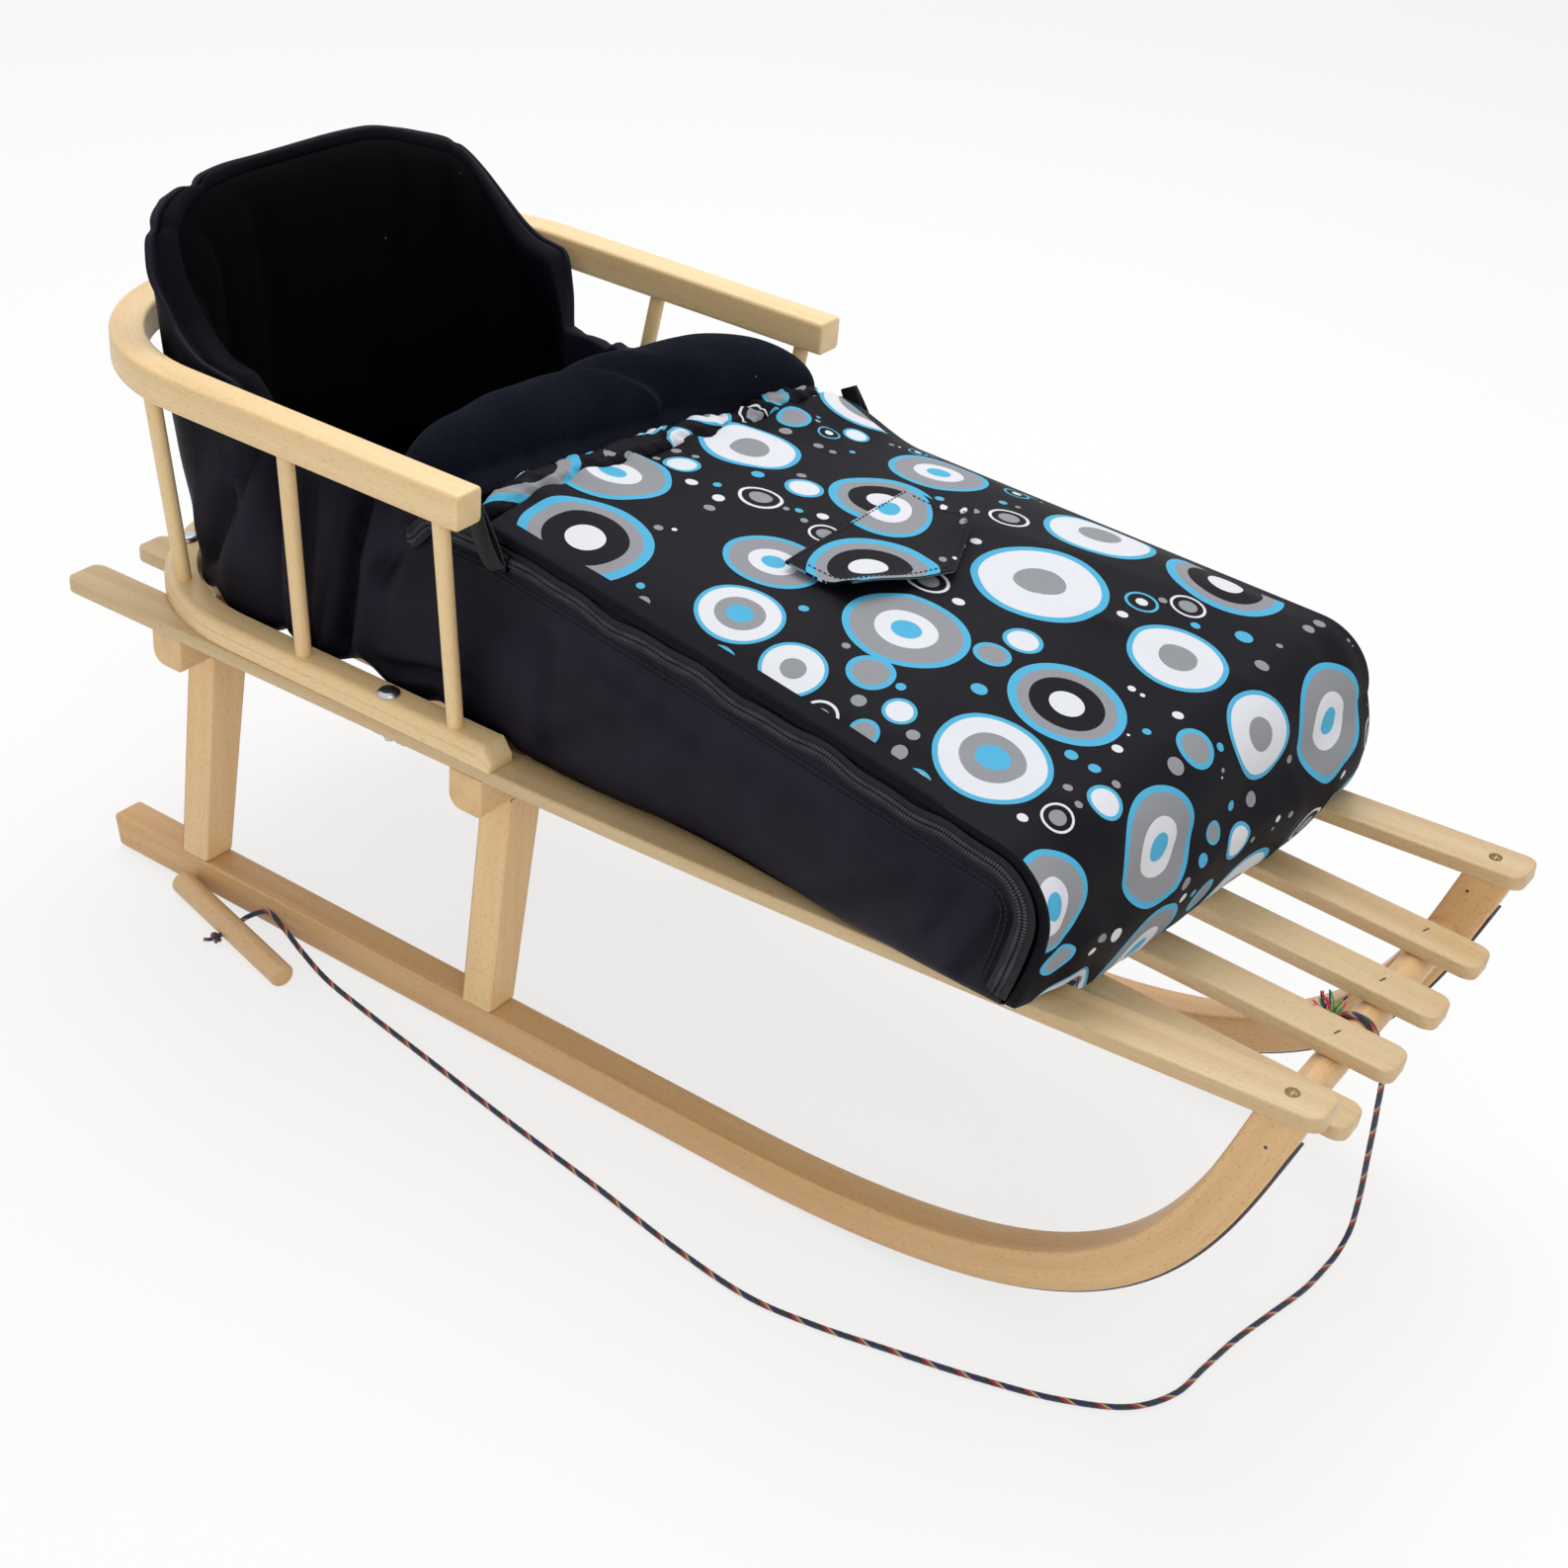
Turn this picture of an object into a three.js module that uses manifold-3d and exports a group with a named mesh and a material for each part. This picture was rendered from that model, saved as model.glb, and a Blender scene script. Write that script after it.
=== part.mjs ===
// Wooden baby sled with a railed seat and a padded footmuff.
// Millimetres, +X forward, +Y to the rider's left, +Z up, ground at z = 0.
import * as THREE from 'three';
import { mergeVertices } from 'three/addons/utils/BufferGeometryUtils.js';
import Module from 'manifold-3d';

const wasm = await Module();
wasm.setup();

const SIDES = [{ name: 'right', sign: -1 }, { name: 'left', sign: 1 }];

// clearances and fineness shared by all pieces
const SEAT_GAP = 0.1;
const FIT_GAP = 0.3;
const OVERRUN = 2;
const WELD = 0.0001;
const ROUND_SIDES = 16;
const DOWEL_SIDES = 24;

// sled as a whole
const SLED_LENGTH = 900;
const REAR_X = -SLED_LENGTH / 2;
const FRONT_X = SLED_LENGTH / 2;

// slats
const SLAT_TOP = 220;
const SLAT_THICK = 9.5;
const SLAT_EDGE = 1.5;
const OUTER_SLAT_WIDTH = 30;
const INNER_SLAT_WIDTH = 28;
const SLAT_CORNER = 9;
const OUTER_SLAT_REAR_HALF = 172.5;
const OUTER_SLAT_FRONT_HALF = 156;
const INNER_SLAT_REAR_PITCH = 65;
const INNER_SLAT_FRONT_PITCH = 61.5;
const OUTER_SLAT_LIFT = 18.2;
const INNER_SLAT_DIP = -20.5;
const SLAT_BEND_STEPS = 12;

// crossbars and legs
const REAR_FRAME_INSET = 89;
const FRAME_SPACING = 257;
const REAR_FRAME_X = REAR_X + REAR_FRAME_INSET;
const MID_FRAME_X = REAR_FRAME_X + FRAME_SPACING;
const CROSSBAR_THICK = 26;
const CROSSBAR_HEIGHT = 27;
const CROSSBAR_LENGTH = 332;
const CROSSBAR_REAR_ROUND = 10;
const CROSSBAR_FRONT_ROUND = 3;
const LEG_THICK = 24;
const LEG_FOOT_WIDTH = 24;
const LEG_HEAD_WIDTH = 31;
const LEG_LEAN = 16;
const TENON_THICK = 12;
const TENON_WIDTH = 13;
const TENON_LENGTH = 17;

// runners and their steel strips
const RUNNER_SLAT_INSET = 3.5;
const RUNNER_OUTER_HALF = OUTER_SLAT_FRONT_HALF - RUNNER_SLAT_INSET;
const RUNNER_WIDTH = 24;
const RUNNER_EDGE = 1.5;
const STRIP_THICK = 1.8;
const STRIP_WIDTH = 18;
const RUNNER_DEPTH_REAR = 24.2;
const RUNNER_DEPTH_TIP = 28;
const RUNNER_REAR_INSET = 12;
const RUNNER_REAR_X = REAR_X + RUNNER_REAR_INSET;
const RUNNER_REAR_RAKE = 4;
const RUNNER_TIP_INSET = 4;
const RUNNER_TIP_X = FRONT_X - RUNNER_TIP_INSET;
const RUNNER_BEND_REACH = 346;
const RUNNER_BEND_X = RUNNER_TIP_X - RUNNER_BEND_REACH;
const RUNNER_TIP_Z = 237;
const RUNNER_TIP_ANGLE = 1.272;
const BEND_HANDLE_FLAT = 285;
const BEND_HANDLE_TIP = 135;
const RUNNER_BEND_STEPS = 22;
const STRIP_REAR_INSET = 14;
const STRIP_TIP_STOP = 2;

// front dowel, let into the runners
const DOWEL_INSET = 38;
const DOWEL_X = FRONT_X - DOWEL_INSET;
const DOWEL_RADIUS = 10;
const DOWEL_LET_IN = 13;

// slat screws
const SCREW_INSET = 22.5;
const SCREW_X = FRONT_X - SCREW_INSET;
const SCREW_HEAD_RADIUS = 4.2;
const SCREW_HEAD_HEIGHT = 2.8;
const SCREW_SHANK_RADIUS = 2;
const SCREW_LENGTH = 30;
const SCREW_SINK = 0.5;
const SCREW_SLOT_LENGTH = 5.2;
const SCREW_SLOT_WIDTH = 0.9;
const SCREW_SLOT_DEPTH = 1.4;

// base rail of the seat
const SEAT_DEPTH = 355;
const BASE_RAIL_INSET = 11;
const BASE_RAIL_BACK_X = REAR_X + BASE_RAIL_INSET;
const BASE_RAIL_FRONT_X = BASE_RAIL_BACK_X + SEAT_DEPTH;
const BASE_RAIL_INNER_HALF = 146;
const BASE_RAIL_BEND = 132;
const BASE_RAIL_WIDTH = 22;
const BASE_RAIL_HALF = BASE_RAIL_INNER_HALF + BASE_RAIL_WIDTH;
const BASE_RAIL_HEIGHT = 15;
const BASE_RAIL_BEAD = 8;
const BASE_RAIL_STEP = 1.2;
const BASE_RAIL_ROUND = 6;
const BASE_RAIL_COVE = 11;

// top rail of the seat
const TOP_RAIL_OUT = 22.5;
const TOP_RAIL_BACK_OUT = 7;
const TOP_RAIL_FRONT_INSET = 8;
const TOP_RAIL_FRONT_X = BASE_RAIL_FRONT_X - TOP_RAIL_FRONT_INSET;
const TOP_RAIL_BACK_X = BASE_RAIL_BACK_X - TOP_RAIL_BACK_OUT;
const TOP_RAIL_HALF = BASE_RAIL_HALF + TOP_RAIL_OUT;
const TOP_RAIL_BEND = 125;
const TOP_RAIL_WIDTH = 22;
const TOP_RAIL_HEIGHT = 22.5;
const TOP_RAIL_TOP = 408;
const TOP_RAIL_ROUND = 3.5;
const RAIL_BEND_STEPS = 11;
const RAIL_END_EASE = 2.5;

// spindles between the rails, as shares of the way from a rail's front end to its back centre
const SPINDLE_RADIUS = 5.2;
const SPINDLE_LET_IN = 9;
const SPINDLE_BASE_SHARES = [0.08, 0.36, 0.65, 0.91];
const SPINDLE_TOP_SHARES = [0.045, 0.3, 0.545, 0.9];

// seat bolts and wing nuts, as shares of the same way along the base rail
const BOLT_SHARES = [0.2, 0.775];
const BOLT_HEAD_RADIUS = 7.5;
const BOLT_HEAD_HEIGHT = 3.6;
const BOLT_RADIUS = 3;
const BOLT_REACH = 12;
const BOLT_DOME = 1;
const NUT_HUB_RADIUS = 5.5;
const NUT_HUB_HEIGHT = 7;
const NUT_FLANGE_RADIUS = 8;
const NUT_WING_SPAN = 13;
const NUT_WING_HEIGHT = 11;
const NUT_WING_THICK = 2.2;

// footmuff: shell, hood, knee and foot
const MUFF_WALL = 9;
const MUFF_FLOOR = 6;
const MUFF_SIDE_ROOM = 4.5;
const MUFF_SEAT_HALF = BASE_RAIL_INNER_HALF - MUFF_SIDE_ROOM;
const MUFF_FOOT_FLARE = 36.5;
const MUFF_FOOT_HALF = MUFF_SEAT_HALF + MUFF_FOOT_FLARE;
const MUFF_KNEE_INSET = 28;
const MUFF_KNEE_X = BASE_RAIL_FRONT_X - MUFF_KNEE_INSET;
const MUFF_LEG_LENGTH = 412;
const MUFF_FOOT_X = MUFF_KNEE_X + MUFF_LEG_LENGTH;
const MUFF_FOOT_ROUND = 30;
const MUFF_BULGE = 5;
const MUFF_SEAT_TOP = 358;
const MUFF_FOOT_TOP = 320;
const MUFF_SIDE_STEPS = 5;
const FLOOR_STEPS = 14;
const FLOOR_EDGE_SHARES = [-1, -0.72, -0.61, 0.61, 0.72, 1];
const FLOOR_SAG_SHARE = 0.65;

// hood: foot and head outlines are squared ovals, and its rim climbs to the back
const HOOD_REACH = 163;
const HOOD_FRONT_X = BASE_RAIL_BACK_X + HOOD_REACH;
const HOOD_RISE_LENGTH = 27;
const HOOD_SIDE_X = HOOD_FRONT_X - HOOD_RISE_LENGTH;
const HOOD_FOOT_DEPTH = 108;
const HOOD_HEAD_DEPTH = 93;
const HOOD_FLARE = 16.5;
const HOOD_HEAD_HALF = MUFF_SEAT_HALF + HOOD_FLARE;
const HOOD_SIDE_TOP = 405;
const HOOD_TOP = 491;
const HOOD_FOOT_POWER = 2.5;
const HOOD_HEAD_POWER = 4.5;
const HOOD_RIM_POWER = 0.93;
const HOOD_STEPS = 9;
const HOOD_RISE_STEPS = 3;

// fleece lining of the hood, quilted in upright channels
const LINING_FOOT_Z = 262;
const LINING_THICK = 22;
const LINING_EDGE = 7;
const LINING_DROP = 5;
const LINING_GAP = 0.8;
const LINING_CHANNELS = 7;
const LINING_CHANNEL_DEPTH = 3;
const LINING_ACROSS = 28;
const LINING_UP = 8;

// foot panel
const PANEL_THICK = 8;
const PANEL_BULGE = 13;
const PANEL_ROWS = 6;
const PANEL_COLUMN_SHARES = [-1, -0.93, -0.82, -0.72, -0.61, -0.4, -0.2, 0, 0.2, 0.4, 0.61, 0.72, 0.82, 0.93, 1];

// seat pad
const PAD_FRONT_REACH = 14;
const PAD_FRONT_X = BASE_RAIL_FRONT_X + PAD_FRONT_REACH;
const PAD_LENGTH = 265;
const PAD_REAR_X = PAD_FRONT_X - PAD_LENGTH;
const PAD_SIDE_ROOM = 23.5;
const PAD_HALF = MUFF_SEAT_HALF - PAD_SIDE_ROOM;
const PAD_THICK = 24;
const PAD_CROWN = 8;
const PAD_GRID_ACROSS = 8;
const PAD_GRID_ALONG = 18;
const PAD_CHANNELS = 3;
const PAD_CHANNEL_DEPTH = 3;

// the muff's mouth lies askew: its left corner is drawn forward and up, its zip a little open
const MOUTH_SLANT = 55;
const MOUTH_LIFT = 14;
const MOUTH_LIFT_FROM = 0.35;
const MOUTH_LIFT_REACH = 60;
const MOUTH_STRETCH = Math.hypot(1, MOUTH_SLANT / (2 * MUFF_SEAT_HALF));

// cover, its gathered hem and fleece collar
const COVER_RISE = 2;
const COVER_THICK = 6;
const COVER_CROWN = 17;
const COVER_LONG_STEPS = 9;
const COVER_ROUND_STEPS = 4;
const COVER_CROSS_STEPS = 12;
const HEM_RADIUS = 8;
const HEM_STEPS = 40;
const HEM_SIDES = 8;
const HEM_GATHER = 1.2;
const HEM_GATHERS = 13;
const COLLAR_RADIUS = 29;
const COLLAR_SIDE_ROOM = 17.5;
const COLLAR_HALF = MUFF_SEAT_HALF - COLLAR_SIDE_ROOM;
const COLLAR_ARCH = 22;
const COLLAR_DROP = 6;
const COLLAR_SWEEP = 18;
const COLLAR_CLIMB = 10;
const COLLAR_PINCH = 0.16;
const COLLAR_PINCH_SHARE = 0.1;
const COLLAR_PINCH_WIDTH = 0.13;
const COLLAR_STEPS = 18;
const COLLAR_SIDES = 14;
const COLLAR_FOLDS = 5;
const COLLAR_FOLD_DEPTH = 2.4;
const COLLAR_END_SHARE = 0.45;

// pocket flap on the cover
const FLAP_PLACE = 158;
const FLAP_X = MUFF_KNEE_X + FLAP_PLACE;
const FLAP_HALF = 66;
const FLAP_SIDE_DEPTH = 46;
const FLAP_POINT_DEPTH = 74;
const FLAP_THICK = 2.4;
const FLAP_GAP = 0.6;
const FLAP_GRID = 8;

// zips, sliders and webbing pull tabs
const ZIP_WIDTH = 7;
const ZIP_THICK = 2.4;
const ZIP_DROP = 5;
const ZIP_ROUND_STEPS = 5;
const SLIDER_PLACE = 16;
const SLIDER_X = MUFF_KNEE_X + SLIDER_PLACE;
const SLIDER_LENGTH = 13;
const SLIDER_LIP = 1.4;
const SLIDER_PLATE = 2;
const TAB_LENGTH = 44;
const TAB_WIDTH = 14;
const TAB_THICK = 3;
const TAB_ROUND = 5;
const TAB_STAND = 0.95;

// tow cord and its grip
const CORD_RADIUS = 1.75;
const CORD_SIDES = 8;
const CORD_STEPS = 80;
const GRIP_RADIUS = 8.4;
const GRIP_LENGTH = 133;
const GRIP_EASE = 2;
const GRIP_X = -300;
const GRIP_Y = -178;
const GRIP_TURN = -0.245;
const GRIP_HOLE_RADIUS = 2.6;
const GRIP_HOLE_RISE = 0.3;
const GRIP_KNOT_RADIUS = 4.2;
const KNOT_RADIUS = 5.5;
const LOOP_GAP = 0.5;

const COLOURS = {
  slat: 0xdfc08f, rail: 0xdfc18a, runner: 0xcda06e, leg: 0xd3a974, dowel: 0xdcb98a,
  steel: 0x55585c, zinc: 0xc3c6c8, shell: 0x23232b, fleece: 0x141418,
  print: 0x2f6f88, zip: 0x17171b, cord: 0x252a55,
};

const MATERIALS = {
  wood: (colour) => ({ color: colour, roughness: 0.55, metalness: 0 }),
  metal: (colour) => ({ color: colour, roughness: 0.35, metalness: 1 }),
  cloth: (colour) => ({ color: colour, roughness: 0.9, metalness: 0 }),
};

const sled = new THREE.Group();
sled.name = 'baby_pull_sled';

function addPiece(name, geometry, colour, finish) {
  const settings = MATERIALS[finish](COLOURS[colour]);
  const mesh = new THREE.Mesh(geometry, new THREE.MeshStandardMaterial(settings));
  mesh.name = name;
  sled.add(mesh);
  return mesh;
}

// solids to and from the boolean kernel
function toSolid(geometry) {
  const bare = geometry.clone();
  bare.deleteAttribute('normal');
  bare.deleteAttribute('uv');
  const merged = mergeVertices(bare, WELD);
  return new wasm.Manifold(new wasm.Mesh({
    numProp: 3,
    vertProperties: new Float32Array(merged.attributes.position.array),
    triVerts: new Uint32Array(merged.index.array),
  }));
}

function toGeometry(solid) {
  const mesh = solid.getMesh();
  const geometry = new THREE.BufferGeometry();
  geometry.setAttribute('position', new THREE.BufferAttribute(new Float32Array(mesh.vertProperties), 3));
  geometry.setIndex(new THREE.BufferAttribute(new Uint32Array(mesh.triVerts), 1));
  geometry.computeVertexNormals();
  return geometry;
}

function cut(geometry, tools) {
  let solid = toSolid(geometry);
  for (const tool of tools) {
    solid = solid.subtract(toSolid(tool));
  }
  return toGeometry(solid);
}

function join(geometries) {
  let solid = toSolid(geometries[0]);
  for (const other of geometries.slice(1)) {
    solid = solid.add(toSolid(other));
  }
  return toGeometry(solid);
}

function keepInside(geometry, tool) {
  return toGeometry(toSolid(geometry).intersect(toSolid(tool)));
}

// basic forms
function box(length, width, height, x, y, z) {
  const geometry = new THREE.BoxGeometry(length, width, height);
  return geometry.translate(x, y, z);
}

function outline(points) {
  return new THREE.Shape(points.map(([a, b]) => new THREE.Vector2(a, b)));
}

function roundedOutline(length, width, radius) {
  const a = length / 2;
  const b = width / 2;
  const shape = new THREE.Shape();
  shape.moveTo(-a + radius, -b);
  shape.lineTo(a - radius, -b);
  shape.absarc(a - radius, -b + radius, radius, -Math.PI / 2, 0);
  shape.lineTo(a, b - radius);
  shape.absarc(a - radius, b - radius, radius, 0, Math.PI / 2);
  shape.lineTo(-a + radius, b);
  shape.absarc(-a + radius, b - radius, radius, Math.PI / 2, Math.PI);
  shape.lineTo(-a, -b + radius);
  shape.absarc(-a + radius, -b + radius, radius, Math.PI, 1.5 * Math.PI);
  return shape;
}

function extrude(shape, depth, edge) {
  const eased = edge > 0;
  const geometry = new THREE.ExtrudeGeometry(shape, {
    depth: depth - 2 * edge,
    curveSegments: 6,
    bevelEnabled: eased,
    bevelThickness: edge,
    bevelSize: edge,
    bevelOffset: -edge,
    bevelSegments: 1,
  });
  return geometry.translate(0, 0, edge - depth / 2);
}

function alongY(shape, width, edge = 0) {
  return extrude(shape, width, edge).rotateX(Math.PI / 2);
}

function alongX(shape, length, edge = 0) {
  const turn = new THREE.Matrix4().makeBasis(
    new THREE.Vector3(0, 1, 0),
    new THREE.Vector3(0, 0, 1),
    new THREE.Vector3(1, 0, 0),
  );
  return extrude(shape, length, edge).applyMatrix4(turn);
}

function rod(radius, from, to, sides = ROUND_SIDES) {
  const axis = new THREE.Vector3().subVectors(to, from);
  const geometry = new THREE.CylinderGeometry(radius, radius, axis.length(), sides);
  const turn = new THREE.Quaternion().setFromUnitVectors(new THREE.Vector3(0, 1, 0), axis.clone().normalize());
  geometry.applyQuaternion(turn);
  const middle = from.clone().add(to).multiplyScalar(0.5);
  return geometry.translate(middle.x, middle.y, middle.z);
}

function turned(points, sides = ROUND_SIDES) {
  const profile = points.map(([radius, height]) => new THREE.Vector2(radius, height));
  return new THREE.LatheGeometry(profile, sides).rotateX(Math.PI / 2);
}

// A closed solid through rings of equal point counts, its ends filled flat
function loft(rings) {
  const flatCap = (ring) => THREE.ShapeUtils.triangulateShape(flatRing(ring), []);
  return skin(rings, flatCap);
}

// The faces round the rings, and at each end the faces that a cap function gives for its ring
function skin(rings, capFaces) {
  const count = rings[0].length;
  const positions = rings.flat().flatMap((point) => [point.x, point.y, point.z]);
  const faces = [];
  for (let ring = 0; ring < rings.length - 1; ring += 1) {
    for (let i = 0; i < count; i += 1) {
      const a = ring * count + i;
      const b = ring * count + ((i + 1) % count);
      faces.push(a, b, b + count, a, b + count, a + count);
    }
  }
  for (const [a, b, c] of capFaces(rings[0])) {
    faces.push(a, c, b);
  }
  const last = (rings.length - 1) * count;
  for (const [a, b, c] of capFaces(rings[rings.length - 1])) {
    faces.push(last + a, last + b, last + c);
  }
  const geometry = new THREE.BufferGeometry();
  geometry.setAttribute('position', new THREE.BufferAttribute(new Float32Array(positions), 3));
  geometry.setIndex(faces);
  return facingOut(geometry);
}

// A ring laid flat in its own plane, for the caps
function flatRing(ring) {
  const centre = ring.reduce((sum, point) => sum.add(point), new THREE.Vector3()).divideScalar(ring.length);
  const normal = new THREE.Vector3();
  for (let i = 0; i < ring.length; i += 1) {
    const a = ring[i].clone().sub(centre);
    const b = ring[(i + 1) % ring.length].clone().sub(centre);
    normal.add(a.cross(b));
  }
  normal.normalize();
  const across = ring[0].clone().sub(centre).projectOnPlane(normal).normalize();
  const up = normal.clone().cross(across);
  return ring.map((point) => {
    const offset = point.clone().sub(centre);
    return new THREE.Vector2(offset.dot(across), offset.dot(up));
  });
}

function facingOut(geometry) {
  const position = geometry.attributes.position;
  const index = geometry.index.array;
  const corners = [new THREE.Vector3(), new THREE.Vector3(), new THREE.Vector3()];
  let volume = 0;
  for (let i = 0; i < index.length; i += 3) {
    corners.forEach((corner, j) => corner.fromBufferAttribute(position, index[i + j]));
    volume += corners[0].dot(corners[1].cross(corners[2]));
  }
  if (volume < 0) {
    geometry.setIndex(Array.from(index).reverse());
  }
  geometry.computeVertexNormals();
  return geometry;
}

// A closed sheet between a top and a bottom surface over the same grid of shares
function slab(across, along, top, bottom) {
  const rings = [];
  for (let i = 0; i <= along; i += 1) {
    const ring = [];
    for (let j = 0; j <= across; j += 1) {
      ring.push(top(i / along, j / across));
    }
    for (let j = across; j >= 0; j -= 1) {
      ring.push(bottom(i / along, j / across));
    }
    rings.push(ring);
  }
  const last = 2 * across + 1;
  const ladder = () => Array.from({ length: across }, (_, j) => [
    [j, j + 1, last - j - 1], [j, last - j - 1, last - j],
  ]).flat();
  return skin(rings, ladder);
}

// A tube with its own radius at each station, round a level or standing path
function tube(centres, radii, sides, up) {
  const rings = centres.map((centre, i) => {
    const before = centres[Math.max(i - 1, 0)];
    const after = centres[Math.min(i + 1, centres.length - 1)];
    const ahead = after.clone().sub(before).normalize();
    const across = ahead.clone().cross(up).normalize();
    const lift = across.clone().cross(ahead);
    const ring = [];
    for (let j = 0; j < sides; j += 1) {
      const angle = (2 * Math.PI * j) / sides;
      ring.push(centre.clone()
        .addScaledVector(across, radii[i] * Math.cos(angle))
        .addScaledVector(lift, radii[i] * Math.sin(angle)));
    }
    return ring;
  });
  return loft(rings);
}

// height that a slat has gained at x, bent like a plank held by the middle crossbar
function slatBend(x, lift) {
  const span = FRONT_X - MID_FRAME_X;
  const reach = Math.max(0, x - MID_FRAME_X);
  return (lift * reach * reach * (3 * span - reach)) / (2 * span ** 3);
}

function slatUnderside(x, lift) {
  return SLAT_TOP - SLAT_THICK + slatBend(x, lift);
}

const SLAT_COUNT = 6;
const SLATS = Array.from({ length: SLAT_COUNT }, (_, i) => {
  const place = i - (SLAT_COUNT - 1) / 2;
  const outer = i === 0 || i === SLAT_COUNT - 1;
  const side = Math.sign(place);
  const width = outer ? OUTER_SLAT_WIDTH : INNER_SLAT_WIDTH;
  const rear = outer ? side * (OUTER_SLAT_REAR_HALF - width / 2) : place * INNER_SLAT_REAR_PITCH;
  const front = outer ? side * (OUTER_SLAT_FRONT_HALF - width / 2) : place * INNER_SLAT_FRONT_PITCH;
  const sideName = side < 0 ? 'right' : 'left';
  const name = outer ? `slat_outer_${sideName}` : `slat_inner_${i}`;
  return { name, outer, width, rear, front, lift: outer ? OUTER_SLAT_LIFT : INNER_SLAT_DIP };
});

function slatY(slat, x) {
  return slat.rear + ((slat.front - slat.rear) * (x - REAR_X)) / SLED_LENGTH;
}

function dowelZ() {
  return slatUnderside(DOWEL_X, INNER_SLAT_DIP) - FIT_GAP - DOWEL_RADIUS;
}

// seat rails: the centre line of a U in plan, from the right front end round the back to the left
function railPath(frontX, backX, half, bend, width) {
  const middle = bend - width / 2;
  const side = half - width / 2;
  const bendX = backX + bend;
  const bendY = half - bend;
  const stations = [{ x: frontX, y: -side, outX: 0, outY: -1 }];
  for (let i = 0; i <= RAIL_BEND_STEPS; i += 1) {
    const angle = (Math.PI / 2) * (i / RAIL_BEND_STEPS);
    const outX = -Math.sin(angle);
    const outY = -Math.cos(angle);
    stations.push({ x: bendX + middle * outX, y: -bendY + middle * outY, outX, outY });
  }
  const mirrored = stations.slice().reverse().map((station) => (
    { x: station.x, y: -station.y, outX: station.outX, outY: -station.outY }));
  return stations.concat(mirrored);
}

// a point on the right half of a rail's centre line, by its share of the way to the back centre
function railPoint(frontX, backX, half, bend, width, share) {
  const middle = bend - width / 2;
  const straight = frontX - (backX + bend);
  const arc = (middle * Math.PI) / 2;
  const way = share * (straight + arc + half - bend);
  if (way < straight) {
    return { x: frontX - way, y: -(half - width / 2) };
  }
  if (way < straight + arc) {
    const angle = (way - straight) / middle;
    return { x: backX + bend - middle * Math.sin(angle), y: -(half - bend) - middle * Math.cos(angle) };
  }
  return { x: backX + width / 2, y: -(half - bend) + (way - straight - arc) };
}

function basePoint(share) {
  return railPoint(BASE_RAIL_FRONT_X, BASE_RAIL_BACK_X, BASE_RAIL_HALF, BASE_RAIL_BEND, BASE_RAIL_WIDTH, share);
}

function topPoint(share) {
  return railPoint(TOP_RAIL_FRONT_X, TOP_RAIL_BACK_X, TOP_RAIL_HALF, TOP_RAIL_BEND, TOP_RAIL_WIDTH, share);
}

// sweeps a section of [outward, up] points round a rail path
function sweepRail(stations, section, z) {
  const rings = stations.map((station) => section.map(([out, up]) => new THREE.Vector3(
    station.x + out * station.outX,
    station.y + out * station.outY,
    z + up,
  )));
  return loft(rings);
}

const BASE_RAIL_BOTTOM = SLAT_TOP + SEAT_GAP;
const BASE_RAIL_TOP = BASE_RAIL_BOTTOM + BASE_RAIL_HEIGHT;
const TOP_RAIL_BOTTOM = TOP_RAIL_TOP - TOP_RAIL_HEIGHT;

// both ends of each spindle, seated in the rails
function spindlePlaces() {
  const places = [];
  for (const side of SIDES) {
    SPINDLE_BASE_SHARES.forEach((share, i) => {
      const base = basePoint(share);
      const top = topPoint(SPINDLE_TOP_SHARES[i]);
      const from = new THREE.Vector3(base.x, -side.sign * base.y, BASE_RAIL_TOP);
      const to = new THREE.Vector3(top.x, -side.sign * top.y, TOP_RAIL_BOTTOM);
      const axis = to.clone().sub(from).normalize();
      from.addScaledVector(axis, -SPINDLE_LET_IN);
      to.addScaledVector(axis, SPINDLE_LET_IN);
      places.push({ from, to, axis, name: `spindle_${side.name}_${i + 1}` });
    });
  }
  return places;
}

function spindleHoles() {
  return spindlePlaces().map(({ from, to, axis }) => rod(
    SPINDLE_RADIUS + FIT_GAP,
    from.clone().addScaledVector(axis, -FIT_GAP),
    to.clone().addScaledVector(axis, FIT_GAP),
  ));
}

function boltPlaces() {
  return SIDES.flatMap((side) => BOLT_SHARES.map((share, i) => {
    const place = basePoint(share);
    return { x: place.x, y: -side.sign * place.y, name: `${i === 0 ? 'side' : 'back'}_${side.name}` };
  }));
}

function boltHoles() {
  return boltPlaces().map(({ x, y }) => rod(
    BOLT_RADIUS + FIT_GAP,
    new THREE.Vector3(x, y, SLAT_TOP - SLAT_THICK - OVERRUN),
    new THREE.Vector3(x, y, BASE_RAIL_TOP + OVERRUN),
  ));
}

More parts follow.
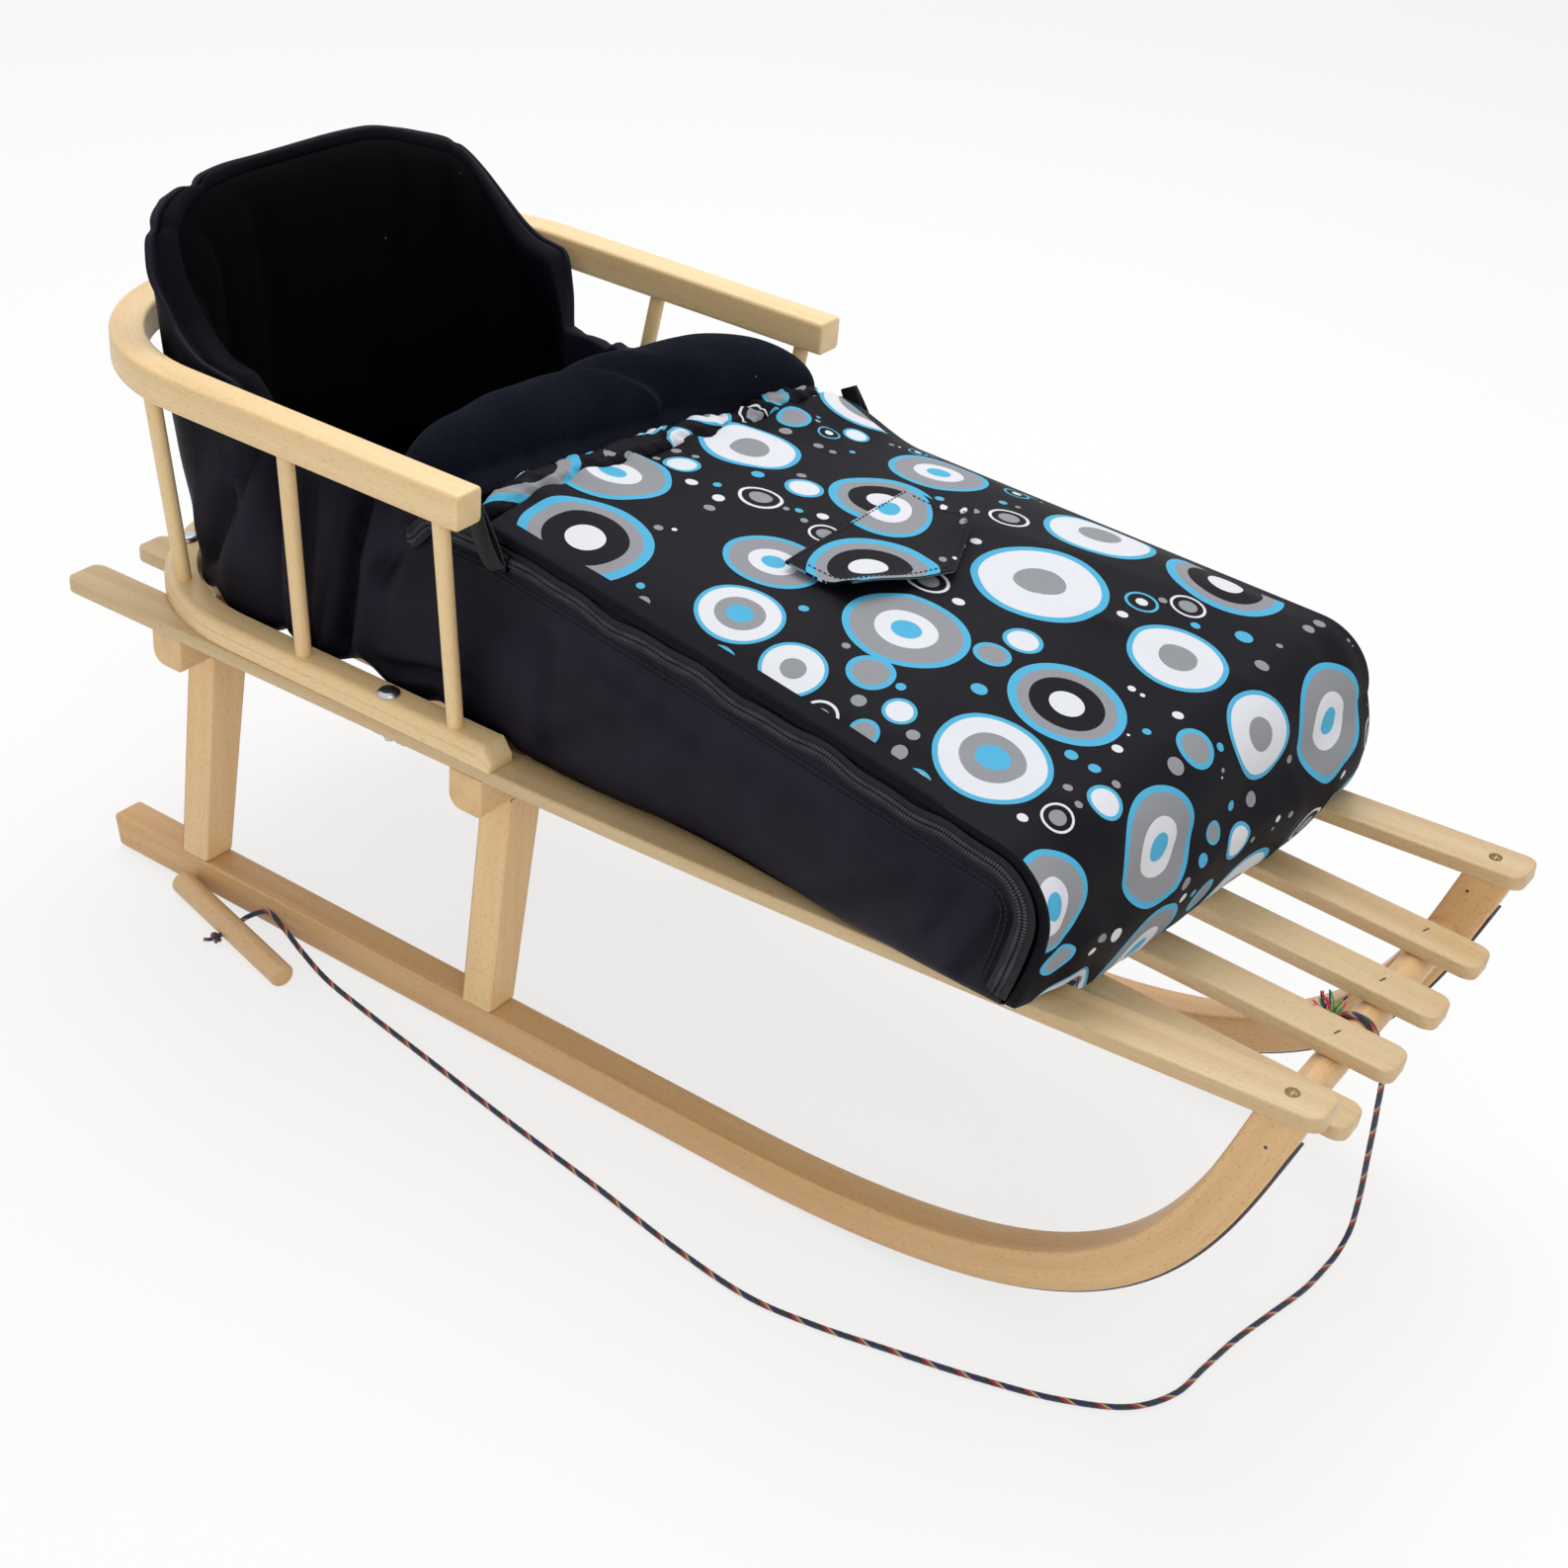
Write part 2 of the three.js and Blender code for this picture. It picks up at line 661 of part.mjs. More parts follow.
function addSeatRails() {
  const w = BASE_RAIL_WIDTH / 2;
  const h = BASE_RAIL_HEIGHT;
  const corner = BASE_RAIL_ROUND * (1 - Math.SQRT1_2);
  const baseSection = [
    [-w, 0], [w, 0], [w, BASE_RAIL_BEAD], [w - BASE_RAIL_STEP, h - BASE_RAIL_ROUND],
    [w - BASE_RAIL_STEP - corner, h - corner], [w - BASE_RAIL_STEP - BASE_RAIL_ROUND, h],
    [-w + BASE_RAIL_STEP, h], [-w, h - BASE_RAIL_STEP],
  ];
  const basePath = railPath(
    BASE_RAIL_FRONT_X, BASE_RAIL_BACK_X, BASE_RAIL_HALF, BASE_RAIL_BEND, BASE_RAIL_WIDTH);
  const coves = SIDES.map((side) => rod(
    BASE_RAIL_COVE,
    new THREE.Vector3(BASE_RAIL_FRONT_X + BASE_RAIL_COVE / 2, 0, BASE_RAIL_TOP),
    new THREE.Vector3(BASE_RAIL_FRONT_X + BASE_RAIL_COVE / 2, side.sign * SLED_LENGTH / 2, BASE_RAIL_TOP),
  ));
  const base = sweepRail(basePath, baseSection, BASE_RAIL_BOTTOM);
  addPiece('seat_base_rail', cut(base, [...coves, ...spindleHoles(), ...boltHoles()]), 'rail', 'wood');

  const a = TOP_RAIL_WIDTH / 2;
  const b = TOP_RAIL_HEIGHT;
  const r = TOP_RAIL_ROUND;
  const k = r * (1 - Math.SQRT1_2);
  const topSection = [
    [-a + r, 0], [a - r, 0], [a - k, k], [a, r], [a, b - r], [a - k, b - k],
    [a - r, b], [-a + r, b], [-a + k, b - k], [-a, b - r], [-a, r], [-a + k, k],
  ];
  const topPath = railPath(
    TOP_RAIL_FRONT_X, TOP_RAIL_BACK_X, TOP_RAIL_HALF, TOP_RAIL_BEND, TOP_RAIL_WIDTH);
  const top = sweepRail(topPath, topSection, TOP_RAIL_BOTTOM);
  const ends = roundedOutline(2 * (TOP_RAIL_FRONT_X - TOP_RAIL_BACK_X), 2 * TOP_RAIL_HALF, RAIL_END_EASE);
  const limit = extrude(ends, TOP_RAIL_HEIGHT + OVERRUN, 0)
    .translate(TOP_RAIL_BACK_X, 0, TOP_RAIL_BOTTOM + TOP_RAIL_HEIGHT / 2);
  addPiece('seat_top_rail', cut(keepInside(top, limit), spindleHoles()), 'rail', 'wood');
}

function addSpindles() {
  for (const { from, to, name } of spindlePlaces()) {
    addPiece(name, rod(SPINDLE_RADIUS, from, to, ROUND_SIDES / 2), 'rail', 'wood');
  }
}

// slats
function slatSolid(slat) {
  const top = [];
  const bottom = [];
  top.push([REAR_X, SLAT_TOP]);
  bottom.push([REAR_X, SLAT_TOP - SLAT_THICK]);
  for (let i = 0; i <= SLAT_BEND_STEPS; i += 1) {
    const x = MID_FRAME_X + ((FRONT_X - MID_FRAME_X) * i) / SLAT_BEND_STEPS;
    top.push([x, SLAT_TOP + slatBend(x, slat.lift)]);
    bottom.push([x, slatUnderside(x, slat.lift)]);
  }
  const side = outline([...bottom, ...top.reverse()]);
  const board = alongY(side, slat.width, SLAT_EDGE);
  const plan = extrude(roundedOutline(SLED_LENGTH, slat.width, SLAT_CORNER), SLAT_TOP, 0)
    .translate(0, 0, SLAT_TOP);
  const fan = Math.atan2(slat.front - slat.rear, SLED_LENGTH);
  return keepInside(board, plan).rotateZ(fan).translate(0, (slat.rear + slat.front) / 2, 0);
}

function screwPlace(side) {
  const slat = SLATS.find((one) => one.name === `slat_outer_${side.name}`);
  return { x: SCREW_X, y: slatY(slat, SCREW_X), z: SLAT_TOP + slatBend(SCREW_X, slat.lift) - SCREW_SINK };
}

function screwBody(side, gap) {
  const place = screwPlace(side);
  const head = gap > 0 ? OVERRUN : 0;
  return turned([
    [0, -SCREW_LENGTH - gap], [SCREW_SHANK_RADIUS / 2 + gap, -SCREW_LENGTH - gap],
    [SCREW_SHANK_RADIUS + gap, -SCREW_LENGTH + SCREW_SHANK_RADIUS],
    [SCREW_SHANK_RADIUS + gap, -SCREW_HEAD_HEIGHT], [SCREW_HEAD_RADIUS + gap, 0],
    ...(head > 0 ? [[SCREW_HEAD_RADIUS + gap, head]] : []), [0, head],
  ]).translate(place.x, place.y, place.z);
}

function addSlats() {
  const screws = SIDES.map((side) => screwBody(side, FIT_GAP));
  for (const slat of SLATS) {
    addPiece(slat.name, cut(slatSolid(slat), [...screws, ...boltHoles()]), 'slat', 'wood');
  }
}

function addSlatScrews() {
  for (const side of SIDES) {
    const { x, y, z } = screwPlace(side);
    const slotZ = z - SCREW_SLOT_DEPTH / 2 + OVERRUN / 2;
    const depth = SCREW_SLOT_DEPTH + OVERRUN;
    const screw = cut(screwBody(side, 0), [
      box(SCREW_SLOT_LENGTH, SCREW_SLOT_WIDTH, depth, x, y, slotZ),
      box(SCREW_SLOT_WIDTH, SCREW_SLOT_LENGTH, depth, x, y, slotZ),
    ]);
    addPiece(`slat_screw_${side.name}`, screw, 'zinc', 'metal');
  }
}

// crossbars with mortises for the legs
const CROSSBAR_TOP = SLAT_TOP - SLAT_THICK - SEAT_GAP;
const CROSSBAR_BOTTOM = CROSSBAR_TOP - CROSSBAR_HEIGHT;
const RUNNER_TOP = STRIP_THICK + RUNNER_DEPTH_REAR;
const RUNNER_CENTRE = RUNNER_OUTER_HALF - RUNNER_WIDTH / 2;
const LEG_HEAD_CENTRE = RUNNER_OUTER_HALF - LEG_LEAN - LEG_HEAD_WIDTH / 2;

function tenons(x, sign, gap) {
  const size = [TENON_THICK + 2 * gap, TENON_WIDTH + 2 * gap];
  const length = TENON_LENGTH + gap + OVERRUN;
  const foot = box(...size, length, x, sign * RUNNER_CENTRE, RUNNER_TOP - TENON_LENGTH - gap + length / 2);
  const head = box(
    ...size, length, x, sign * LEG_HEAD_CENTRE, CROSSBAR_BOTTOM + TENON_LENGTH + gap - length / 2);
  return [foot, head];
}

function addCrossbars() {
  const frames = [['rear', REAR_FRAME_X], ['mid', MID_FRAME_X]];
  for (const [name, x] of frames) {
    const half = CROSSBAR_THICK / 2;
    const shape = new THREE.Shape();
    shape.moveTo(-half, CROSSBAR_TOP);
    shape.lineTo(-half, CROSSBAR_BOTTOM + CROSSBAR_REAR_ROUND);
    shape.absarc(
      -half + CROSSBAR_REAR_ROUND, CROSSBAR_BOTTOM + CROSSBAR_REAR_ROUND, CROSSBAR_REAR_ROUND,
      Math.PI, 1.5 * Math.PI);
    shape.lineTo(half - CROSSBAR_FRONT_ROUND, CROSSBAR_BOTTOM);
    shape.absarc(
      half - CROSSBAR_FRONT_ROUND, CROSSBAR_BOTTOM + CROSSBAR_FRONT_ROUND, CROSSBAR_FRONT_ROUND,
      -Math.PI / 2, 0);
    shape.lineTo(half, CROSSBAR_TOP);
    const bar = alongY(shape, CROSSBAR_LENGTH).translate(x, 0, 0);
    const mortises = SIDES.flatMap((side) => tenons(x, side.sign, FIT_GAP));
    addPiece(`crossbar_${name}`, cut(bar, mortises), 'leg', 'wood');
    addLegs(name, x);
  }
}

function addLegs(frameName, x) {
  for (const side of SIDES) {
    const outerHead = RUNNER_OUTER_HALF - LEG_LEAN;
    const body = alongX(outline([
      [-RUNNER_OUTER_HALF, RUNNER_TOP + SEAT_GAP],
      [-RUNNER_OUTER_HALF + LEG_FOOT_WIDTH, RUNNER_TOP + SEAT_GAP],
      [-outerHead + LEG_HEAD_WIDTH, CROSSBAR_BOTTOM - SEAT_GAP],
      [-outerHead, CROSSBAR_BOTTOM - SEAT_GAP],
    ]), LEG_THICK, RUNNER_EDGE / 2).translate(x, 0, 0);
    const leg = join([body, ...tenons(x, -1, 0)]);
    if (side.sign > 0) {
      leg.rotateZ(Math.PI).translate(2 * x, 0, 0);
    }
    addPiece(`leg_${frameName}_${side.name}`, leg, 'leg', 'wood');
  }
}

// the underside of a runner's wood: flat, then one long steam-bent curve up to the tip
function bendCurve() {
  return new THREE.CubicBezierCurve(
    new THREE.Vector2(RUNNER_BEND_X, STRIP_THICK),
    new THREE.Vector2(RUNNER_BEND_X + BEND_HANDLE_FLAT, STRIP_THICK),
    new THREE.Vector2(
      RUNNER_TIP_X - BEND_HANDLE_TIP * Math.cos(RUNNER_TIP_ANGLE),
      RUNNER_TIP_Z - BEND_HANDLE_TIP * Math.sin(RUNNER_TIP_ANGLE)),
    new THREE.Vector2(RUNNER_TIP_X, RUNNER_TIP_Z),
  );
}

function bendPoints() {
  const curve = bendCurve();
  const points = [];
  for (let i = 0; i <= RUNNER_BEND_STEPS; i += 1) {
    const t = i / RUNNER_BEND_STEPS;
    const point = curve.getPoint(t);
    const ahead = curve.getTangent(t);
    points.push({ point, normal: new THREE.Vector2(-ahead.y, ahead.x), t });
  }
  return points;
}

function offsetPoint({ point, normal }, distance) {
  return [point.x + normal.x * distance, point.y + normal.y * distance];
}

function runnerSolid() {
  const bend = bendPoints();
  const underside = bend.map((place) => offsetPoint(place, 0));
  const inside = bend.map((place) => offsetPoint(
    place, RUNNER_DEPTH_REAR + (RUNNER_DEPTH_TIP - RUNNER_DEPTH_REAR) * place.t)).reverse();
  const shape = outline([
    [RUNNER_REAR_X, STRIP_THICK], ...underside, ...inside, [RUNNER_REAR_X - RUNNER_REAR_RAKE, RUNNER_TOP],
  ]);
  return alongY(shape, RUNNER_WIDTH, RUNNER_EDGE);
}

// the space that the outer slat and its seat take, cut from the runner's tip
function slatSpace() {
  const from = DOWEL_X - DOWEL_RADIUS * 3;
  const points = [];
  for (let i = 0; i <= SLAT_BEND_STEPS / 2; i += 1) {
    const x = from + ((FRONT_X + OVERRUN - from) * i) / (SLAT_BEND_STEPS / 2);
    points.push([x, slatUnderside(x, OUTER_SLAT_LIFT) - FIT_GAP]);
  }
  const top = SLAT_TOP * 2;
  return alongY(outline([...points, [FRONT_X + OVERRUN, top], [from, top]]), RUNNER_WIDTH + OVERRUN);
}

function dowelEnd(sign) {
  const inner = RUNNER_OUTER_HALF - RUNNER_WIDTH - OVERRUN;
  const end = RUNNER_OUTER_HALF - RUNNER_WIDTH + DOWEL_LET_IN + FIT_GAP;
  return rod(
    DOWEL_RADIUS + FIT_GAP,
    new THREE.Vector3(DOWEL_X, sign * inner, dowelZ()),
    new THREE.Vector3(DOWEL_X, sign * end, dowelZ()),
    DOWEL_SIDES,
  );
}

function addRunners() {
  for (const side of SIDES) {
    const wood = runnerSolid().translate(0, side.sign * RUNNER_CENTRE, 0);
    const tools = [
      slatSpace().translate(0, side.sign * RUNNER_CENTRE, 0),
      dowelEnd(side.sign),
      screwBody(side, FIT_GAP),
      ...tenons(REAR_FRAME_X, side.sign, FIT_GAP),
      ...tenons(MID_FRAME_X, side.sign, FIT_GAP),
    ];
    addPiece(`runner_${side.name}`, cut(wood, tools), 'runner', 'wood');
  }
}

function addStrips() {
  for (const side of SIDES) {
    const bend = bendPoints().slice(0, -STRIP_TIP_STOP);
    const upper = bend.map((place) => offsetPoint(place, -SEAT_GAP));
    const lower = bend.map((place) => offsetPoint(place, -STRIP_THICK)).reverse();
    const rear = RUNNER_REAR_X + STRIP_REAR_INSET;
    const shape = outline([[rear, STRIP_THICK - SEAT_GAP], ...upper, ...lower, [rear, 0]]);
    const strip = alongY(shape, STRIP_WIDTH).translate(0, side.sign * RUNNER_CENTRE, 0);
    addPiece(`runner_strip_${side.name}`, strip, 'steel', 'metal');
  }
}

function addFrontDowel() {
  const half = RUNNER_OUTER_HALF - RUNNER_WIDTH + DOWEL_LET_IN;
  const bar = rod(
    DOWEL_RADIUS,
    new THREE.Vector3(DOWEL_X, -half, dowelZ()),
    new THREE.Vector3(DOWEL_X, half, dowelZ()),
    DOWEL_SIDES,
  );
  addPiece('front_dowel', bar, 'dowel', 'wood');
}

// bolts and wing nuts of the seat
function seatBolt() {
  const under = SLAT_TOP - SLAT_THICK - SEAT_GAP;
  const headBase = BASE_RAIL_TOP + SEAT_GAP;
  const dome = headBase + BOLT_HEAD_HEIGHT;
  return turned([
    [0, under - BOLT_REACH], [BOLT_RADIUS, under - BOLT_REACH], [BOLT_RADIUS, headBase],
    [BOLT_HEAD_RADIUS, headBase], [BOLT_HEAD_RADIUS - BOLT_DOME / 2, headBase + BOLT_HEAD_HEIGHT / 2],
    [BOLT_HEAD_RADIUS - 2 * BOLT_DOME, dome - BOLT_DOME / 2], [0, dome],
  ]);
}

function wingNut() {
  const top = SLAT_TOP - SLAT_THICK - SEAT_GAP;
  const hub = turned([
    [0, top - NUT_HUB_HEIGHT], [NUT_HUB_RADIUS - BOLT_DOME, top - NUT_HUB_HEIGHT],
    [NUT_HUB_RADIUS, top - BOLT_DOME], [NUT_FLANGE_RADIUS, top - BOLT_DOME], [NUT_FLANGE_RADIUS, top], [0, top],
  ]);
  const wings = alongY(outline([
    [-NUT_WING_SPAN, top - NUT_WING_HEIGHT], [-NUT_HUB_RADIUS, top - BOLT_DOME],
    [NUT_HUB_RADIUS, top - BOLT_DOME], [NUT_WING_SPAN, top - NUT_WING_HEIGHT],
    [NUT_WING_SPAN / 2, top - NUT_WING_HEIGHT], [NUT_HUB_RADIUS / 2, top - NUT_HUB_HEIGHT / 2],
    [-NUT_HUB_RADIUS / 2, top - NUT_HUB_HEIGHT / 2], [-NUT_WING_SPAN / 2, top - NUT_WING_HEIGHT],
  ]), NUT_WING_THICK);
  const bore = rod(
    BOLT_RADIUS + FIT_GAP,
    new THREE.Vector3(0, 0, top - NUT_WING_HEIGHT - OVERRUN),
    new THREE.Vector3(0, 0, top + OVERRUN),
  );
  return cut(join([hub, wings]), [bore]);
}

function addSeatFixings() {
  for (const { x, y, name } of boltPlaces()) {
    addPiece(`seat_bolt_${name}`, seatBolt().translate(x, y, 0), 'zinc', 'metal');
    addPiece(`seat_wing_nut_${name}`, wingNut().translate(x, y, 0), 'zinc', 'metal');
  }
}

// half width of the muff in plan, and the height of its side walls
function muffHalf(x) {
  const widen = THREE.MathUtils.clamp((x - MUFF_KNEE_X) / (MUFF_FOOT_X - MUFF_KNEE_X), 0, 1);
  return MUFF_SEAT_HALF + (MUFF_FOOT_HALF - MUFF_SEAT_HALF) * widen;
}

function kneeLine(x) {
  const fall = Math.max(0, (x - MUFF_KNEE_X) / (MUFF_FOOT_X - MUFF_KNEE_X));
  return MUFF_SEAT_TOP + (MUFF_FOOT_TOP - MUFF_SEAT_TOP) * fall;
}

function muffWallTop(x) {
  if (x < HOOD_FRONT_X) {
    const rise = Math.min(1, (HOOD_FRONT_X - x) / (HOOD_FRONT_X - HOOD_SIDE_X));
    return MUFF_SEAT_TOP + (HOOD_SIDE_TOP - MUFF_SEAT_TOP) * Math.sin((Math.PI / 2) * rise);
  }
  const corner = Math.max(0, x - (MUFF_FOOT_X - MUFF_FOOT_ROUND));
  return kneeLine(x) - MUFF_FOOT_ROUND + Math.sqrt(Math.max(0, MUFF_FOOT_ROUND ** 2 - corner ** 2));
}

// the muff lies on the slats: on the raised outer ones at its sides, on the sunk inner ones between
function muffBottom(x, lift = OUTER_SLAT_LIFT) {
  return SLAT_TOP + FIT_GAP + slatBend(x, lift);
}

function ovalPoint(angle, depth, half, power) {
  return new THREE.Vector2(
    HOOD_SIDE_X - depth * Math.abs(Math.sin(angle)) ** (2 / power),
    -half * Math.sign(Math.cos(angle)) * Math.abs(Math.cos(angle)) ** (2 / power),
  );
}

// a place on the hood: angle round from the right side (0) to the left (PI), and share of its height
function hoodPlace(angle, share, inset) {
  const foot = ovalPoint(angle, HOOD_FOOT_DEPTH - inset, MUFF_SEAT_HALF - inset, HOOD_FOOT_POWER);
  const head = ovalPoint(angle, HOOD_HEAD_DEPTH - inset, HOOD_HEAD_HALF - inset, HOOD_HEAD_POWER);
  const plan = foot.lerp(head, share);
  const top = HOOD_SIDE_TOP + (HOOD_TOP - HOOD_SIDE_TOP) * Math.sin(angle) ** HOOD_RIM_POWER;
  const bottom = muffBottom(plan.x);
  return new THREE.Vector3(plan.x, plan.y, bottom + (top - bottom) * share);
}

// a place on the side wall at x, on the right (sign -1) or the left
function sidePlace(x, sign, share, inset) {
  const top = muffWallTop(x);
  const bottom = muffBottom(x);
  const hoodShare = Math.max(0, (top - MUFF_SEAT_TOP) / (HOOD_SIDE_TOP - MUFF_SEAT_TOP));
  const flare = (HOOD_HEAD_HALF - MUFF_SEAT_HALF) * hoodShare;
  const bulge = x > HOOD_FRONT_X ? MUFF_BULGE * Math.sin(Math.PI * share) : 0;
  return new THREE.Vector3(
    x, sign * (muffHalf(x) + flare * share + bulge - inset), bottom + (top - bottom) * share);
}

// sections of the shell from the right foot corner round the hood to the left foot corner
function shellStations() {
  const places = [];
  for (let i = COVER_ROUND_STEPS; i > 0; i -= 1) {
    const angle = (Math.PI / 2) * (i / COVER_ROUND_STEPS);
    places.push(MUFF_FOOT_X - MUFF_FOOT_ROUND * (1 - Math.sin(angle)));
  }
  const straight = MUFF_FOOT_X - MUFF_FOOT_ROUND - MUFF_KNEE_X;
  for (let i = MUFF_SIDE_STEPS; i >= 0; i -= 1) {
    places.push(MUFF_KNEE_X + (straight * i) / MUFF_SIDE_STEPS);
  }
  places.push((MUFF_KNEE_X + HOOD_FRONT_X) / 2);
  for (let i = 0; i < HOOD_RISE_STEPS; i += 1) {
    places.push(HOOD_FRONT_X + ((HOOD_SIDE_X - HOOD_FRONT_X) * i) / HOOD_RISE_STEPS);
  }
  const right = places.map((x) => (share, inset) => sidePlace(x, -1, share, inset));
  const left = places.map((x) => (share, inset) => sidePlace(x, 1, share, inset)).reverse();
  const round = [];
  for (let i = 0; i <= 2 * HOOD_STEPS; i += 1) {
    const angle = Math.PI * (i / (2 * HOOD_STEPS));
    round.push((share, inset) => hoodPlace(angle, share, inset));
  }
  return [...right, ...round, ...left];
}

// outer shell of the muff: floor, side walls and hood, open at the top and at the foot
function addMuffShell() {
  const midShares = [0.33, 0.72];
  const rings = shellStations().map((place) => {
    const top = place(1, MUFF_WALL / 2);
    const ease = new THREE.Vector3(0, 0, MUFF_WALL / 3);
    return [
      place(0, 0), ...midShares.map((share) => place(share, 0)), place(1, 0).sub(ease),
      place(1, MUFF_WALL / 3), top.clone().lerp(place(1, MUFF_WALL), 1 / 3), place(1, MUFF_WALL).sub(ease),
      ...midShares.slice().reverse().map((share) => place(share, MUFF_WALL)), place(0, MUFF_WALL),
    ];
  });
  const rear = HOOD_SIDE_X - HOOD_FOOT_DEPTH + MUFF_WALL / 2;
  const front = MUFF_FOOT_X;
  const floorAt = (rise) => (v, u) => {
    const x = rear + (front - rear) * v;
    const edge = FLOOR_EDGE_SHARES[Math.round(u * (FLOOR_EDGE_SHARES.length - 1))];
    const lift = Math.abs(edge) < FLOOR_SAG_SHARE ? INNER_SLAT_DIP : OUTER_SLAT_LIFT;
    return new THREE.Vector3(x, floorHalf(x) * edge, muffBottom(x, lift) + rise);
  };
  const floor = slab(FLOOR_EDGE_SHARES.length - 1, FLOOR_STEPS, floorAt(MUFF_FLOOR), floorAt(0));
  addPiece('muff_shell', join([loft(rings), floor]), 'shell', 'cloth');
}

// half width of the muff's floor, drawn in round the back
function floorHalf(x) {
  const inset = MUFF_WALL / 2;
  if (x >= HOOD_SIDE_X) {
    return muffHalf(x) - inset;
  }
  const reach = Math.min(1, (HOOD_SIDE_X - x) / (HOOD_FOOT_DEPTH - inset));
  const half = (MUFF_SEAT_HALF - inset) * (1 - reach ** HOOD_FOOT_POWER) ** (1 / HOOD_FOOT_POWER);
  return Math.max(half, inset);
}

// fleece lining against the inside of the hood
function addHoodLining() {
  const height = (angle, v) => {
    const top = hoodPlace(angle, 1, 0).z - LINING_DROP;
    return LINING_FOOT_Z + (top - LINING_FOOT_Z) * v;
  };
  const at = (v, u, inset) => {
    const angle = Math.PI * v;
    const z = height(angle, u);
    const bottom = hoodPlace(angle, 0, 0).z;
    const share = (z - bottom) / (hoodPlace(angle, 1, 0).z - bottom);
    return hoodPlace(angle, share, inset);
  };
  const thick = (v, u) => {
    const soft = (1 - (2 * v - 1) ** 8) * (1 - (2 * u - 1) ** 8);
    const channel = LINING_CHANNEL_DEPTH * Math.abs(Math.cos(Math.PI * LINING_CHANNELS * v)) ** 6;
    return LINING_EDGE + (LINING_THICK - LINING_EDGE - channel) * soft;
  };
  const wallSide = (v, u) => at(v, u, MUFF_WALL + LINING_GAP);
  const childSide = (v, u) => at(v, u, MUFF_WALL + LINING_GAP + thick(v, u));
  addPiece('hood_lining', slab(LINING_UP, LINING_ACROSS, wallSide, childSide), 'fleece', 'cloth');
}

// a quilted cushion: crowned, drawn in at its sides and sewn in channels
function addSeatPad() {
  const bottom = muffBottom(PAD_FRONT_X) + MUFF_FLOOR + FIT_GAP;
  const length = PAD_FRONT_X - PAD_REAR_X;
  const drawn = (v) => PAD_HALF * (1 - ((2 * v - 1) ** 6) / 8);
  const crown = (v, u) => {
    const edge = (1 - (2 * u - 1) ** 6) * (1 - (2 * v - 1) ** 6);
    const channel = PAD_CHANNEL_DEPTH * Math.cos(2 * Math.PI * PAD_CHANNELS * v) ** 8;
    return (PAD_THICK - PAD_CROWN) / 2 + ((PAD_THICK + PAD_CROWN) / 2 - channel) * edge;
  };
  const top = (v, u) => new THREE.Vector3(
    PAD_REAR_X + length * v, drawn(v) * (2 * u - 1), bottom + crown(v, u));
  const base = (v, u) => new THREE.Vector3(PAD_REAR_X + length * v, drawn(v) * (2 * u - 1), bottom);
  addPiece('muff_seat_pad', slab(PAD_GRID_ACROSS, PAD_GRID_ALONG, top, base), 'fleece', 'cloth');
}

// line along which the cover turns up, at its lower front edge
const HINGE_Z = kneeLine(MUFF_FOOT_X) - MUFF_FOOT_ROUND;
const HINGE_X = MUFF_FOOT_X + COVER_RISE + COVER_THICK;

// printed end of the muff in front of the child's feet, sagging between the outer slats
function addFootPanel() {
  const from = MUFF_FOOT_X + FIT_GAP;
  const reach = from + PANEL_THICK + PANEL_BULGE;
  const top = HINGE_Z - FIT_GAP;
  const columns = PANEL_COLUMN_SHARES.length - 1;
  const column = (u) => PANEL_COLUMN_SHARES[Math.round(u * columns)];
  const edge = (u) => (Math.abs(column(u)) < FLOOR_SAG_SHARE
    ? muffBottom(from, INNER_SLAT_DIP)
    : muffBottom(reach, OUTER_SLAT_LIFT));
  const place = (x, v, u) => new THREE.Vector3(
    x, MUFF_FOOT_HALF * column(u), edge(u) + (top - edge(u)) * v);
  const swell = (v, u) => PANEL_BULGE * Math.sqrt(Math.sin(Math.PI * (0.2 + 0.8 * v))) * (1 - column(u) ** 6);
  const front = (v, u) => place(from + PANEL_THICK + (v < 1 ? swell(v, u) : 0), v, u);
  const back = (v, u) => place(from, v, u);
  addPiece('muff_foot_panel', slab(columns, PANEL_ROWS, front, back), 'print', 'cloth');
}

// profile of the cover along the muff: straight over the legs, then round the foot
function coverStation(v) {
  const straight = MUFF_FOOT_X - MUFF_FOOT_ROUND - MUFF_KNEE_X;
  const steps = COVER_LONG_STEPS + COVER_ROUND_STEPS;
  const step = v * steps;
  if (step <= COVER_LONG_STEPS) {
    const x = MUFF_KNEE_X + (straight * step) / COVER_LONG_STEPS;
    return { x, z: kneeLine(x), outX: 0, outZ: 1 };
  }
  const angle = ((Math.PI / 2) * (step - COVER_LONG_STEPS)) / COVER_ROUND_STEPS;
  const x = MUFF_FOOT_X - MUFF_FOOT_ROUND * (1 - Math.sin(angle));
  return { x, z: muffWallTop(x), outX: Math.sin(angle), outZ: Math.cos(angle) };
}

function coverCrown(x, y) {
  const share = THREE.MathUtils.clamp(y / muffHalf(x), -1, 1);
  const nearFoot = THREE.MathUtils.smoothstep(MUFF_FOOT_X - x, 0, MUFF_SEAT_HALF);
  return COVER_CROWN * (1 - share ** 4) * nearFoot;
}

function coverTop(x, y) {
  return kneeLine(x) + COVER_RISE + COVER_THICK + coverCrown(x, y);
}

// how far the mouth's edge lies forward of its straight place, from none on the right
function mouthShift(share) {
  return (MOUTH_SLANT * (share + 1)) / 2;
}

// share of the way across the cover's slanted rear edge
function mouthShare(y) {
  return y / (muffHalf(MUFF_KNEE_X + mouthShift(y / MUFF_SEAT_HALF)) - FIT_GAP);
}

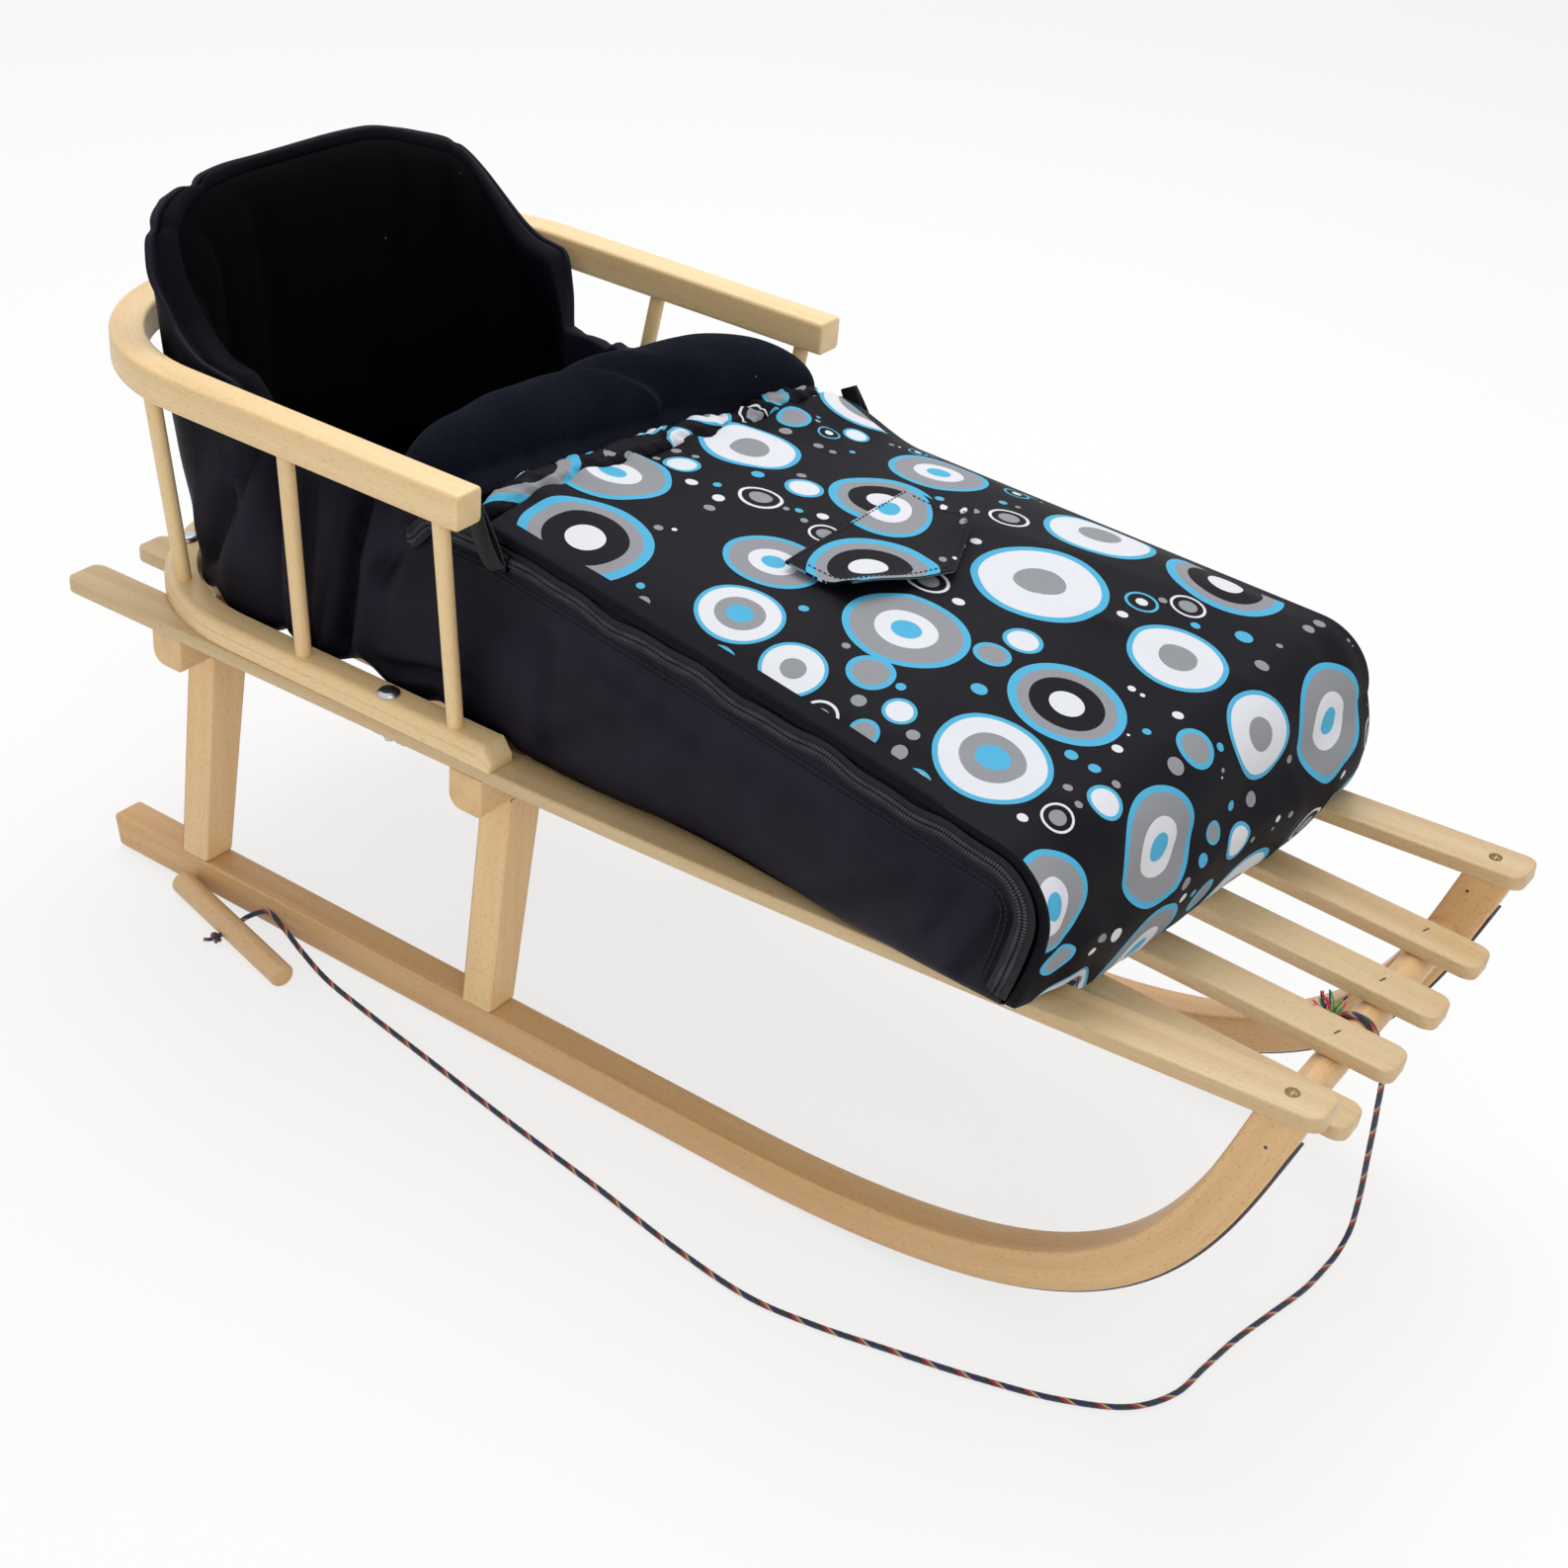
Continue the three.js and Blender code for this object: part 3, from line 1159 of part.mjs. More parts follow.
// how high the mouth's left corner is lifted, at a distance in front of the mouth's edge
function mouthLift(share, ahead) {
  const near = 1 - THREE.MathUtils.smoothstep(ahead, 0, MOUTH_LIFT_REACH);
  return MOUTH_LIFT * THREE.MathUtils.smoothstep(share, MOUTH_LIFT_FROM, 1) * near;
}

function addCover() {
  const length = MUFF_FOOT_X - MUFF_FOOT_ROUND - MUFF_KNEE_X;
  const surface = (rise) => (v, u) => {
    const share = 2 * u - 1;
    const station = coverStation(v);
    const way = Math.min(1, (station.x - MUFF_KNEE_X) / length);
    const x = station.x + mouthShift(share) * (1 - way) ** 2;
    const y = (muffHalf(x) - FIT_GAP) * share;
    const out = rise + coverCrown(x, y) + mouthLift(share, x - MUFF_KNEE_X - mouthShift(share));
    const z = way < 1 ? kneeLine(x) : station.z;
    return new THREE.Vector3(x + station.outX * out, y, z + station.outZ * out);
  };
  const steps = COVER_LONG_STEPS + COVER_ROUND_STEPS;
  const cover = slab(COVER_CROSS_STEPS, steps, surface(COVER_RISE + COVER_THICK), surface(COVER_RISE));
  addPiece('muff_cover', cover, 'print', 'cloth');
}

// gathered channel sewn along the cover's rear edge
function addHem() {
  const half = muffHalf(MUFF_KNEE_X) - HEM_RADIUS;
  const behind = (HEM_RADIUS + HEM_GATHER + FIT_GAP) * MOUTH_STRETCH;
  const centres = [];
  const radii = [];
  for (let i = 0; i <= HEM_STEPS; i += 1) {
    const share = (2 * i) / HEM_STEPS - 1;
    const y = half * share;
    const edge = MUFF_KNEE_X + mouthShift(mouthShare(y));
    const z = coverTop(edge, y) + mouthLift(mouthShare(y), 0) - COVER_THICK / 2;
    centres.push(new THREE.Vector3(edge - behind, y, z));
    radii.push(HEM_RADIUS + HEM_GATHER * Math.sin(Math.PI * HEM_GATHERS * share));
  }
  addPiece('muff_hem', tube(centres, radii, HEM_SIDES, new THREE.Vector3(1, 0, 0)), 'print', 'cloth');
}

// padded fleece collar behind the hem: two lobes, the left one higher, with a pinch between
function addCollar() {
  const centres = [];
  const radii = [];
  const hemWidth = 2 * HEM_RADIUS + HEM_GATHER;
  const behind = hemWidth + (COLLAR_RADIUS + COLLAR_FOLD_DEPTH + FIT_GAP) * MOUTH_STRETCH;
  for (let i = 0; i <= COLLAR_STEPS; i += 1) {
    const share = (2 * i) / COLLAR_STEPS - 1;
    const left = (share + 1) / 2;
    const x = MUFF_KNEE_X + mouthShift(share) - behind - COLLAR_SWEEP * (1 - left) ** 2;
    const z = MUFF_SEAT_TOP + COLLAR_DROP + COLLAR_ARCH * (1 - share * share) + COLLAR_CLIMB * left;
    centres.push(new THREE.Vector3(x, COLLAR_HALF * share, z));
    const taper = COLLAR_END_SHARE + (1 - COLLAR_END_SHARE) * (1 - share ** 6);
    const pinch = 1 - COLLAR_PINCH * Math.exp(-(((share - COLLAR_PINCH_SHARE) / COLLAR_PINCH_WIDTH) ** 2));
    const fold = COLLAR_FOLD_DEPTH * Math.cos(2 * Math.PI * COLLAR_FOLDS * share);
    radii.push(COLLAR_RADIUS * taper * pinch + fold);
  }
  const roll = tube(centres, radii, COLLAR_SIDES, new THREE.Vector3(1, 0, 0));
  addPiece('muff_collar', roll, 'fleece', 'cloth');
}

// pocket flap, sewn to the cover along its rear edge, cut to a blunt point in front
function addPocketFlap() {
  const place = (rise) => (v, u) => {
    const side = 2 * u - 1;
    const depth = FLAP_SIDE_DEPTH + (FLAP_POINT_DEPTH - FLAP_SIDE_DEPTH) * (1 - Math.abs(side));
    const x = FLAP_X + depth * v;
    const y = FLAP_HALF * side;
    return new THREE.Vector3(x, y, coverTop(x, y) + rise);
  };
  const flap = slab(FLAP_GRID, FLAP_GRID, place(FLAP_GAP + FLAP_THICK), place(FLAP_GAP));
  addPiece('muff_pocket_flap', flap, 'print', 'cloth');
}

// the zip runs straight along the top edge of the side wall, then round the foot corner and down
function zipStations() {
  const inner = MUFF_FOOT_ROUND - ZIP_DROP;
  const cornerX = MUFF_FOOT_X - MUFF_FOOT_ROUND;
  const stations = [{ x: MUFF_KNEE_X, z: kneeLine(MUFF_KNEE_X) - ZIP_DROP, outX: 0, outZ: 1 }];
  for (let i = 0; i <= ZIP_ROUND_STEPS; i += 1) {
    const angle = (Math.PI / 2) * (i / ZIP_ROUND_STEPS);
    const outX = Math.sin(angle);
    const outZ = Math.cos(angle);
    const x = cornerX + inner * outX;
    stations.push({ x, z: kneeLine(x) - MUFF_FOOT_ROUND + inner * outZ, outX, outZ });
  }
  const corner = stations[stations.length - 1];
  const foot = muffBottom(corner.x) + 2 * ZIP_WIDTH;
  for (let i = 1; i <= ZIP_ROUND_STEPS; i += 1) {
    stations.push({ ...corner, z: corner.z + ((foot - corner.z) * i) / ZIP_ROUND_STEPS });
  }
  return stations;
}

// outer face of the side wall at a height
function wallFace(x, z) {
  const share = (z - muffBottom(x)) / (muffWallTop(x) - muffBottom(x));
  return sidePlace(x, 1, THREE.MathUtils.clamp(share, 0, 1), 0).y;
}

// the zip lies flat on the wall: its face clears the wall at both edges and in the middle
function zipFace({ x, z, outX, outZ }) {
  const half = ZIP_WIDTH / 2;
  return FIT_GAP + Math.max(...[-half, 0, half].map((across) => wallFace(x + across * outX, z + across * outZ)));
}

function addZips() {
  const half = ZIP_WIDTH / 2;
  for (const side of SIDES) {
    const rings = zipStations().map((station) => [[-half, 0], [-half, 1], [half, 1], [half, 0]]
      .map(([across, out]) => new THREE.Vector3(
        station.x + across * station.outX,
        side.sign * (zipFace(station) + out * ZIP_THICK),
        station.z + across * station.outZ,
      )));
    addPiece(`muff_zip_${side.name}`, loft(rings), 'zip', 'cloth');
  }
}

// frame of the zip's straight run at x: its place on the wall and its direction of travel
function zipRun(x, sign) {
  const [from, to] = zipStations().slice(0, 2)
    .map((station) => new THREE.Vector3(station.x, sign * zipFace(station), station.z));
  const along = to.clone().sub(from).normalize();
  const place = from.clone().addScaledVector(along, (x - from.x) / along.x);
  return { place, along };
}

// a slider that wraps the zip, and its webbing pull tab, both square to the zip's run
function addSliders() {
  const clear = FIT_GAP + SEAT_GAP;
  const depth = ZIP_THICK + clear + SLIDER_PLATE;
  const width = ZIP_WIDTH + 2 * (clear + SLIDER_LIP);
  for (const side of SIDES) {
    const opened = side.sign > 0 ? MOUTH_SLANT : 0;
    const { place, along } = zipRun(SLIDER_X + opened, side.sign);
    const out = new THREE.Vector3(0, side.sign, 0).projectOnPlane(along).normalize();
    const ahead = side.sign < 0 ? along : along.clone().negate();
    const frame = new THREE.Matrix4().makeBasis(ahead, out, ahead.clone().cross(out)).setPosition(place);
    const body = box(SLIDER_LENGTH, depth - clear, width, 0, clear + (depth - clear) / 2, 0);
    const channel = box(
      SLIDER_LENGTH + OVERRUN, ZIP_THICK + clear + OVERRUN, ZIP_WIDTH + 2 * clear,
      0, (ZIP_THICK + clear - OVERRUN) / 2, 0);
    addPiece(`zip_slider_${side.name}`, cut(body, [channel]).applyMatrix4(frame), 'steel', 'metal');
    const tab = alongY(roundedOutline(TAB_LENGTH, TAB_WIDTH, TAB_ROUND), TAB_THICK)
      .translate(TAB_LENGTH / 2 - TAB_ROUND, 0, 0)
      .rotateY(side.sign < 0 ? Math.PI - TAB_STAND : TAB_STAND)
      .translate(0, depth + FIT_GAP + TAB_THICK / 2, 0)
      .applyMatrix4(frame);
    addPiece(`zip_pull_${side.name}`, tab, 'zip', 'cloth');
  }
}

// the tow cord's route, chosen by hand: down from the dowel, over the floor and back to the grip
const CORD_ROUTE = [
  [430, 9, 160], [431, 17, 125], [431, 25, 85], [431, 32, 45], [430, 34, 18], [428, 28, 4],
  [427, 12, 2.1], [425, -12, 2.1], [418, -45, 2.1], [411, -78, 2.1], [407, -108, 2.1], [403, -138, 2.1],
  [388, -163, 2.1], [354, -184, 2.1], [306, -201, 2.1], [258, -214, 2.1], [215, -225, 2.1], [174, -231, 2.1],
  [115, -226, 2.1], [49, -215, 2.1], [-33, -203, 2.1], [-113, -190, 2.1], [-175, -180, 2.1], [-218, -172, 2.5],
  [-248, -164, 6], [-272, -158, 12], [-288, -156.5, 16],
];

const LOOP_RADIUS = DOWEL_RADIUS + LOOP_GAP + CORD_RADIUS;
const KNOT_CENTRE = new THREE.Vector3(DOWEL_X + LOOP_RADIUS, 0, dowelZ());
const GRIP_CENTRE = new THREE.Vector3(GRIP_X, GRIP_Y, GRIP_RADIUS + SEAT_GAP);
const HOLE_AXIS = new THREE.Vector3(
  -Math.sin(GRIP_TURN) * Math.cos(GRIP_HOLE_RISE), Math.cos(GRIP_TURN) * Math.cos(GRIP_HOLE_RISE),
  Math.sin(GRIP_HOLE_RISE));

// the cord's centre line, square to the knot at one end and to the grip's hole at the other
function cordPath() {
  const points = CORD_ROUTE.map(([x, y, z]) => new THREE.Vector3(x, y, z));
  const down = points[0].clone().sub(KNOT_CENTRE).normalize();
  const start = KNOT_CENTRE.clone().addScaledVector(down, KNOT_RADIUS + FIT_GAP);
  const mouth = GRIP_CENTRE.clone().addScaledVector(HOLE_AXIS, GRIP_RADIUS + 2 * FIT_GAP);
  const lead = mouth.clone().addScaledVector(HOLE_AXIS, CORD_RADIUS * 2);
  return new THREE.CatmullRomCurve3([start, ...points, lead, mouth], false, 'centripetal');
}

function addTowCord() {
  const section = new THREE.Shape();
  section.absarc(0, 0, CORD_RADIUS, 0, 2 * Math.PI);
  const ring = section.getSpacedPoints(CORD_SIDES).slice(0, CORD_SIDES);
  const cord = new THREE.ExtrudeGeometry(new THREE.Shape(ring), {
    steps: CORD_STEPS, extrudePath: cordPath(), bevelEnabled: false,
  });
  addPiece('tow_cord', cord, 'cord', 'cloth');
}

function addCordKnots() {
  const loop = new THREE.TorusGeometry(LOOP_RADIUS, CORD_RADIUS, CORD_SIDES, DOWEL_SIDES)
    .rotateX(Math.PI / 2).translate(DOWEL_X, 0, dowelZ());
  const knot = new THREE.SphereGeometry(KNOT_RADIUS, ROUND_SIDES / 2, CORD_SIDES)
    .translate(KNOT_CENTRE.x, KNOT_CENTRE.y, KNOT_CENTRE.z);
  const bar = rod(
    DOWEL_RADIUS + LOOP_GAP / 2,
    new THREE.Vector3(DOWEL_X, -KNOT_RADIUS * 2, dowelZ()),
    new THREE.Vector3(DOWEL_X, KNOT_RADIUS * 2, dowelZ()),
    DOWEL_SIDES,
  );
  addPiece('cord_knot', cut(join([loop, knot]), [bar]), 'cord', 'cloth');
  const far = GRIP_CENTRE.clone().addScaledVector(HOLE_AXIS, -GRIP_RADIUS - FIT_GAP - GRIP_KNOT_RADIUS);
  const stop = new THREE.SphereGeometry(GRIP_KNOT_RADIUS, ROUND_SIDES / 2, CORD_SIDES)
    .translate(far.x, far.y, far.z);
  const inner = GRIP_CENTRE.clone().addScaledVector(HOLE_AXIS, GRIP_RADIUS);
  const through = rod(CORD_RADIUS, far, inner, CORD_SIDES);
  addPiece('grip_knot', join([stop, through]), 'cord', 'cloth');
}

function addGrip() {
  const half = GRIP_LENGTH / 2;
  const bar = turned([
    [0, -half], [GRIP_RADIUS - GRIP_EASE, -half], [GRIP_RADIUS, -half + GRIP_EASE],
    [GRIP_RADIUS, half - GRIP_EASE], [GRIP_RADIUS - GRIP_EASE, half], [0, half],
  ]);
  bar.rotateY(Math.PI / 2).rotateZ(GRIP_TURN);
  bar.translate(GRIP_CENTRE.x, GRIP_CENTRE.y, GRIP_CENTRE.z);
  const reach = GRIP_RADIUS * 2;
  const hole = rod(
    GRIP_HOLE_RADIUS,
    GRIP_CENTRE.clone().addScaledVector(HOLE_AXIS, -reach),
    GRIP_CENTRE.clone().addScaledVector(HOLE_AXIS, reach),
  );
  addPiece('tow_grip', cut(bar, [hole]), 'dowel', 'wood');
}

addRunners();
addStrips();
addCrossbars();
addFrontDowel();
addSlats();
addSlatScrews();
addSeatRails();
addSpindles();
addSeatFixings();
addMuffShell();
addHoodLining();
addSeatPad();
addFootPanel();
addCover();
addHem();
addCollar();
addPocketFlap();
addZips();
addSliders();
addTowCord();
addCordKnots();
addGrip();

export default sled;
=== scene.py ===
"""Looks of a wooden baby sled with a padded footmuff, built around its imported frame.

Sizes in the classes are millimetres and become metres when a mesh is made.
+X is forward, +Y the rider's left, +Z up, and the ground is at z = 0.
"""
import logging
import math
from dataclasses import dataclass, field
from enum import Enum
from typing import Callable

import bmesh
import bpy
import numpy as np
from bpy.types import Material, Node, NodeSocket, NodeTree, Object
from mathutils import Matrix, Vector


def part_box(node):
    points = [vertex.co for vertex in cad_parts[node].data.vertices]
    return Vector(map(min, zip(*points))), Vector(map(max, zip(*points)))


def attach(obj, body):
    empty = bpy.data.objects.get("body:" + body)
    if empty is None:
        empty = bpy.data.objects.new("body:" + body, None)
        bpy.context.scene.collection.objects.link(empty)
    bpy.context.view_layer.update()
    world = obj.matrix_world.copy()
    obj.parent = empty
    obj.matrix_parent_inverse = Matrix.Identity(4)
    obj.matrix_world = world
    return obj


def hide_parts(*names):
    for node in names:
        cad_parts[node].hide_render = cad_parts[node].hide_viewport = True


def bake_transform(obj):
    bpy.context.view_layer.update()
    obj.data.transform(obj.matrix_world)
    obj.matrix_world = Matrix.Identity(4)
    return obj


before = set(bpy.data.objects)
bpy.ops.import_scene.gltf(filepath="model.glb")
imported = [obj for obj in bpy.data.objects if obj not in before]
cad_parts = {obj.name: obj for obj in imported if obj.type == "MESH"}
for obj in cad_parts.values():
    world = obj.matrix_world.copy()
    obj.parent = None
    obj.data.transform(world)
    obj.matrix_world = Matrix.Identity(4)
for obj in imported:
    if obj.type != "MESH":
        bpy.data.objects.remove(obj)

MM = 0.001
CORD_RADIUS = 1.75
SIDES = (("right", -1.0), ("left", 1.0))
LOG = logging.getLogger("sled")


# ---------------------------------------------------------------- shapes

class Caps(Enum):
    """How the two ends of a carried section are closed."""

    NONE = "none"
    FACE = "face"
    LADDER = "ladder"


def smooth_step(value: np.ndarray | float, low: float, high: float) -> np.ndarray:
    """Rises from 0 at low to 1 at high along 3t^2 - 2t^3.

    Args:
        value: where to read the step.
        low: value at which it is 0.
        high: value at which it is 1.

    Returns:
        The step at each value.
    """
    share = np.clip((np.asarray(value, float) - low) / (high - low), 0.0, 1.0)
    return share * share * (3.0 - 2.0 * share)


def lumps(a: np.ndarray, b: np.ndarray, cell_a: float, cell_b: float, seed: int) -> np.ndarray:
    """Smooth noise from -1 to 1: seeded heights on a grid of cells, blended by smoothstep.

    Args:
        a: first coordinate.
        b: second coordinate.
        cell_a: size of a cell along a.
        cell_b: size of a cell along b.
        seed: which set of heights is drawn.

    Returns:
        The noise at each place.
    """
    count = 64
    table = np.random.default_rng(seed).uniform(-1.0, 1.0, (count, count))
    a, b = np.broadcast_arrays(np.asarray(a, float) / cell_a, np.asarray(b, float) / cell_b)
    i, j = np.floor(a).astype(int), np.floor(b).astype(int)
    s, t = smooth_step(a - i, 0.0, 1.0), smooth_step(b - j, 0.0, 1.0)
    near = table[i % count, j % count] * (1 - s) + table[(i + 1) % count, j % count] * s
    far = table[i % count, (j + 1) % count] * (1 - s) + table[(i + 1) % count, (j + 1) % count] * s
    return near * (1 - t) + far * t


def sway(a: np.ndarray, cell: float, seed: int) -> np.ndarray:
    """The same noise along one way only."""
    return lumps(a, 0.0 * a, cell, 1.0, seed)


def creases(a: np.ndarray, b: np.ndarray, cell_a: float, cell_b: float, seed: int) -> np.ndarray:
    """Crests like those of folded cloth: (1 - |lumps|)^3, from 0 to 1."""
    return (1.0 - np.abs(lumps(a, b, cell_a, cell_b, seed))) ** 3


def arc_lengths(points: np.ndarray) -> np.ndarray:
    """Running length along a polyline: the sum of the distances between neighbours."""
    steps = np.linalg.norm(np.diff(points, axis=0), axis=1)
    return np.concatenate([[0.0], np.cumsum(steps)])


def placed(name: str, data: bpy.types.ID) -> Object:
    """Puts a mesh, camera or lamp into the scene.

    Args:
        name: the object's name.
        data: what it shows.

    Returns:
        The object.
    """
    piece = bpy.data.objects.new(name, data)
    bpy.context.scene.collection.objects.link(piece)
    return piece


def give_points(mesh: bpy.types.Mesh, name: str, kind: str, values: np.ndarray) -> None:
    """Gives a mesh's points an attribute: a "vector" or a "value" each."""
    attribute = mesh.attributes.new(name, "FLOAT_VECTOR" if kind == "vector" else "FLOAT", "POINT")
    attribute.data.foreach_set(kind, values.astype(np.float32).ravel())


def surface(name: str, rows: np.ndarray, *, closed: bool = True, caps: Caps = Caps.FACE,
            grain: np.ndarray | None = None, sharp: float = 38.0) -> Object:
    """Makes a mesh of quads through rows of points, with a UV map in metres of cloth.

    Args:
        name: the piece's name.
        rows: points in millimetres, rows by columns by xyz.
        closed: whether each row is a ring.
        caps: how the first and last rings are filled.
        grain: places in the straight board that each point was cut from, in millimetres.
        sharp: angle in degrees past which an edge stays sharp.

    Returns:
        The object, its faces pointing outwards.
    """
    count, width = rows.shape[:2]
    index = np.arange(count * width).reshape(count, width)
    ring = np.concatenate([index, index[:, :1]], axis=1) if closed else index
    quads = corners_of(ring).reshape(-1, 4)
    middle = rows[count // 2]
    around = arc_lengths(np.concatenate([middle, middle[:1]]) if closed else middle) * MM
    along = arc_lengths(rows[:, width // 4]) * MM
    lay = np.stack(np.meshgrid(along, around, indexing="ij"), axis=-1)
    lay_quads = corners_of(lay).reshape(-1, 4, 2)
    faces, lays = quads.tolist(), list(lay_quads)
    if caps is Caps.FACE:
        faces += [index[0, ::-1].tolist(), index[-1].tolist()]
        lays += [lay[0, :width][::-1], lay[-1, :width]]
    elif caps is Caps.LADDER:
        half = width // 2
        j = np.arange(half - 1)
        rungs = np.stack([j, j + 1, width - 2 - j, width - 1 - j], axis=-1)
        faces += index[0][rungs[:, ::-1]].tolist() + index[-1][rungs].tolist()
        lays += list(lay[0][rungs[:, ::-1]]) + list(lay[-1][rungs])
    points = rows.reshape(-1, 3)
    if caps is not Caps.NONE:
        a, b, c, d = (points[quads[:, k]] for k in range(4))
        volume = np.einsum("ij,ij->i", a, np.cross(b, c) + np.cross(c, d)).sum()
        volume += sum(_fan_volume(points[np.array(face)]) for face in faces[len(quads):])
        if volume < 0:
            faces, lays = [face[::-1] for face in faces], [one[::-1] for one in lays]
    mesh = bpy.data.meshes.new(name)
    mesh.from_pydata((points * MM).tolist(), [], faces)
    layer = mesh.uv_layers.new(name="lay")
    layer.data.foreach_set("uv", np.concatenate([np.asarray(one, np.float32).ravel() for one in lays]))
    if grain is not None:
        give_points(mesh, "grain", "vector", grain.reshape(-1, 3) * MM)
    mesh.validate()
    mesh.shade_smooth()
    mesh.set_sharp_from_angle(angle=math.radians(sharp))
    return placed(name, mesh)


def unit(vectors: np.ndarray) -> np.ndarray:
    """The same vectors, each divided by its length."""
    return vectors / np.linalg.norm(vectors, axis=-1, keepdims=True)


def xyz(x: np.ndarray, y: np.ndarray, z: np.ndarray) -> np.ndarray:
    """Places from their three coordinates, spread to one shape."""
    return np.stack(np.broadcast_arrays(x, y, z), axis=-1)


def round_turn(count: int) -> np.ndarray:
    """Angles evenly round one turn."""
    return np.arange(count) * (2 * math.pi / count)


def lapped(top: np.ndarray, under: np.ndarray) -> np.ndarray:
    """Rows that run across a sheet's upper face and back along its lower one."""
    return np.concatenate([top, under[:, ::-1]], axis=1)


def square_to(ahead: np.ndarray) -> tuple[np.ndarray, np.ndarray]:
    """Two directions square to a third: its cross product with a guide, and the cross product of the two."""
    out = unit(np.cross(ahead, [0.0, 0.0, 1.0] if abs(ahead[2]) < 0.9 else [1.0, 0.0, 0.0]))
    return out, np.cross(out, ahead)


def corners_of(grid: np.ndarray) -> np.ndarray:
    """The four corners of every cell of a grid, in order round the cell."""
    return np.stack([grid[:-1, :-1], grid[:-1, 1:], grid[1:, 1:], grid[1:, :-1]], axis=2)


def read_along(stations: np.ndarray, run: np.ndarray, values: np.ndarray) -> np.ndarray:
    """Vectors at running lengths along a line, each between its two neighbours in proportion."""
    return np.stack([np.interp(stations, run, values[:, k]) for k in range(3)], axis=-1)


def _fan_volume(face: np.ndarray) -> float:
    """Six times the signed volume under one face, split into a fan from its first corner."""
    return float(np.einsum("ij,ij->i", np.broadcast_to(face[0], face[1:-1].shape),
                           np.cross(face[1:-1], face[2:])).sum())


def joined(name: str, pieces: list[Object]) -> Object:
    """Makes several meshes one piece, the first one's materials kept.

    Args:
        name: the whole piece's name.
        pieces: the meshes to make one.

    Returns:
        The first mesh, with all of them in it.
    """
    if len(pieces) > 1:
        with bpy.context.temp_override(active_object=pieces[0], object=pieces[0],
                                       selected_objects=pieces, selected_editable_objects=pieces):
            bpy.ops.object.join()
    pieces[0].name = name
    pieces[0].data.name = name
    return pieces[0]


def rounded_section(left: float, right: float, low: float, high: float,
                    radii: tuple[float, float, float, float], steps: int = 5) -> np.ndarray:
    """A rectangle with a quarter circle at each corner, as [out, up] points.

    Args:
        left: inner limit. right: outer limit. low: lower limit. high: upper limit.
        radii: corner radii, from the lower left round by the lower right.
        steps: points on each corner.

    Returns:
        The outline, once round.
    """
    quarter = np.linspace(0.0, math.pi / 2, steps)
    corners = ((left, low, 1, 1, math.pi), (right, low, -1, 1, 1.5 * math.pi),
               (right, high, -1, -1, 0.0), (left, high, 1, -1, 0.5 * math.pi))
    arcs = []
    for (x, y, in_x, in_y, start), radius in zip(corners, radii):
        angle = start + quarter
        arcs.append(np.stack([x + in_x * radius + radius * np.cos(angle),
                              y + in_y * radius + radius * np.sin(angle)], axis=-1))
    return np.concatenate(arcs)


@dataclass(frozen=True)
class Path:
    """A centre line with an outward and an upward direction at each of its points."""

    points: np.ndarray
    out: np.ndarray
    up: np.ndarray

    def at(self, stations: np.ndarray) -> tuple[np.ndarray, np.ndarray, np.ndarray]:
        """Points, outward and upward directions at running lengths along the line.

        Args:
            stations: running lengths.

        Returns:
            The three at each running length.
        """
        run = arc_lengths(self.points)
        return tuple(read_along(stations, run, values) for values in (self.points, self.out, self.up))

    @property
    def length(self) -> float:
        """Whole length of the line."""
        return float(arc_lengths(self.points)[-1])


def end_stations(length: float, ease: float, spacing: float) -> np.ndarray:
    """Places along a board: crowded over its eased ends, then evenly spaced between.

    Args:
        length: the board's length.
        ease: radius of its rounded ends.
        spacing: distance between rows.

    Returns:
        Running lengths of the rows.
    """
    near = ease * (1.0 - np.cos(np.linspace(0.0, math.pi / 2, 5)))
    count = max(2, int((length - 2 * ease) / spacing))
    return np.concatenate([near, np.linspace(ease, length - ease, count + 1)[1:-1], length - near[::-1]])


def carried(path: Path, section: np.ndarray, ease: float, spacing: float,
            shape: Callable[[np.ndarray, np.ndarray], np.ndarray] | None = None,
            offset: float = 0.0) -> tuple[np.ndarray, np.ndarray]:
    """Carries a section along a path; over each end it shrinks along a quarter circle.

    Args:
        path: the centre line.
        section: [out, up] points.
        ease: radius of the rounding at both ends.
        spacing: distance between rows.
        shape: changes the sections; takes stations and rows of section points.
        offset: where in the log this board was sawn, so that boards differ.

    Returns:
        Rows of points, and the same points' places in the straight board.
    """
    stations = end_stations(path.length, ease, spacing)
    edge = np.minimum(stations, path.length - stations)
    drawn = ease - np.sqrt(np.clip(ease ** 2 - (ease - np.minimum(edge, ease)) ** 2, 0.0, None))
    centre = (section.min(axis=0) + section.max(axis=0)) / 2
    half = (section.max(axis=0) - section.min(axis=0)) / 2
    scale = 1.0 - drawn[:, None, None] / half
    sections = centre + (section[None] - centre) * scale
    if shape is not None:
        sections = shape(stations, sections)
    points, out, up = path.at(stations)
    rows = points[:, None] + sections[..., :1] * out[:, None] + sections[..., 1:] * up[:, None]
    grain = np.concatenate([np.broadcast_to(stations[:, None, None], sections[..., :1].shape),
                            sections[..., :1] + offset, sections[..., 1:]], axis=-1)
    return rows, grain


def straight_path(start: np.ndarray, end: np.ndarray) -> Path:
    """A straight centre line, with level and standing directions square to it.

    Args:
        start: first point.
        end: last point.

    Returns:
        The path.
    """
    points = np.stack([start, end]).astype(float)
    out, up = square_to(unit(points[1] - points[0]))
    return Path(points, np.tile(out, (2, 1)), np.tile(up, (2, 1)))


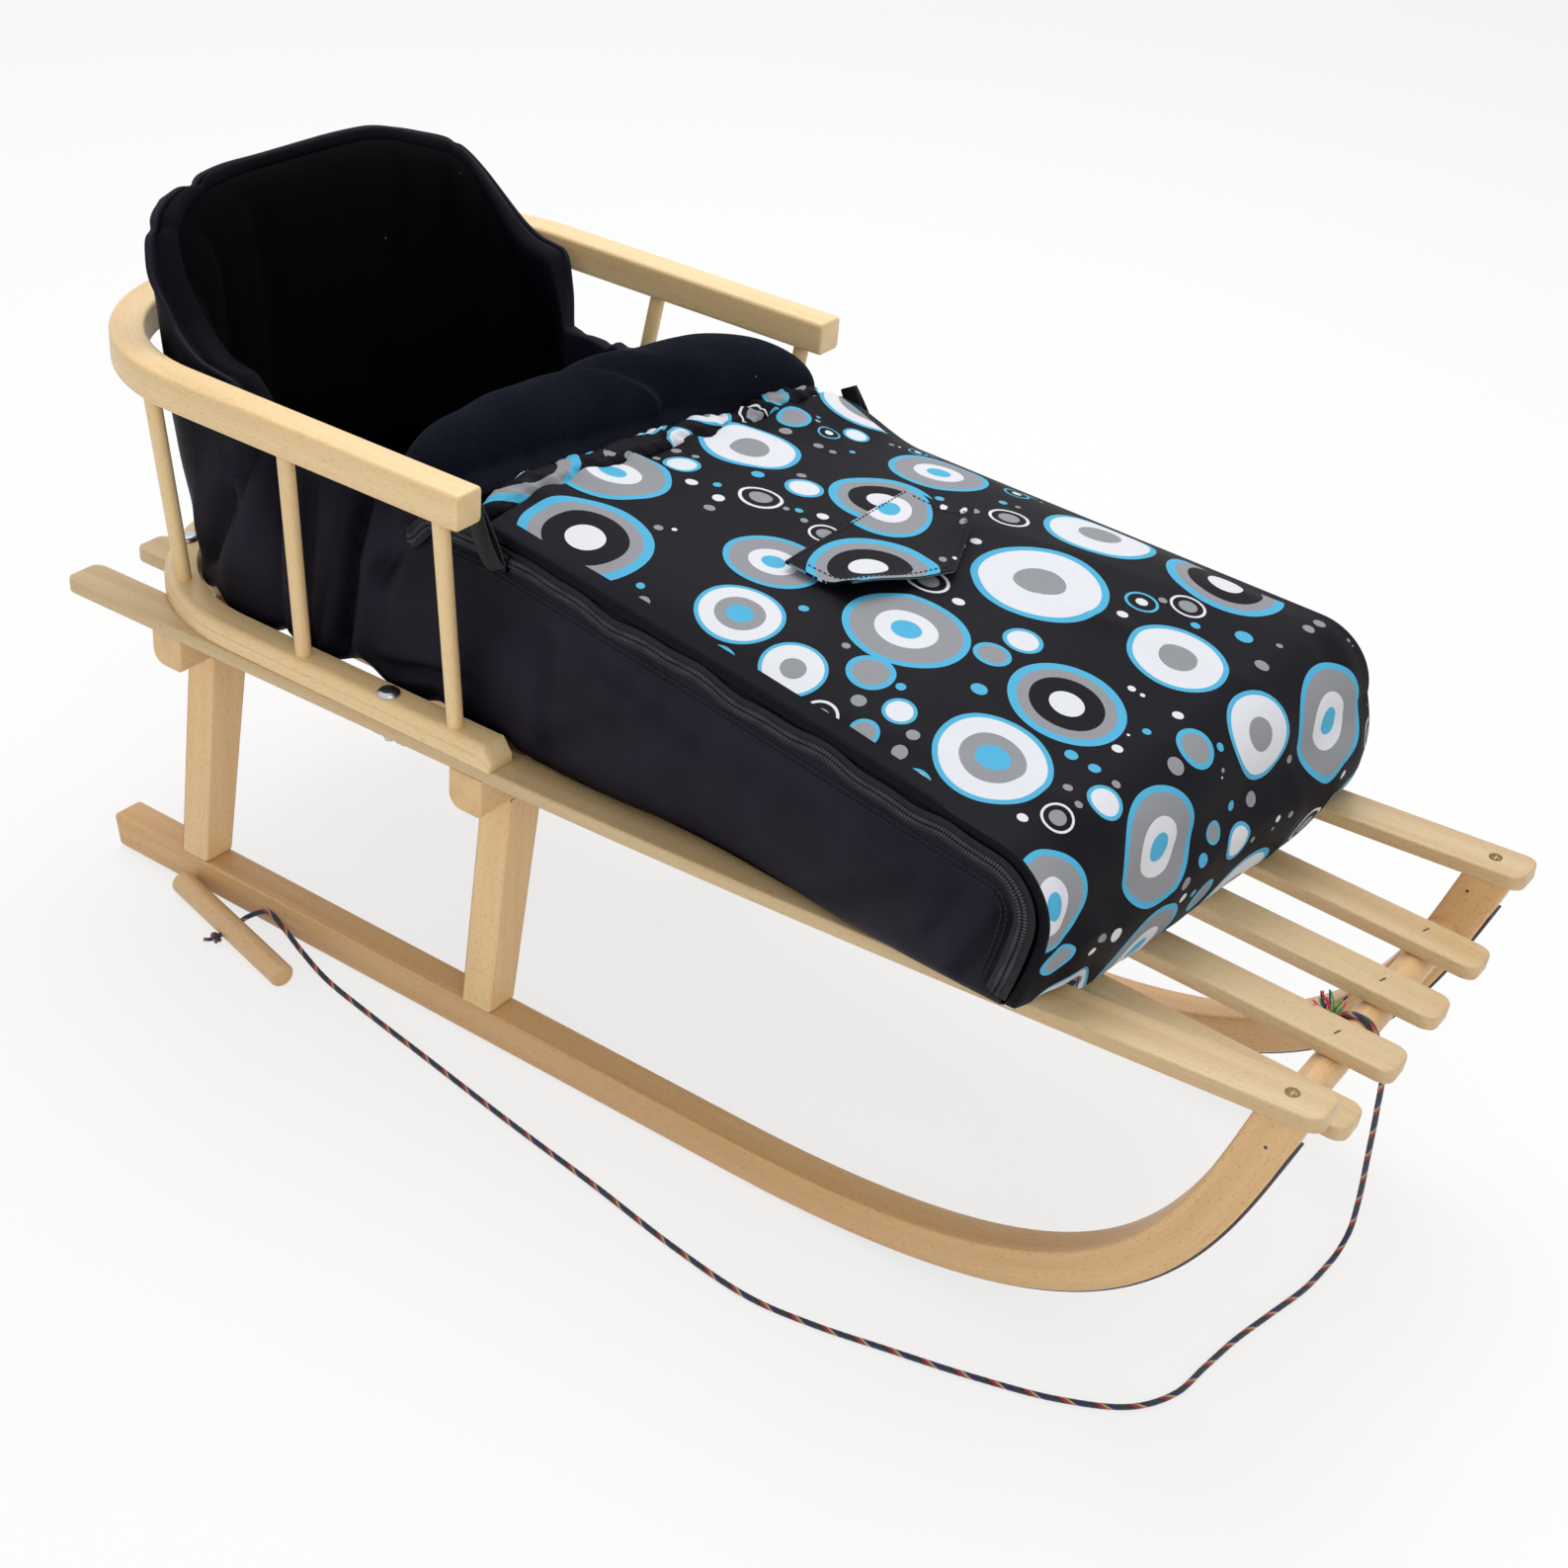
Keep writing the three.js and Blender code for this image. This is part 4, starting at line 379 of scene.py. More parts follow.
def framed_path(points: np.ndarray, guide: tuple[float, float, float]) -> Path:
    """A centre line whose outward direction is square to it and to a guide direction.

    Args:
        points: the line's points.
        guide: the guide direction.

    Returns:
        The path.
    """
    ahead = unit(np.gradient(points, axis=0))
    out = unit(np.cross(ahead, np.asarray(guide, float)))
    return Path(points, out, np.cross(out, ahead))


def circle(radius: float, count: int) -> np.ndarray:
    """Points evenly round a circle, as [out, up]."""
    angle = round_turn(count)
    return radius * np.stack([np.cos(angle), np.sin(angle)], axis=-1)


def rod(name: str, start: np.ndarray, end: np.ndarray, radius: float, ease: float = 0.6,
        count: int = 24, offset: float = 0.0) -> Object:
    """A round bar with eased ends.

    Args:
        name: the piece's name.
        start: middle of one end.
        end: middle of the other end.
        radius: the bar's radius.
        ease: radius of its ends.
        count: points round it.
        offset: where in the log it was sawn.

    Returns:
        The bar.
    """
    rows, grain = carried(straight_path(start, end), circle(radius, count), ease, 40.0, offset=offset)
    return surface(name, rows, grain=grain)


def stitches(name: str, line: np.ndarray, away: np.ndarray, pitch: float = 3.4,
             thread: float = 0.45) -> Object:
    """A row of thread stitches: short six-sided spindles along a line, sunk at both ends.

    Args:
        name: the piece's name.
        line: the seam's points.
        away: direction away from the cloth at each point.
        pitch: distance from stitch to stitch.
        thread: radius of the thread.

    Returns:
        One mesh with every stitch.
    """
    run = arc_lengths(line)
    count = max(1, int(run[-1] / pitch))
    starts = (np.arange(count) + 0.12) * pitch
    shares = np.array([0.0, 0.25, 0.5, 0.75, 1.0])
    lift = np.array([-0.5, 0.5, 0.8, 0.5, -0.5]) * thread
    girth = np.array([0.45, 1.0, 1.05, 1.0, 0.45]) * thread
    places = starts[:, None] + shares[None] * pitch * 0.76
    centre, normal = (read_along(places, run, values) for values in (line, away))
    normal = unit(normal)
    ahead = unit(centre[:, -1:] - centre[:, :1])
    across = np.cross(normal, ahead)
    angle = round_turn(6)
    rings = (centre[:, :, None] + (lift[None, :, None, None] * normal[:, :, None])
             + girth[None, :, None, None] * (np.cos(angle)[None, None, :, None] * across[:, :, None]
                                             + np.sin(angle)[None, None, :, None] * normal[:, :, None]))
    width = len(angle)
    one = np.arange(len(shares) * width).reshape(len(shares), width)
    turn = np.concatenate([one, one[:, :1]], axis=1)
    quads = corners_of(turn).reshape(-1, 4)
    ends = np.concatenate([one[0, ::-1][None], one[-1][None]])
    base = np.arange(count)[:, None, None] * one.size
    faces = (quads[None] + base).reshape(-1, 4).tolist() + (ends[None] + base).reshape(-1, width).tolist()
    mesh = bpy.data.meshes.new(name)
    mesh.from_pydata((rings.reshape(-1, 3) * MM).tolist(), [], faces)
    mesh.shade_smooth()
    turned_out = bmesh.new()
    turned_out.from_mesh(mesh)
    bmesh.ops.recalc_face_normals(turned_out, faces=turned_out.faces)
    turned_out.to_mesh(mesh)
    turned_out.free()
    return placed(name, mesh)


def eased_copy(node: str, name: str, width: float) -> Object:
    """A copy of a CAD solid with its doubles merged, its flat faces made whole and its edges rounded.

    Args:
        node: the CAD node.
        name: the new piece's name.
        width: width of the rounding in millimetres.

    Returns:
        The new piece.
    """
    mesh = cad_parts[node].data.copy()
    mesh.materials.clear()
    body = bmesh.new()
    body.from_mesh(mesh)
    bmesh.ops.remove_doubles(body, verts=body.verts, dist=0.00001)
    bmesh.ops.dissolve_limit(body, angle_limit=math.radians(1.0), verts=body.verts, edges=body.edges)
    body.to_mesh(mesh)
    body.free()
    mesh.name = name
    mesh.shade_smooth()
    mesh.set_sharp_from_angle(angle=math.radians(32.0))
    piece = placed(name, mesh)
    bevel = piece.modifiers.new("eased", "BEVEL")
    bevel.width = width * MM
    bevel.segments = 3
    bevel.limit_method = "ANGLE"
    bevel.angle_limit = math.radians(32.0)
    return piece


# ---------------------------------------------------------------- materials

def linear(colour: str) -> tuple[float, float, float, float]:
    """Turns an sRGB hex colour into linear red, green, blue and alpha."""
    parts = [int(colour[i:i + 2], 16) / 255 for i in (1, 3, 5)]
    return (*(c / 12.92 if c <= 0.04045 else ((c + 0.055) / 1.055) ** 2.4 for c in parts), 1.0)


def set_input(tree: NodeTree, socket: NodeSocket, value: object) -> None:
    """Links an input to a socket, or gives it a number or colour."""
    if isinstance(value, NodeSocket):
        tree.links.new(value, socket)
    else:
        socket.default_value = value


def add_node(tree: NodeTree, kind: str, settings: dict | None = None, inputs: dict | None = None) -> Node:
    """Adds a node with its settings and its inputs.

    Args:
        tree: the node tree.
        kind: the node's type.
        settings: properties of the node.
        inputs: numbers, colours or sockets for its inputs, by name or index.

    Returns:
        The node.
    """
    node = tree.nodes.new(kind)
    for name, value in (settings or {}).items():
        setattr(node, name, value)
    for name, value in (inputs or {}).items():
        set_input(tree, node.inputs[name], value)
    return node


def calc(tree: NodeTree, operation: str, a: object, b: object = 0.0) -> NodeSocket:
    """Adds one sum or comparison of two numbers or sockets and gives its result.

    Args:
        tree: the node tree.
        operation: the sum or comparison.
        a: first number or socket.
        b: second number or socket.

    Returns:
        The result's socket.
    """
    node = tree.nodes.new("ShaderNodeMath")
    node.operation = operation
    for socket, value in zip(node.inputs, (a, b)):
        set_input(tree, socket, value)
    return node.outputs[0]


def blended(tree: NodeTree, share: object, first: object, second: object,
            mode: str = "MIX") -> NodeSocket:
    """Mixes two colours or sockets by a share, as a blend mode says.

    Args:
        tree: the node tree.
        share: how much of the second.
        first: first colour.
        second: second colour.
        mode: the blend mode.

    Returns:
        The mixed colour's socket.
    """
    node = add_node(tree, "ShaderNodeMix", {"data_type": "RGBA", "blend_type": mode, "clamp_factor": True})
    for index, value in ((0, share), (6, first), (7, second)):
        set_input(tree, node.inputs[index], value)
    return node.outputs[2]


def ramp(tree: NodeTree, share: NodeSocket,
         stops: tuple[tuple[float, str], ...], stepped: bool = False) -> NodeSocket:
    """Adds a colour ramp with hex stops, blended or in hard steps, and gives its colour.

    Args:
        tree: the node tree.
        share: where the ramp is read.
        stops: places and colours.
        stepped: whether the colours change in hard steps.

    Returns:
        The colour's socket.
    """
    node = tree.nodes.new("ShaderNodeValToRGB")
    band = node.color_ramp
    band.interpolation = "CONSTANT" if stepped else "LINEAR"
    while len(band.elements) < len(stops):
        band.elements.new(1.0)
    for element, (place, colour) in zip(band.elements, stops):
        element.position = place
        element.color = linear(colour)
    tree.links.new(share, node.inputs[0])
    return node.outputs[0]


def new_material(name: str) -> tuple[Material, NodeTree, Node]:
    """A material with a bare principled shader linked to its output.

    Args:
        name: the material's name.

    Returns:
        The material, its tree and its shader.
    """
    material = bpy.data.materials.new(name)
    material.use_nodes = True
    tree = material.node_tree
    tree.nodes.clear()
    shader = add_node(tree, "ShaderNodeBsdfPrincipled")
    add_node(tree, "ShaderNodeOutputMaterial", inputs={"Surface": shader.outputs["BSDF"]})
    return material, tree, shader


def dress_shader(tree: NodeTree, shader: Node, sockets: dict,
                 relief: tuple[NodeSocket, float, float]) -> None:
    """Sets a shader's inputs and its bump.

    Args:
        tree: the node tree.
        shader: the principled shader.
        sockets: numbers, colours or sockets for its inputs, by name.
        relief: height, strength and depth in metres of its bump.
    """
    height, strength, depth = relief
    bump = add_node(tree, "ShaderNodeBump",
                    inputs={"Strength": strength, "Distance": depth, "Height": height})
    for name, value in {**sockets, "Normal": bump.outputs[0]}.items():
        set_input(tree, shader.inputs[name], value)


class Grain(Enum):
    """What a wood's grain follows."""

    ALONG_Y = (0.0, 0.0, math.pi / 2)
    ALONG_Z = (0.0, math.pi / 2, 0.0)
    BOARD = None


@dataclass(frozen=True)
class Beech:
    """Steamed beech, planed and sanded under a thin clear lacquer.

    It gives the eye a pale tan ground, faint streaks along the board and short dark ray flecks.
    """

    name: str
    light: str
    dark: str
    fleck: str
    follows: Grain = Grain.BOARD
    roughness: float = 0.42
    coat: float = 0.12

    def build(self) -> Material:
        """Makes the material.

        Returns:
            The material, with its grain along the board.
        """
        material, tree, shader = new_material(self.name)
        if self.follows is Grain.BOARD:
            place = add_node(tree, "ShaderNodeAttribute", {"attribute_name": "grain"}).outputs["Vector"]
        else:
            place = add_node(tree, "ShaderNodeTexCoord").outputs["Object"]
            place = add_node(tree, "ShaderNodeMapping",
                             inputs={"Rotation": self.follows.value, "Vector": place}).outputs[0]
        # growth rings 14 mm wide and half a metre long, streaks 1 mm wide, ray flecks 0.7 by 4 mm
        rings = self._streaks(tree, place, 2.2, 70.0, 2.0)
        streaks = self._streaks(tree, place, 14.0, 950.0, 3.0)
        rays = self._streaks(tree, place, 240.0, 1400.0, 1.0)
        tone = calc(tree, "ADD", calc(tree, "MULTIPLY", rings, 0.75), calc(tree, "MULTIPLY", streaks, 0.35))
        spread = add_node(tree, "ShaderNodeMapRange", inputs={1: 0.32, 2: 0.80, 0: tone}).outputs[0]
        colour = blended(tree, spread, linear(self.light), linear(self.dark))
        flecks = add_node(tree, "ShaderNodeMapRange", inputs={1: 0.60, 2: 0.72, 4: 0.42, 0: rays}).outputs[0]
        colour = blended(tree, flecks, colour, linear(self.fleck))
        rough = add_node(tree, "ShaderNodeMapRange",
                         inputs={3: self.roughness - 0.06, 4: self.roughness + 0.10, 0: streaks}).outputs[0]
        dress_shader(tree, shader, {"Base Color": colour, "Roughness": rough, "Coat Weight": self.coat,
                                    "Coat Roughness": 0.22}, (streaks, 0.25, 0.0002))
        return material

    @staticmethod
    def _streaks(tree: NodeTree, place: NodeSocket, along: float, across: float,
                 detail: float) -> NodeSocket:
        """Noise drawn out along the grain: along and across are features per metre.

        Args:
            tree: the node tree.
            place: where the noise is read.
            along: features per metre along the grain.
            across: features per metre across it.
            detail: octaves of the noise.

        Returns:
            The noise's socket.
        """
        stretched = add_node(tree, "ShaderNodeMapping",
                             inputs={"Scale": (along, across, across), "Vector": place}).outputs[0]
        return add_node(tree, "ShaderNodeTexNoise",
                        inputs={"Scale": 1.0, "Detail": detail, "Vector": stretched}).outputs[0]


@dataclass(frozen=True)
class Metal:
    """A bare or plated metal: drawn, rolled or pressed.

    It gives the eye a grey mirror broken by fine marks.
    """

    name: str
    colour: str
    mottle: str
    roughness: float
    marks: tuple[float, float, float] = (900.0, 900.0, 900.0)

    def build(self) -> Material:
        """Makes the material.

        Returns:
            The material.
        """
        material, tree, shader = new_material(self.name)
        place = add_node(tree, "ShaderNodeTexCoord").outputs["Object"]
        place = add_node(tree, "ShaderNodeMapping", inputs={"Scale": self.marks, "Vector": place}).outputs[0]
        marks = add_node(tree, "ShaderNodeTexNoise",
                         inputs={"Scale": 1.0, "Detail": 4.0, "Vector": place}).outputs[0]
        colour = blended(tree, marks, linear(self.colour), linear(self.mottle))
        rough = add_node(tree, "ShaderNodeMapRange",
                         inputs={3: self.roughness - 0.08, 4: self.roughness + 0.12, 0: marks}).outputs[0]
        dress_shader(tree, shader, {"Base Color": colour, "Roughness": rough, "Metallic": 1.0},
                     (marks, 0.2, 0.0001))
        return material


def cloth_lay(tree: NodeTree) -> NodeSocket:
    """The cloth's own lay in metres, from the UV map."""
    return add_node(tree, "ShaderNodeUVMap", {"uv_map": "lay"}).outputs[0]


def weave_height(tree: NodeTree, pitch: float) -> NodeSocket:
    """Height of a plain weave: the product of two sines, one thread pitch long in metres.

    Args:
        tree: the node tree.
        pitch: from thread to thread in metres.

    Returns:
        The height's socket, from 0 to 1.
    """
    split = add_node(tree, "ShaderNodeSeparateXYZ", inputs={0: cloth_lay(tree)})
    turns = 2 * math.pi / pitch
    warp = calc(tree, "SINE", calc(tree, "MULTIPLY", split.outputs[0], turns))
    weft = calc(tree, "SINE", calc(tree, "MULTIPLY", split.outputs[1], turns))
    return calc(tree, "ADD", calc(tree, "MULTIPLY", calc(tree, "MULTIPLY", warp, weft), 0.5), 0.5)


@dataclass(frozen=True)
class Nylon:
    """Coated woven nylon.

    It gives the eye a black cloth with a fine even weave, drawn at 1.6 mm where the real threads are 0.5 mm,
    so that it shows, and a soft cool sheen: partly a low gloss, partly a painted highlight on the weave's
    crests;
    its folds, crevices and the hood's rim and inner face are darkened as painted shade.
    """

    name: str
    colour: str
    light: str
    pitch: float = 0.0016
    roughness: float = 0.50
    gloss: float = 0.10

    def build(self) -> Material:
        """Makes the material.

        Returns:
            The material.
        """
        material, tree, shader = new_material(self.name)
        height = weave_height(tree, self.pitch)
        place = add_node(tree, "ShaderNodeTexCoord").outputs["Object"]
        mottle = add_node(tree, "ShaderNodeTexNoise",
                        inputs={"Scale": 26.0, "Detail": 4.0, "Vector": place}).outputs[0]
        # painted highlight: the weave's crests are painted towards the lighter colour, more strongly in broad
        # noise patches
        tone = calc(tree, "MULTIPLY", height, calc(tree, "ADD", mottle, 0.1))
        cloth = blended(tree, tone, linear(self.colour), linear(self.light))
        # painted shade: ambient occlusion darkens the colour and the gloss in folds and crevices, and the
        # hood's rim and inner face, which lie in the hood's own shade, are darkened further
        open_sky = add_node(tree, "ShaderNodeAmbientOcclusion", {"samples": 6},
                            {"Distance": 0.06}).outputs["AO"]
        rim = add_node(tree, "ShaderNodeAttribute", {"attribute_name": "rim"}).outputs["Fac"]
        clear = calc(tree, "SUBTRACT", 1.0, calc(tree, "MULTIPLY", rim, 0.72))
        lit = calc(tree, "MULTIPLY", calc(tree, "POWER", open_sky, 1.6), clear)
        dress_shader(tree, shader, {
            "Base Color": blended(tree, lit, linear("#020203"), cloth), "Roughness": self.roughness,
            "Specular IOR Level": calc(tree, "MULTIPLY", lit, self.gloss)}, (height, 0.6, 0.0003))
        return material


@dataclass(frozen=True)
class Fleece:
    """Brushed polar fleece.

    It gives the eye a deep soft black, raised to dark grey by its nap at grazing angles,
    with a few pale hairs of lint.
    """

    name: str
    colour: str
    nap: str
    lint: str = "#8f939a"
    sheen: float = 0.05

    def build(self) -> Material:
        """Makes the material.

        Returns:
            The material.
        """
        material, tree, shader = new_material(self.name)
        place = add_node(tree, "ShaderNodeTexCoord").outputs["Object"]
        # tufts 2.5 mm wide, nap 0.8 mm, and a speck of lint every few centimetres
        tufts = add_node(tree, "ShaderNodeTexNoise",
                         inputs={"Scale": 400.0, "Detail": 3.0, "Vector": place}).outputs[0]
        patches = add_node(tree, "ShaderNodeTexNoise",
                           inputs={"Scale": 30.0, "Detail": 3.0, "Vector": place}).outputs[0]
        hairs = add_node(tree, "ShaderNodeTexVoronoi", {"feature": "F1"},
                         {"Scale": 130.0, "Vector": place})
        near = calc(tree, "LESS_THAN", hairs.outputs["Distance"], 0.085)
        chosen = add_node(tree, "ShaderNodeSeparateColor", inputs={0: hairs.outputs["Color"]}).outputs[0]
        specks = calc(tree, "MULTIPLY", near, calc(tree, "GREATER_THAN", chosen, 0.965))
        nap = calc(tree, "MULTIPLY", tufts, calc(tree, "ADD", patches, 0.1))
        colour = blended(tree, nap, linear(self.colour), linear(self.nap))
        colour = blended(tree, calc(tree, "MULTIPLY", specks, 0.5), colour, linear(self.lint))
        dress_shader(tree, shader, {
            "Base Color": colour, "Roughness": 0.95, "Specular IOR Level": 0.05, "Sheen Weight": self.sheen,
            "Sheen Roughness": 0.6, "Sheen Tint": linear("#7f8696")}, (tufts, 0.6, 0.0006))
        return material


@dataclass(frozen=True)
class Discs:
    """One layer of a print: a disc with rings in each cell of a jittered grid."""

    cell: float
    jitter: float
    least: float
    most: float


@dataclass(frozen=True)
class PrintedNylon:
    """Black woven nylon, screen printed with plain discs, rings and dots.

    It gives the eye round motifs 10 to 80 mm across in turquoise, white and grey, each one
    clear of the others, over a cloth whose weave shows on the pale inks.
    """

    name: str
    ground: str = "#08070f"
    turquoise: str = "#52b2da"
    white: str = "#e2e4ea"
    grey: str = "#93959a"
    large: Discs = Discs(0.094, 0.55, 0.84, 1.0)
    middle: Discs = Discs(0.036, 0.65, 0.70, 1.0)
    small: Discs = Discs(0.0175, 0.85, 0.35, 0.70)
    gap: float = 0.0016

    def build(self) -> Material:
        """Makes the material.

        Returns:
            The material.
        """
        material, tree, shader = new_material(self.name)
        place = cloth_lay(tree)
        g, t, w, k = self.grey, self.turquoise, self.white, self.ground
        large_styles = (
            ((0.0, t), (0.24, w), (0.50, g), (0.88, t)),
            ((0.0, g), (0.34, w), (0.80, t), (0.90, k)),
            ((0.0, w), (0.30, k), (0.64, g), (0.84, t)),
            ((0.0, t), (0.30, g), (0.56, w), (0.90, t)),
        )
        middle_styles = (
            ((0.0, w), (0.78, t)), ((0.0, g), (0.52, k), (0.84, w)),
            ((0.0, g), (0.74, t)), ((0.0, w), (0.36, k), (0.82, t)),
        )
        edge = add_node(tree, "ShaderNodeAttribute", {"attribute_name": "bare_edge"}).outputs["Fac"]
        inside = calc(tree, "LESS_THAN", edge, 0.5)
        colour, inked = self._layer(tree, place, self.large, large_styles)
        inked = calc(tree, "MULTIPLY", inked, inside)
        below = blended(tree, inked, linear(self.ground), colour)
        for layer, styles, over in (
            (self.middle, middle_styles, (self.large,)),
            (self.small, (((0.0, t),), ((0.0, g),), ((0.0, w),), ((0.0, g),)), (self.large, self.middle)),
        ):
            colour, inked = self._layer(tree, place, layer, styles, over)
            below = blended(tree, calc(tree, "MULTIPLY", inked, inside), below, colour)
        height = weave_height(tree, 0.0012)
        below = blended(tree, calc(tree, "MULTIPLY", height, 0.15), below, linear("#1d1b28"))
        dress_shader(tree, shader, {"Base Color": below, "Roughness": 0.60, "Specular IOR Level": 0.10},
                     (height, 0.4, 0.0002))
        return material

    @staticmethod
    def _disc(tree: NodeTree, place: NodeSocket, layer: Discs) -> tuple:
        """Distance to the nearest disc's middle, its radius, its random colour and its middle.

        Args:
            tree: the node tree.
            place: where the layer is read.
            layer: the layer.

        Returns:
            The four sockets.
        """
        facts = {"voronoi_dimensions": "2D"}
        inputs = {"Scale": 1.0 / layer.cell, "Randomness": layer.jitter, "Vector": place}
        near = add_node(tree, "ShaderNodeTexVoronoi", {**facts, "feature": "F1"}, inputs)
        room = add_node(tree, "ShaderNodeTexVoronoi", {**facts, "feature": "N_SPHERE_RADIUS"},
                        inputs).outputs["Radius"]
        chance = add_node(tree, "ShaderNodeSeparateColor", inputs={0: near.outputs["Color"]})
        share = calc(tree, "ADD", layer.least,
                     calc(tree, "MULTIPLY", chance.outputs[0], layer.most - layer.least))
        radius = calc(tree, "MULTIPLY", calc(tree, "MULTIPLY", room, share), layer.cell)
        distance = calc(tree, "MULTIPLY", near.outputs["Distance"], layer.cell)
        return distance, radius, chance.outputs[1], near.outputs["Position"]

    def _layer(self, tree: NodeTree, place: NodeSocket, layer: Discs,
               styles: tuple, over: tuple[Discs, ...] = ()) -> tuple:
        """Colour of a layer and where it is inked: a disc shows if it clears every larger disc.

        Args:
            tree: the node tree.
            place: the cloth's lay.
            layer: the layer.
            styles: ring colours of each kind of disc.
            over: the larger layers above it.

        Returns:
            The colour's socket and the inked share's socket.
        """
        distance, radius, chance, middle = self._disc(tree, place, layer)
        share = calc(tree, "DIVIDE", distance, radius)
        colour = ramp(tree, share, styles[0], stepped=True)
        for number, stops in enumerate(styles[1:], start=1):
            chosen = calc(tree, "GREATER_THAN", chance, number / len(styles))
            colour = blended(tree, chosen, colour, ramp(tree, share, stops, stepped=True))
        inked = calc(tree, "LESS_THAN", share, 1.0)
        for larger in over:
            away, size, _, _ = self._disc(tree, middle, larger)
            room = calc(tree, "SUBTRACT", calc(tree, "SUBTRACT", away, size), radius)
            inked = calc(tree, "MULTIPLY", inked, calc(tree, "GREATER_THAN", room, self.gap))
        return colour, inked


@dataclass(frozen=True)
class Braid:
    """Braided polyester cord.

    It gives the eye a dark blue cord round which red, yellow and green strands wind once
    in 20 mm, crossing in diamonds 1.25 mm long.
    """

    name: str
    girth: float
    strands: int = 16
    pitch: float = 0.00125

    def build(self) -> Material:
        """Makes the material.

        Returns:
            The material.
        """
        material, tree, shader = new_material(self.name)
        split = add_node(tree, "ShaderNodeSeparateXYZ", inputs={0: cloth_lay(tree)})
        along = calc(tree, "MULTIPLY", split.outputs[0], 1.0 / self.pitch)
        round_it = calc(tree, "MULTIPLY", split.outputs[1], self.strands / self.girth)
        one, other = calc(tree, "ADD", along, round_it), calc(tree, "SUBTRACT", along, round_it)
        first, second = calc(tree, "FLOOR", one), calc(tree, "FLOOR", other)
        turn = calc(tree, "DIVIDE", calc(tree, "FLOORED_MODULO", first, self.strands), self.strands)
        wound = ramp(tree, turn, ((0.0, "#0b0b14"), (0.05, "#0f4034"), (0.20, "#17184c"), (0.36, "#272069"),
                                  (0.60, "#e8cf7c"), (0.72, "#c41c44"), (0.90, "#0b0b14")), stepped=True)
        over = calc(tree, "FLOORED_MODULO", calc(tree, "ADD", first, second), 2.0)
        colour = blended(tree, calc(tree, "MULTIPLY", over, 0.7), wound, linear("#0c0c22"))
        ridge = calc(tree, "MULTIPLY", calc(tree, "SINE", calc(tree, "MULTIPLY", one, math.pi)),
                     calc(tree, "SINE", calc(tree, "MULTIPLY", other, math.pi)))
        dress_shader(tree, shader, {"Base Color": colour, "Roughness": 0.6, "Sheen Weight": 0.2},
                     (calc(tree, "ABSOLUTE", ridge), 0.7, 0.0004))
        return material


@dataclass(frozen=True)
class Webbing:
    """Woven polyester tape or a nylon coil: black, ribbed across its run.

    It gives the eye fine ribs, 1.6 mm apart, their crests painted lighter as a painted highlight.
    """

    name: str
    colour: str
    light: str
    rib: float = 0.0016

    def build(self) -> Material:
        """Makes the material.

        Returns:
            The material.
        """
        material, tree, shader = new_material(self.name)
        split = add_node(tree, "ShaderNodeSeparateXYZ", inputs={0: cloth_lay(tree)})
        wave = calc(tree, "SINE", calc(tree, "MULTIPLY", split.outputs[0], 2 * math.pi / self.rib))
        height = calc(tree, "ADD", calc(tree, "MULTIPLY", wave, 0.5), 0.5)
        # painted highlight: the ribs' crests are painted towards the lighter colour
        colour = blended(tree, height, linear(self.colour), linear(self.light))
        dress_shader(tree, shader, {"Base Color": colour, "Roughness": 0.5, "Specular IOR Level": 0.25},
                     (height, 0.5, 0.0003))
        return material


def made(finish: Beech | Metal | Nylon | Fleece | PrintedNylon | Webbing | Braid) -> Material:
    """A field that holds a finish's material, made with the object."""
    return field(default_factory=finish.build)


@dataclass
class Finishes:
    """Every material of the sled, made once."""

    slat: Material = made(Beech("lacquered_beech_slats", "#d4bd93", "#c09d6d", "#966d42"))
    rail: Material = made(Beech("bent_beech_rails", "#f3d8a5", "#e3bf8a", "#c19763"))
    runner: Material = made(Beech("bent_beech_runners", "#e0bb88", "#cb9a64", "#9a6b3f"))
    leg: Material = made(Beech("planed_beech_legs", "#f3d3a0", "#e4b982", "#af8150", Grain.ALONG_Z))
    crossbar: Material = made(Beech("planed_beech_crossbars", "#e9c690", "#d5a972", "#a27544", Grain.ALONG_Y))
    dowel: Material = made(Beech("turned_beech", "#e2bf8f", "#cfa371", "#9b6c43"))
    steel: Material = made(Metal("rolled_steel_strip", "#66686c", "#3f4144", 0.38, (60.0, 1200.0, 1200.0)))
    zinc: Material = made(Metal("bright_zinc_plate", "#d2d4d6", "#a7a9ab", 0.26))
    brass: Material = made(Metal("yellow_zinc_screws", "#8f7c52", "#4c3f26", 0.38))
    # the nylon's second colour is the painted highlight on its weave's crests
    shell: Material = made(Nylon("coated_woven_nylon", "#06050b", "#302d41"))
    fleece: Material = made(Fleece("brushed_fleece_lining", "#010102", "#060609", sheen=0.0))
    collar: Material = made(Fleece("brushed_fleece_collar", "#080911", "#1b1e2a"))
    printed: Material = made(PrintedNylon("screen_printed_nylon"))
    # each webbing's second colour, and that of the dyed strands below, is a painted highlight on its ribs'
    # crests
    coil: Material = made(Webbing("nylon_coil_zip", "#07070a", "#45454f", 0.0021))
    webbing: Material = made(Webbing("woven_webbing", "#0b0b0f", "#1e1e25", 0.0021))
    tape: Material = made(Webbing("woven_zip_tape", "#060609", "#14141a", 0.0011))
    thread: Material = made(Webbing("sewing_thread", "#101014", "#2b2b33", 0.0010))
    enamel: Material = made(Metal("black_enamelled_slider", "#2b2b30", "#17171a", 0.34))
    dyed: list[Material] = field(default_factory=lambda: [
        Webbing(f"{name}_dyed_strand", colour, light).build() for name, colour, light in (
            ("green", "#119a50", "#2fd07a"), ("red", "#c8283c", "#f05a6a"), ("blue", "#171d4a", "#323c88"))])
    braid: Material = made(Braid("braided_polyester_cord", 2 * math.pi * CORD_RADIUS * MM))


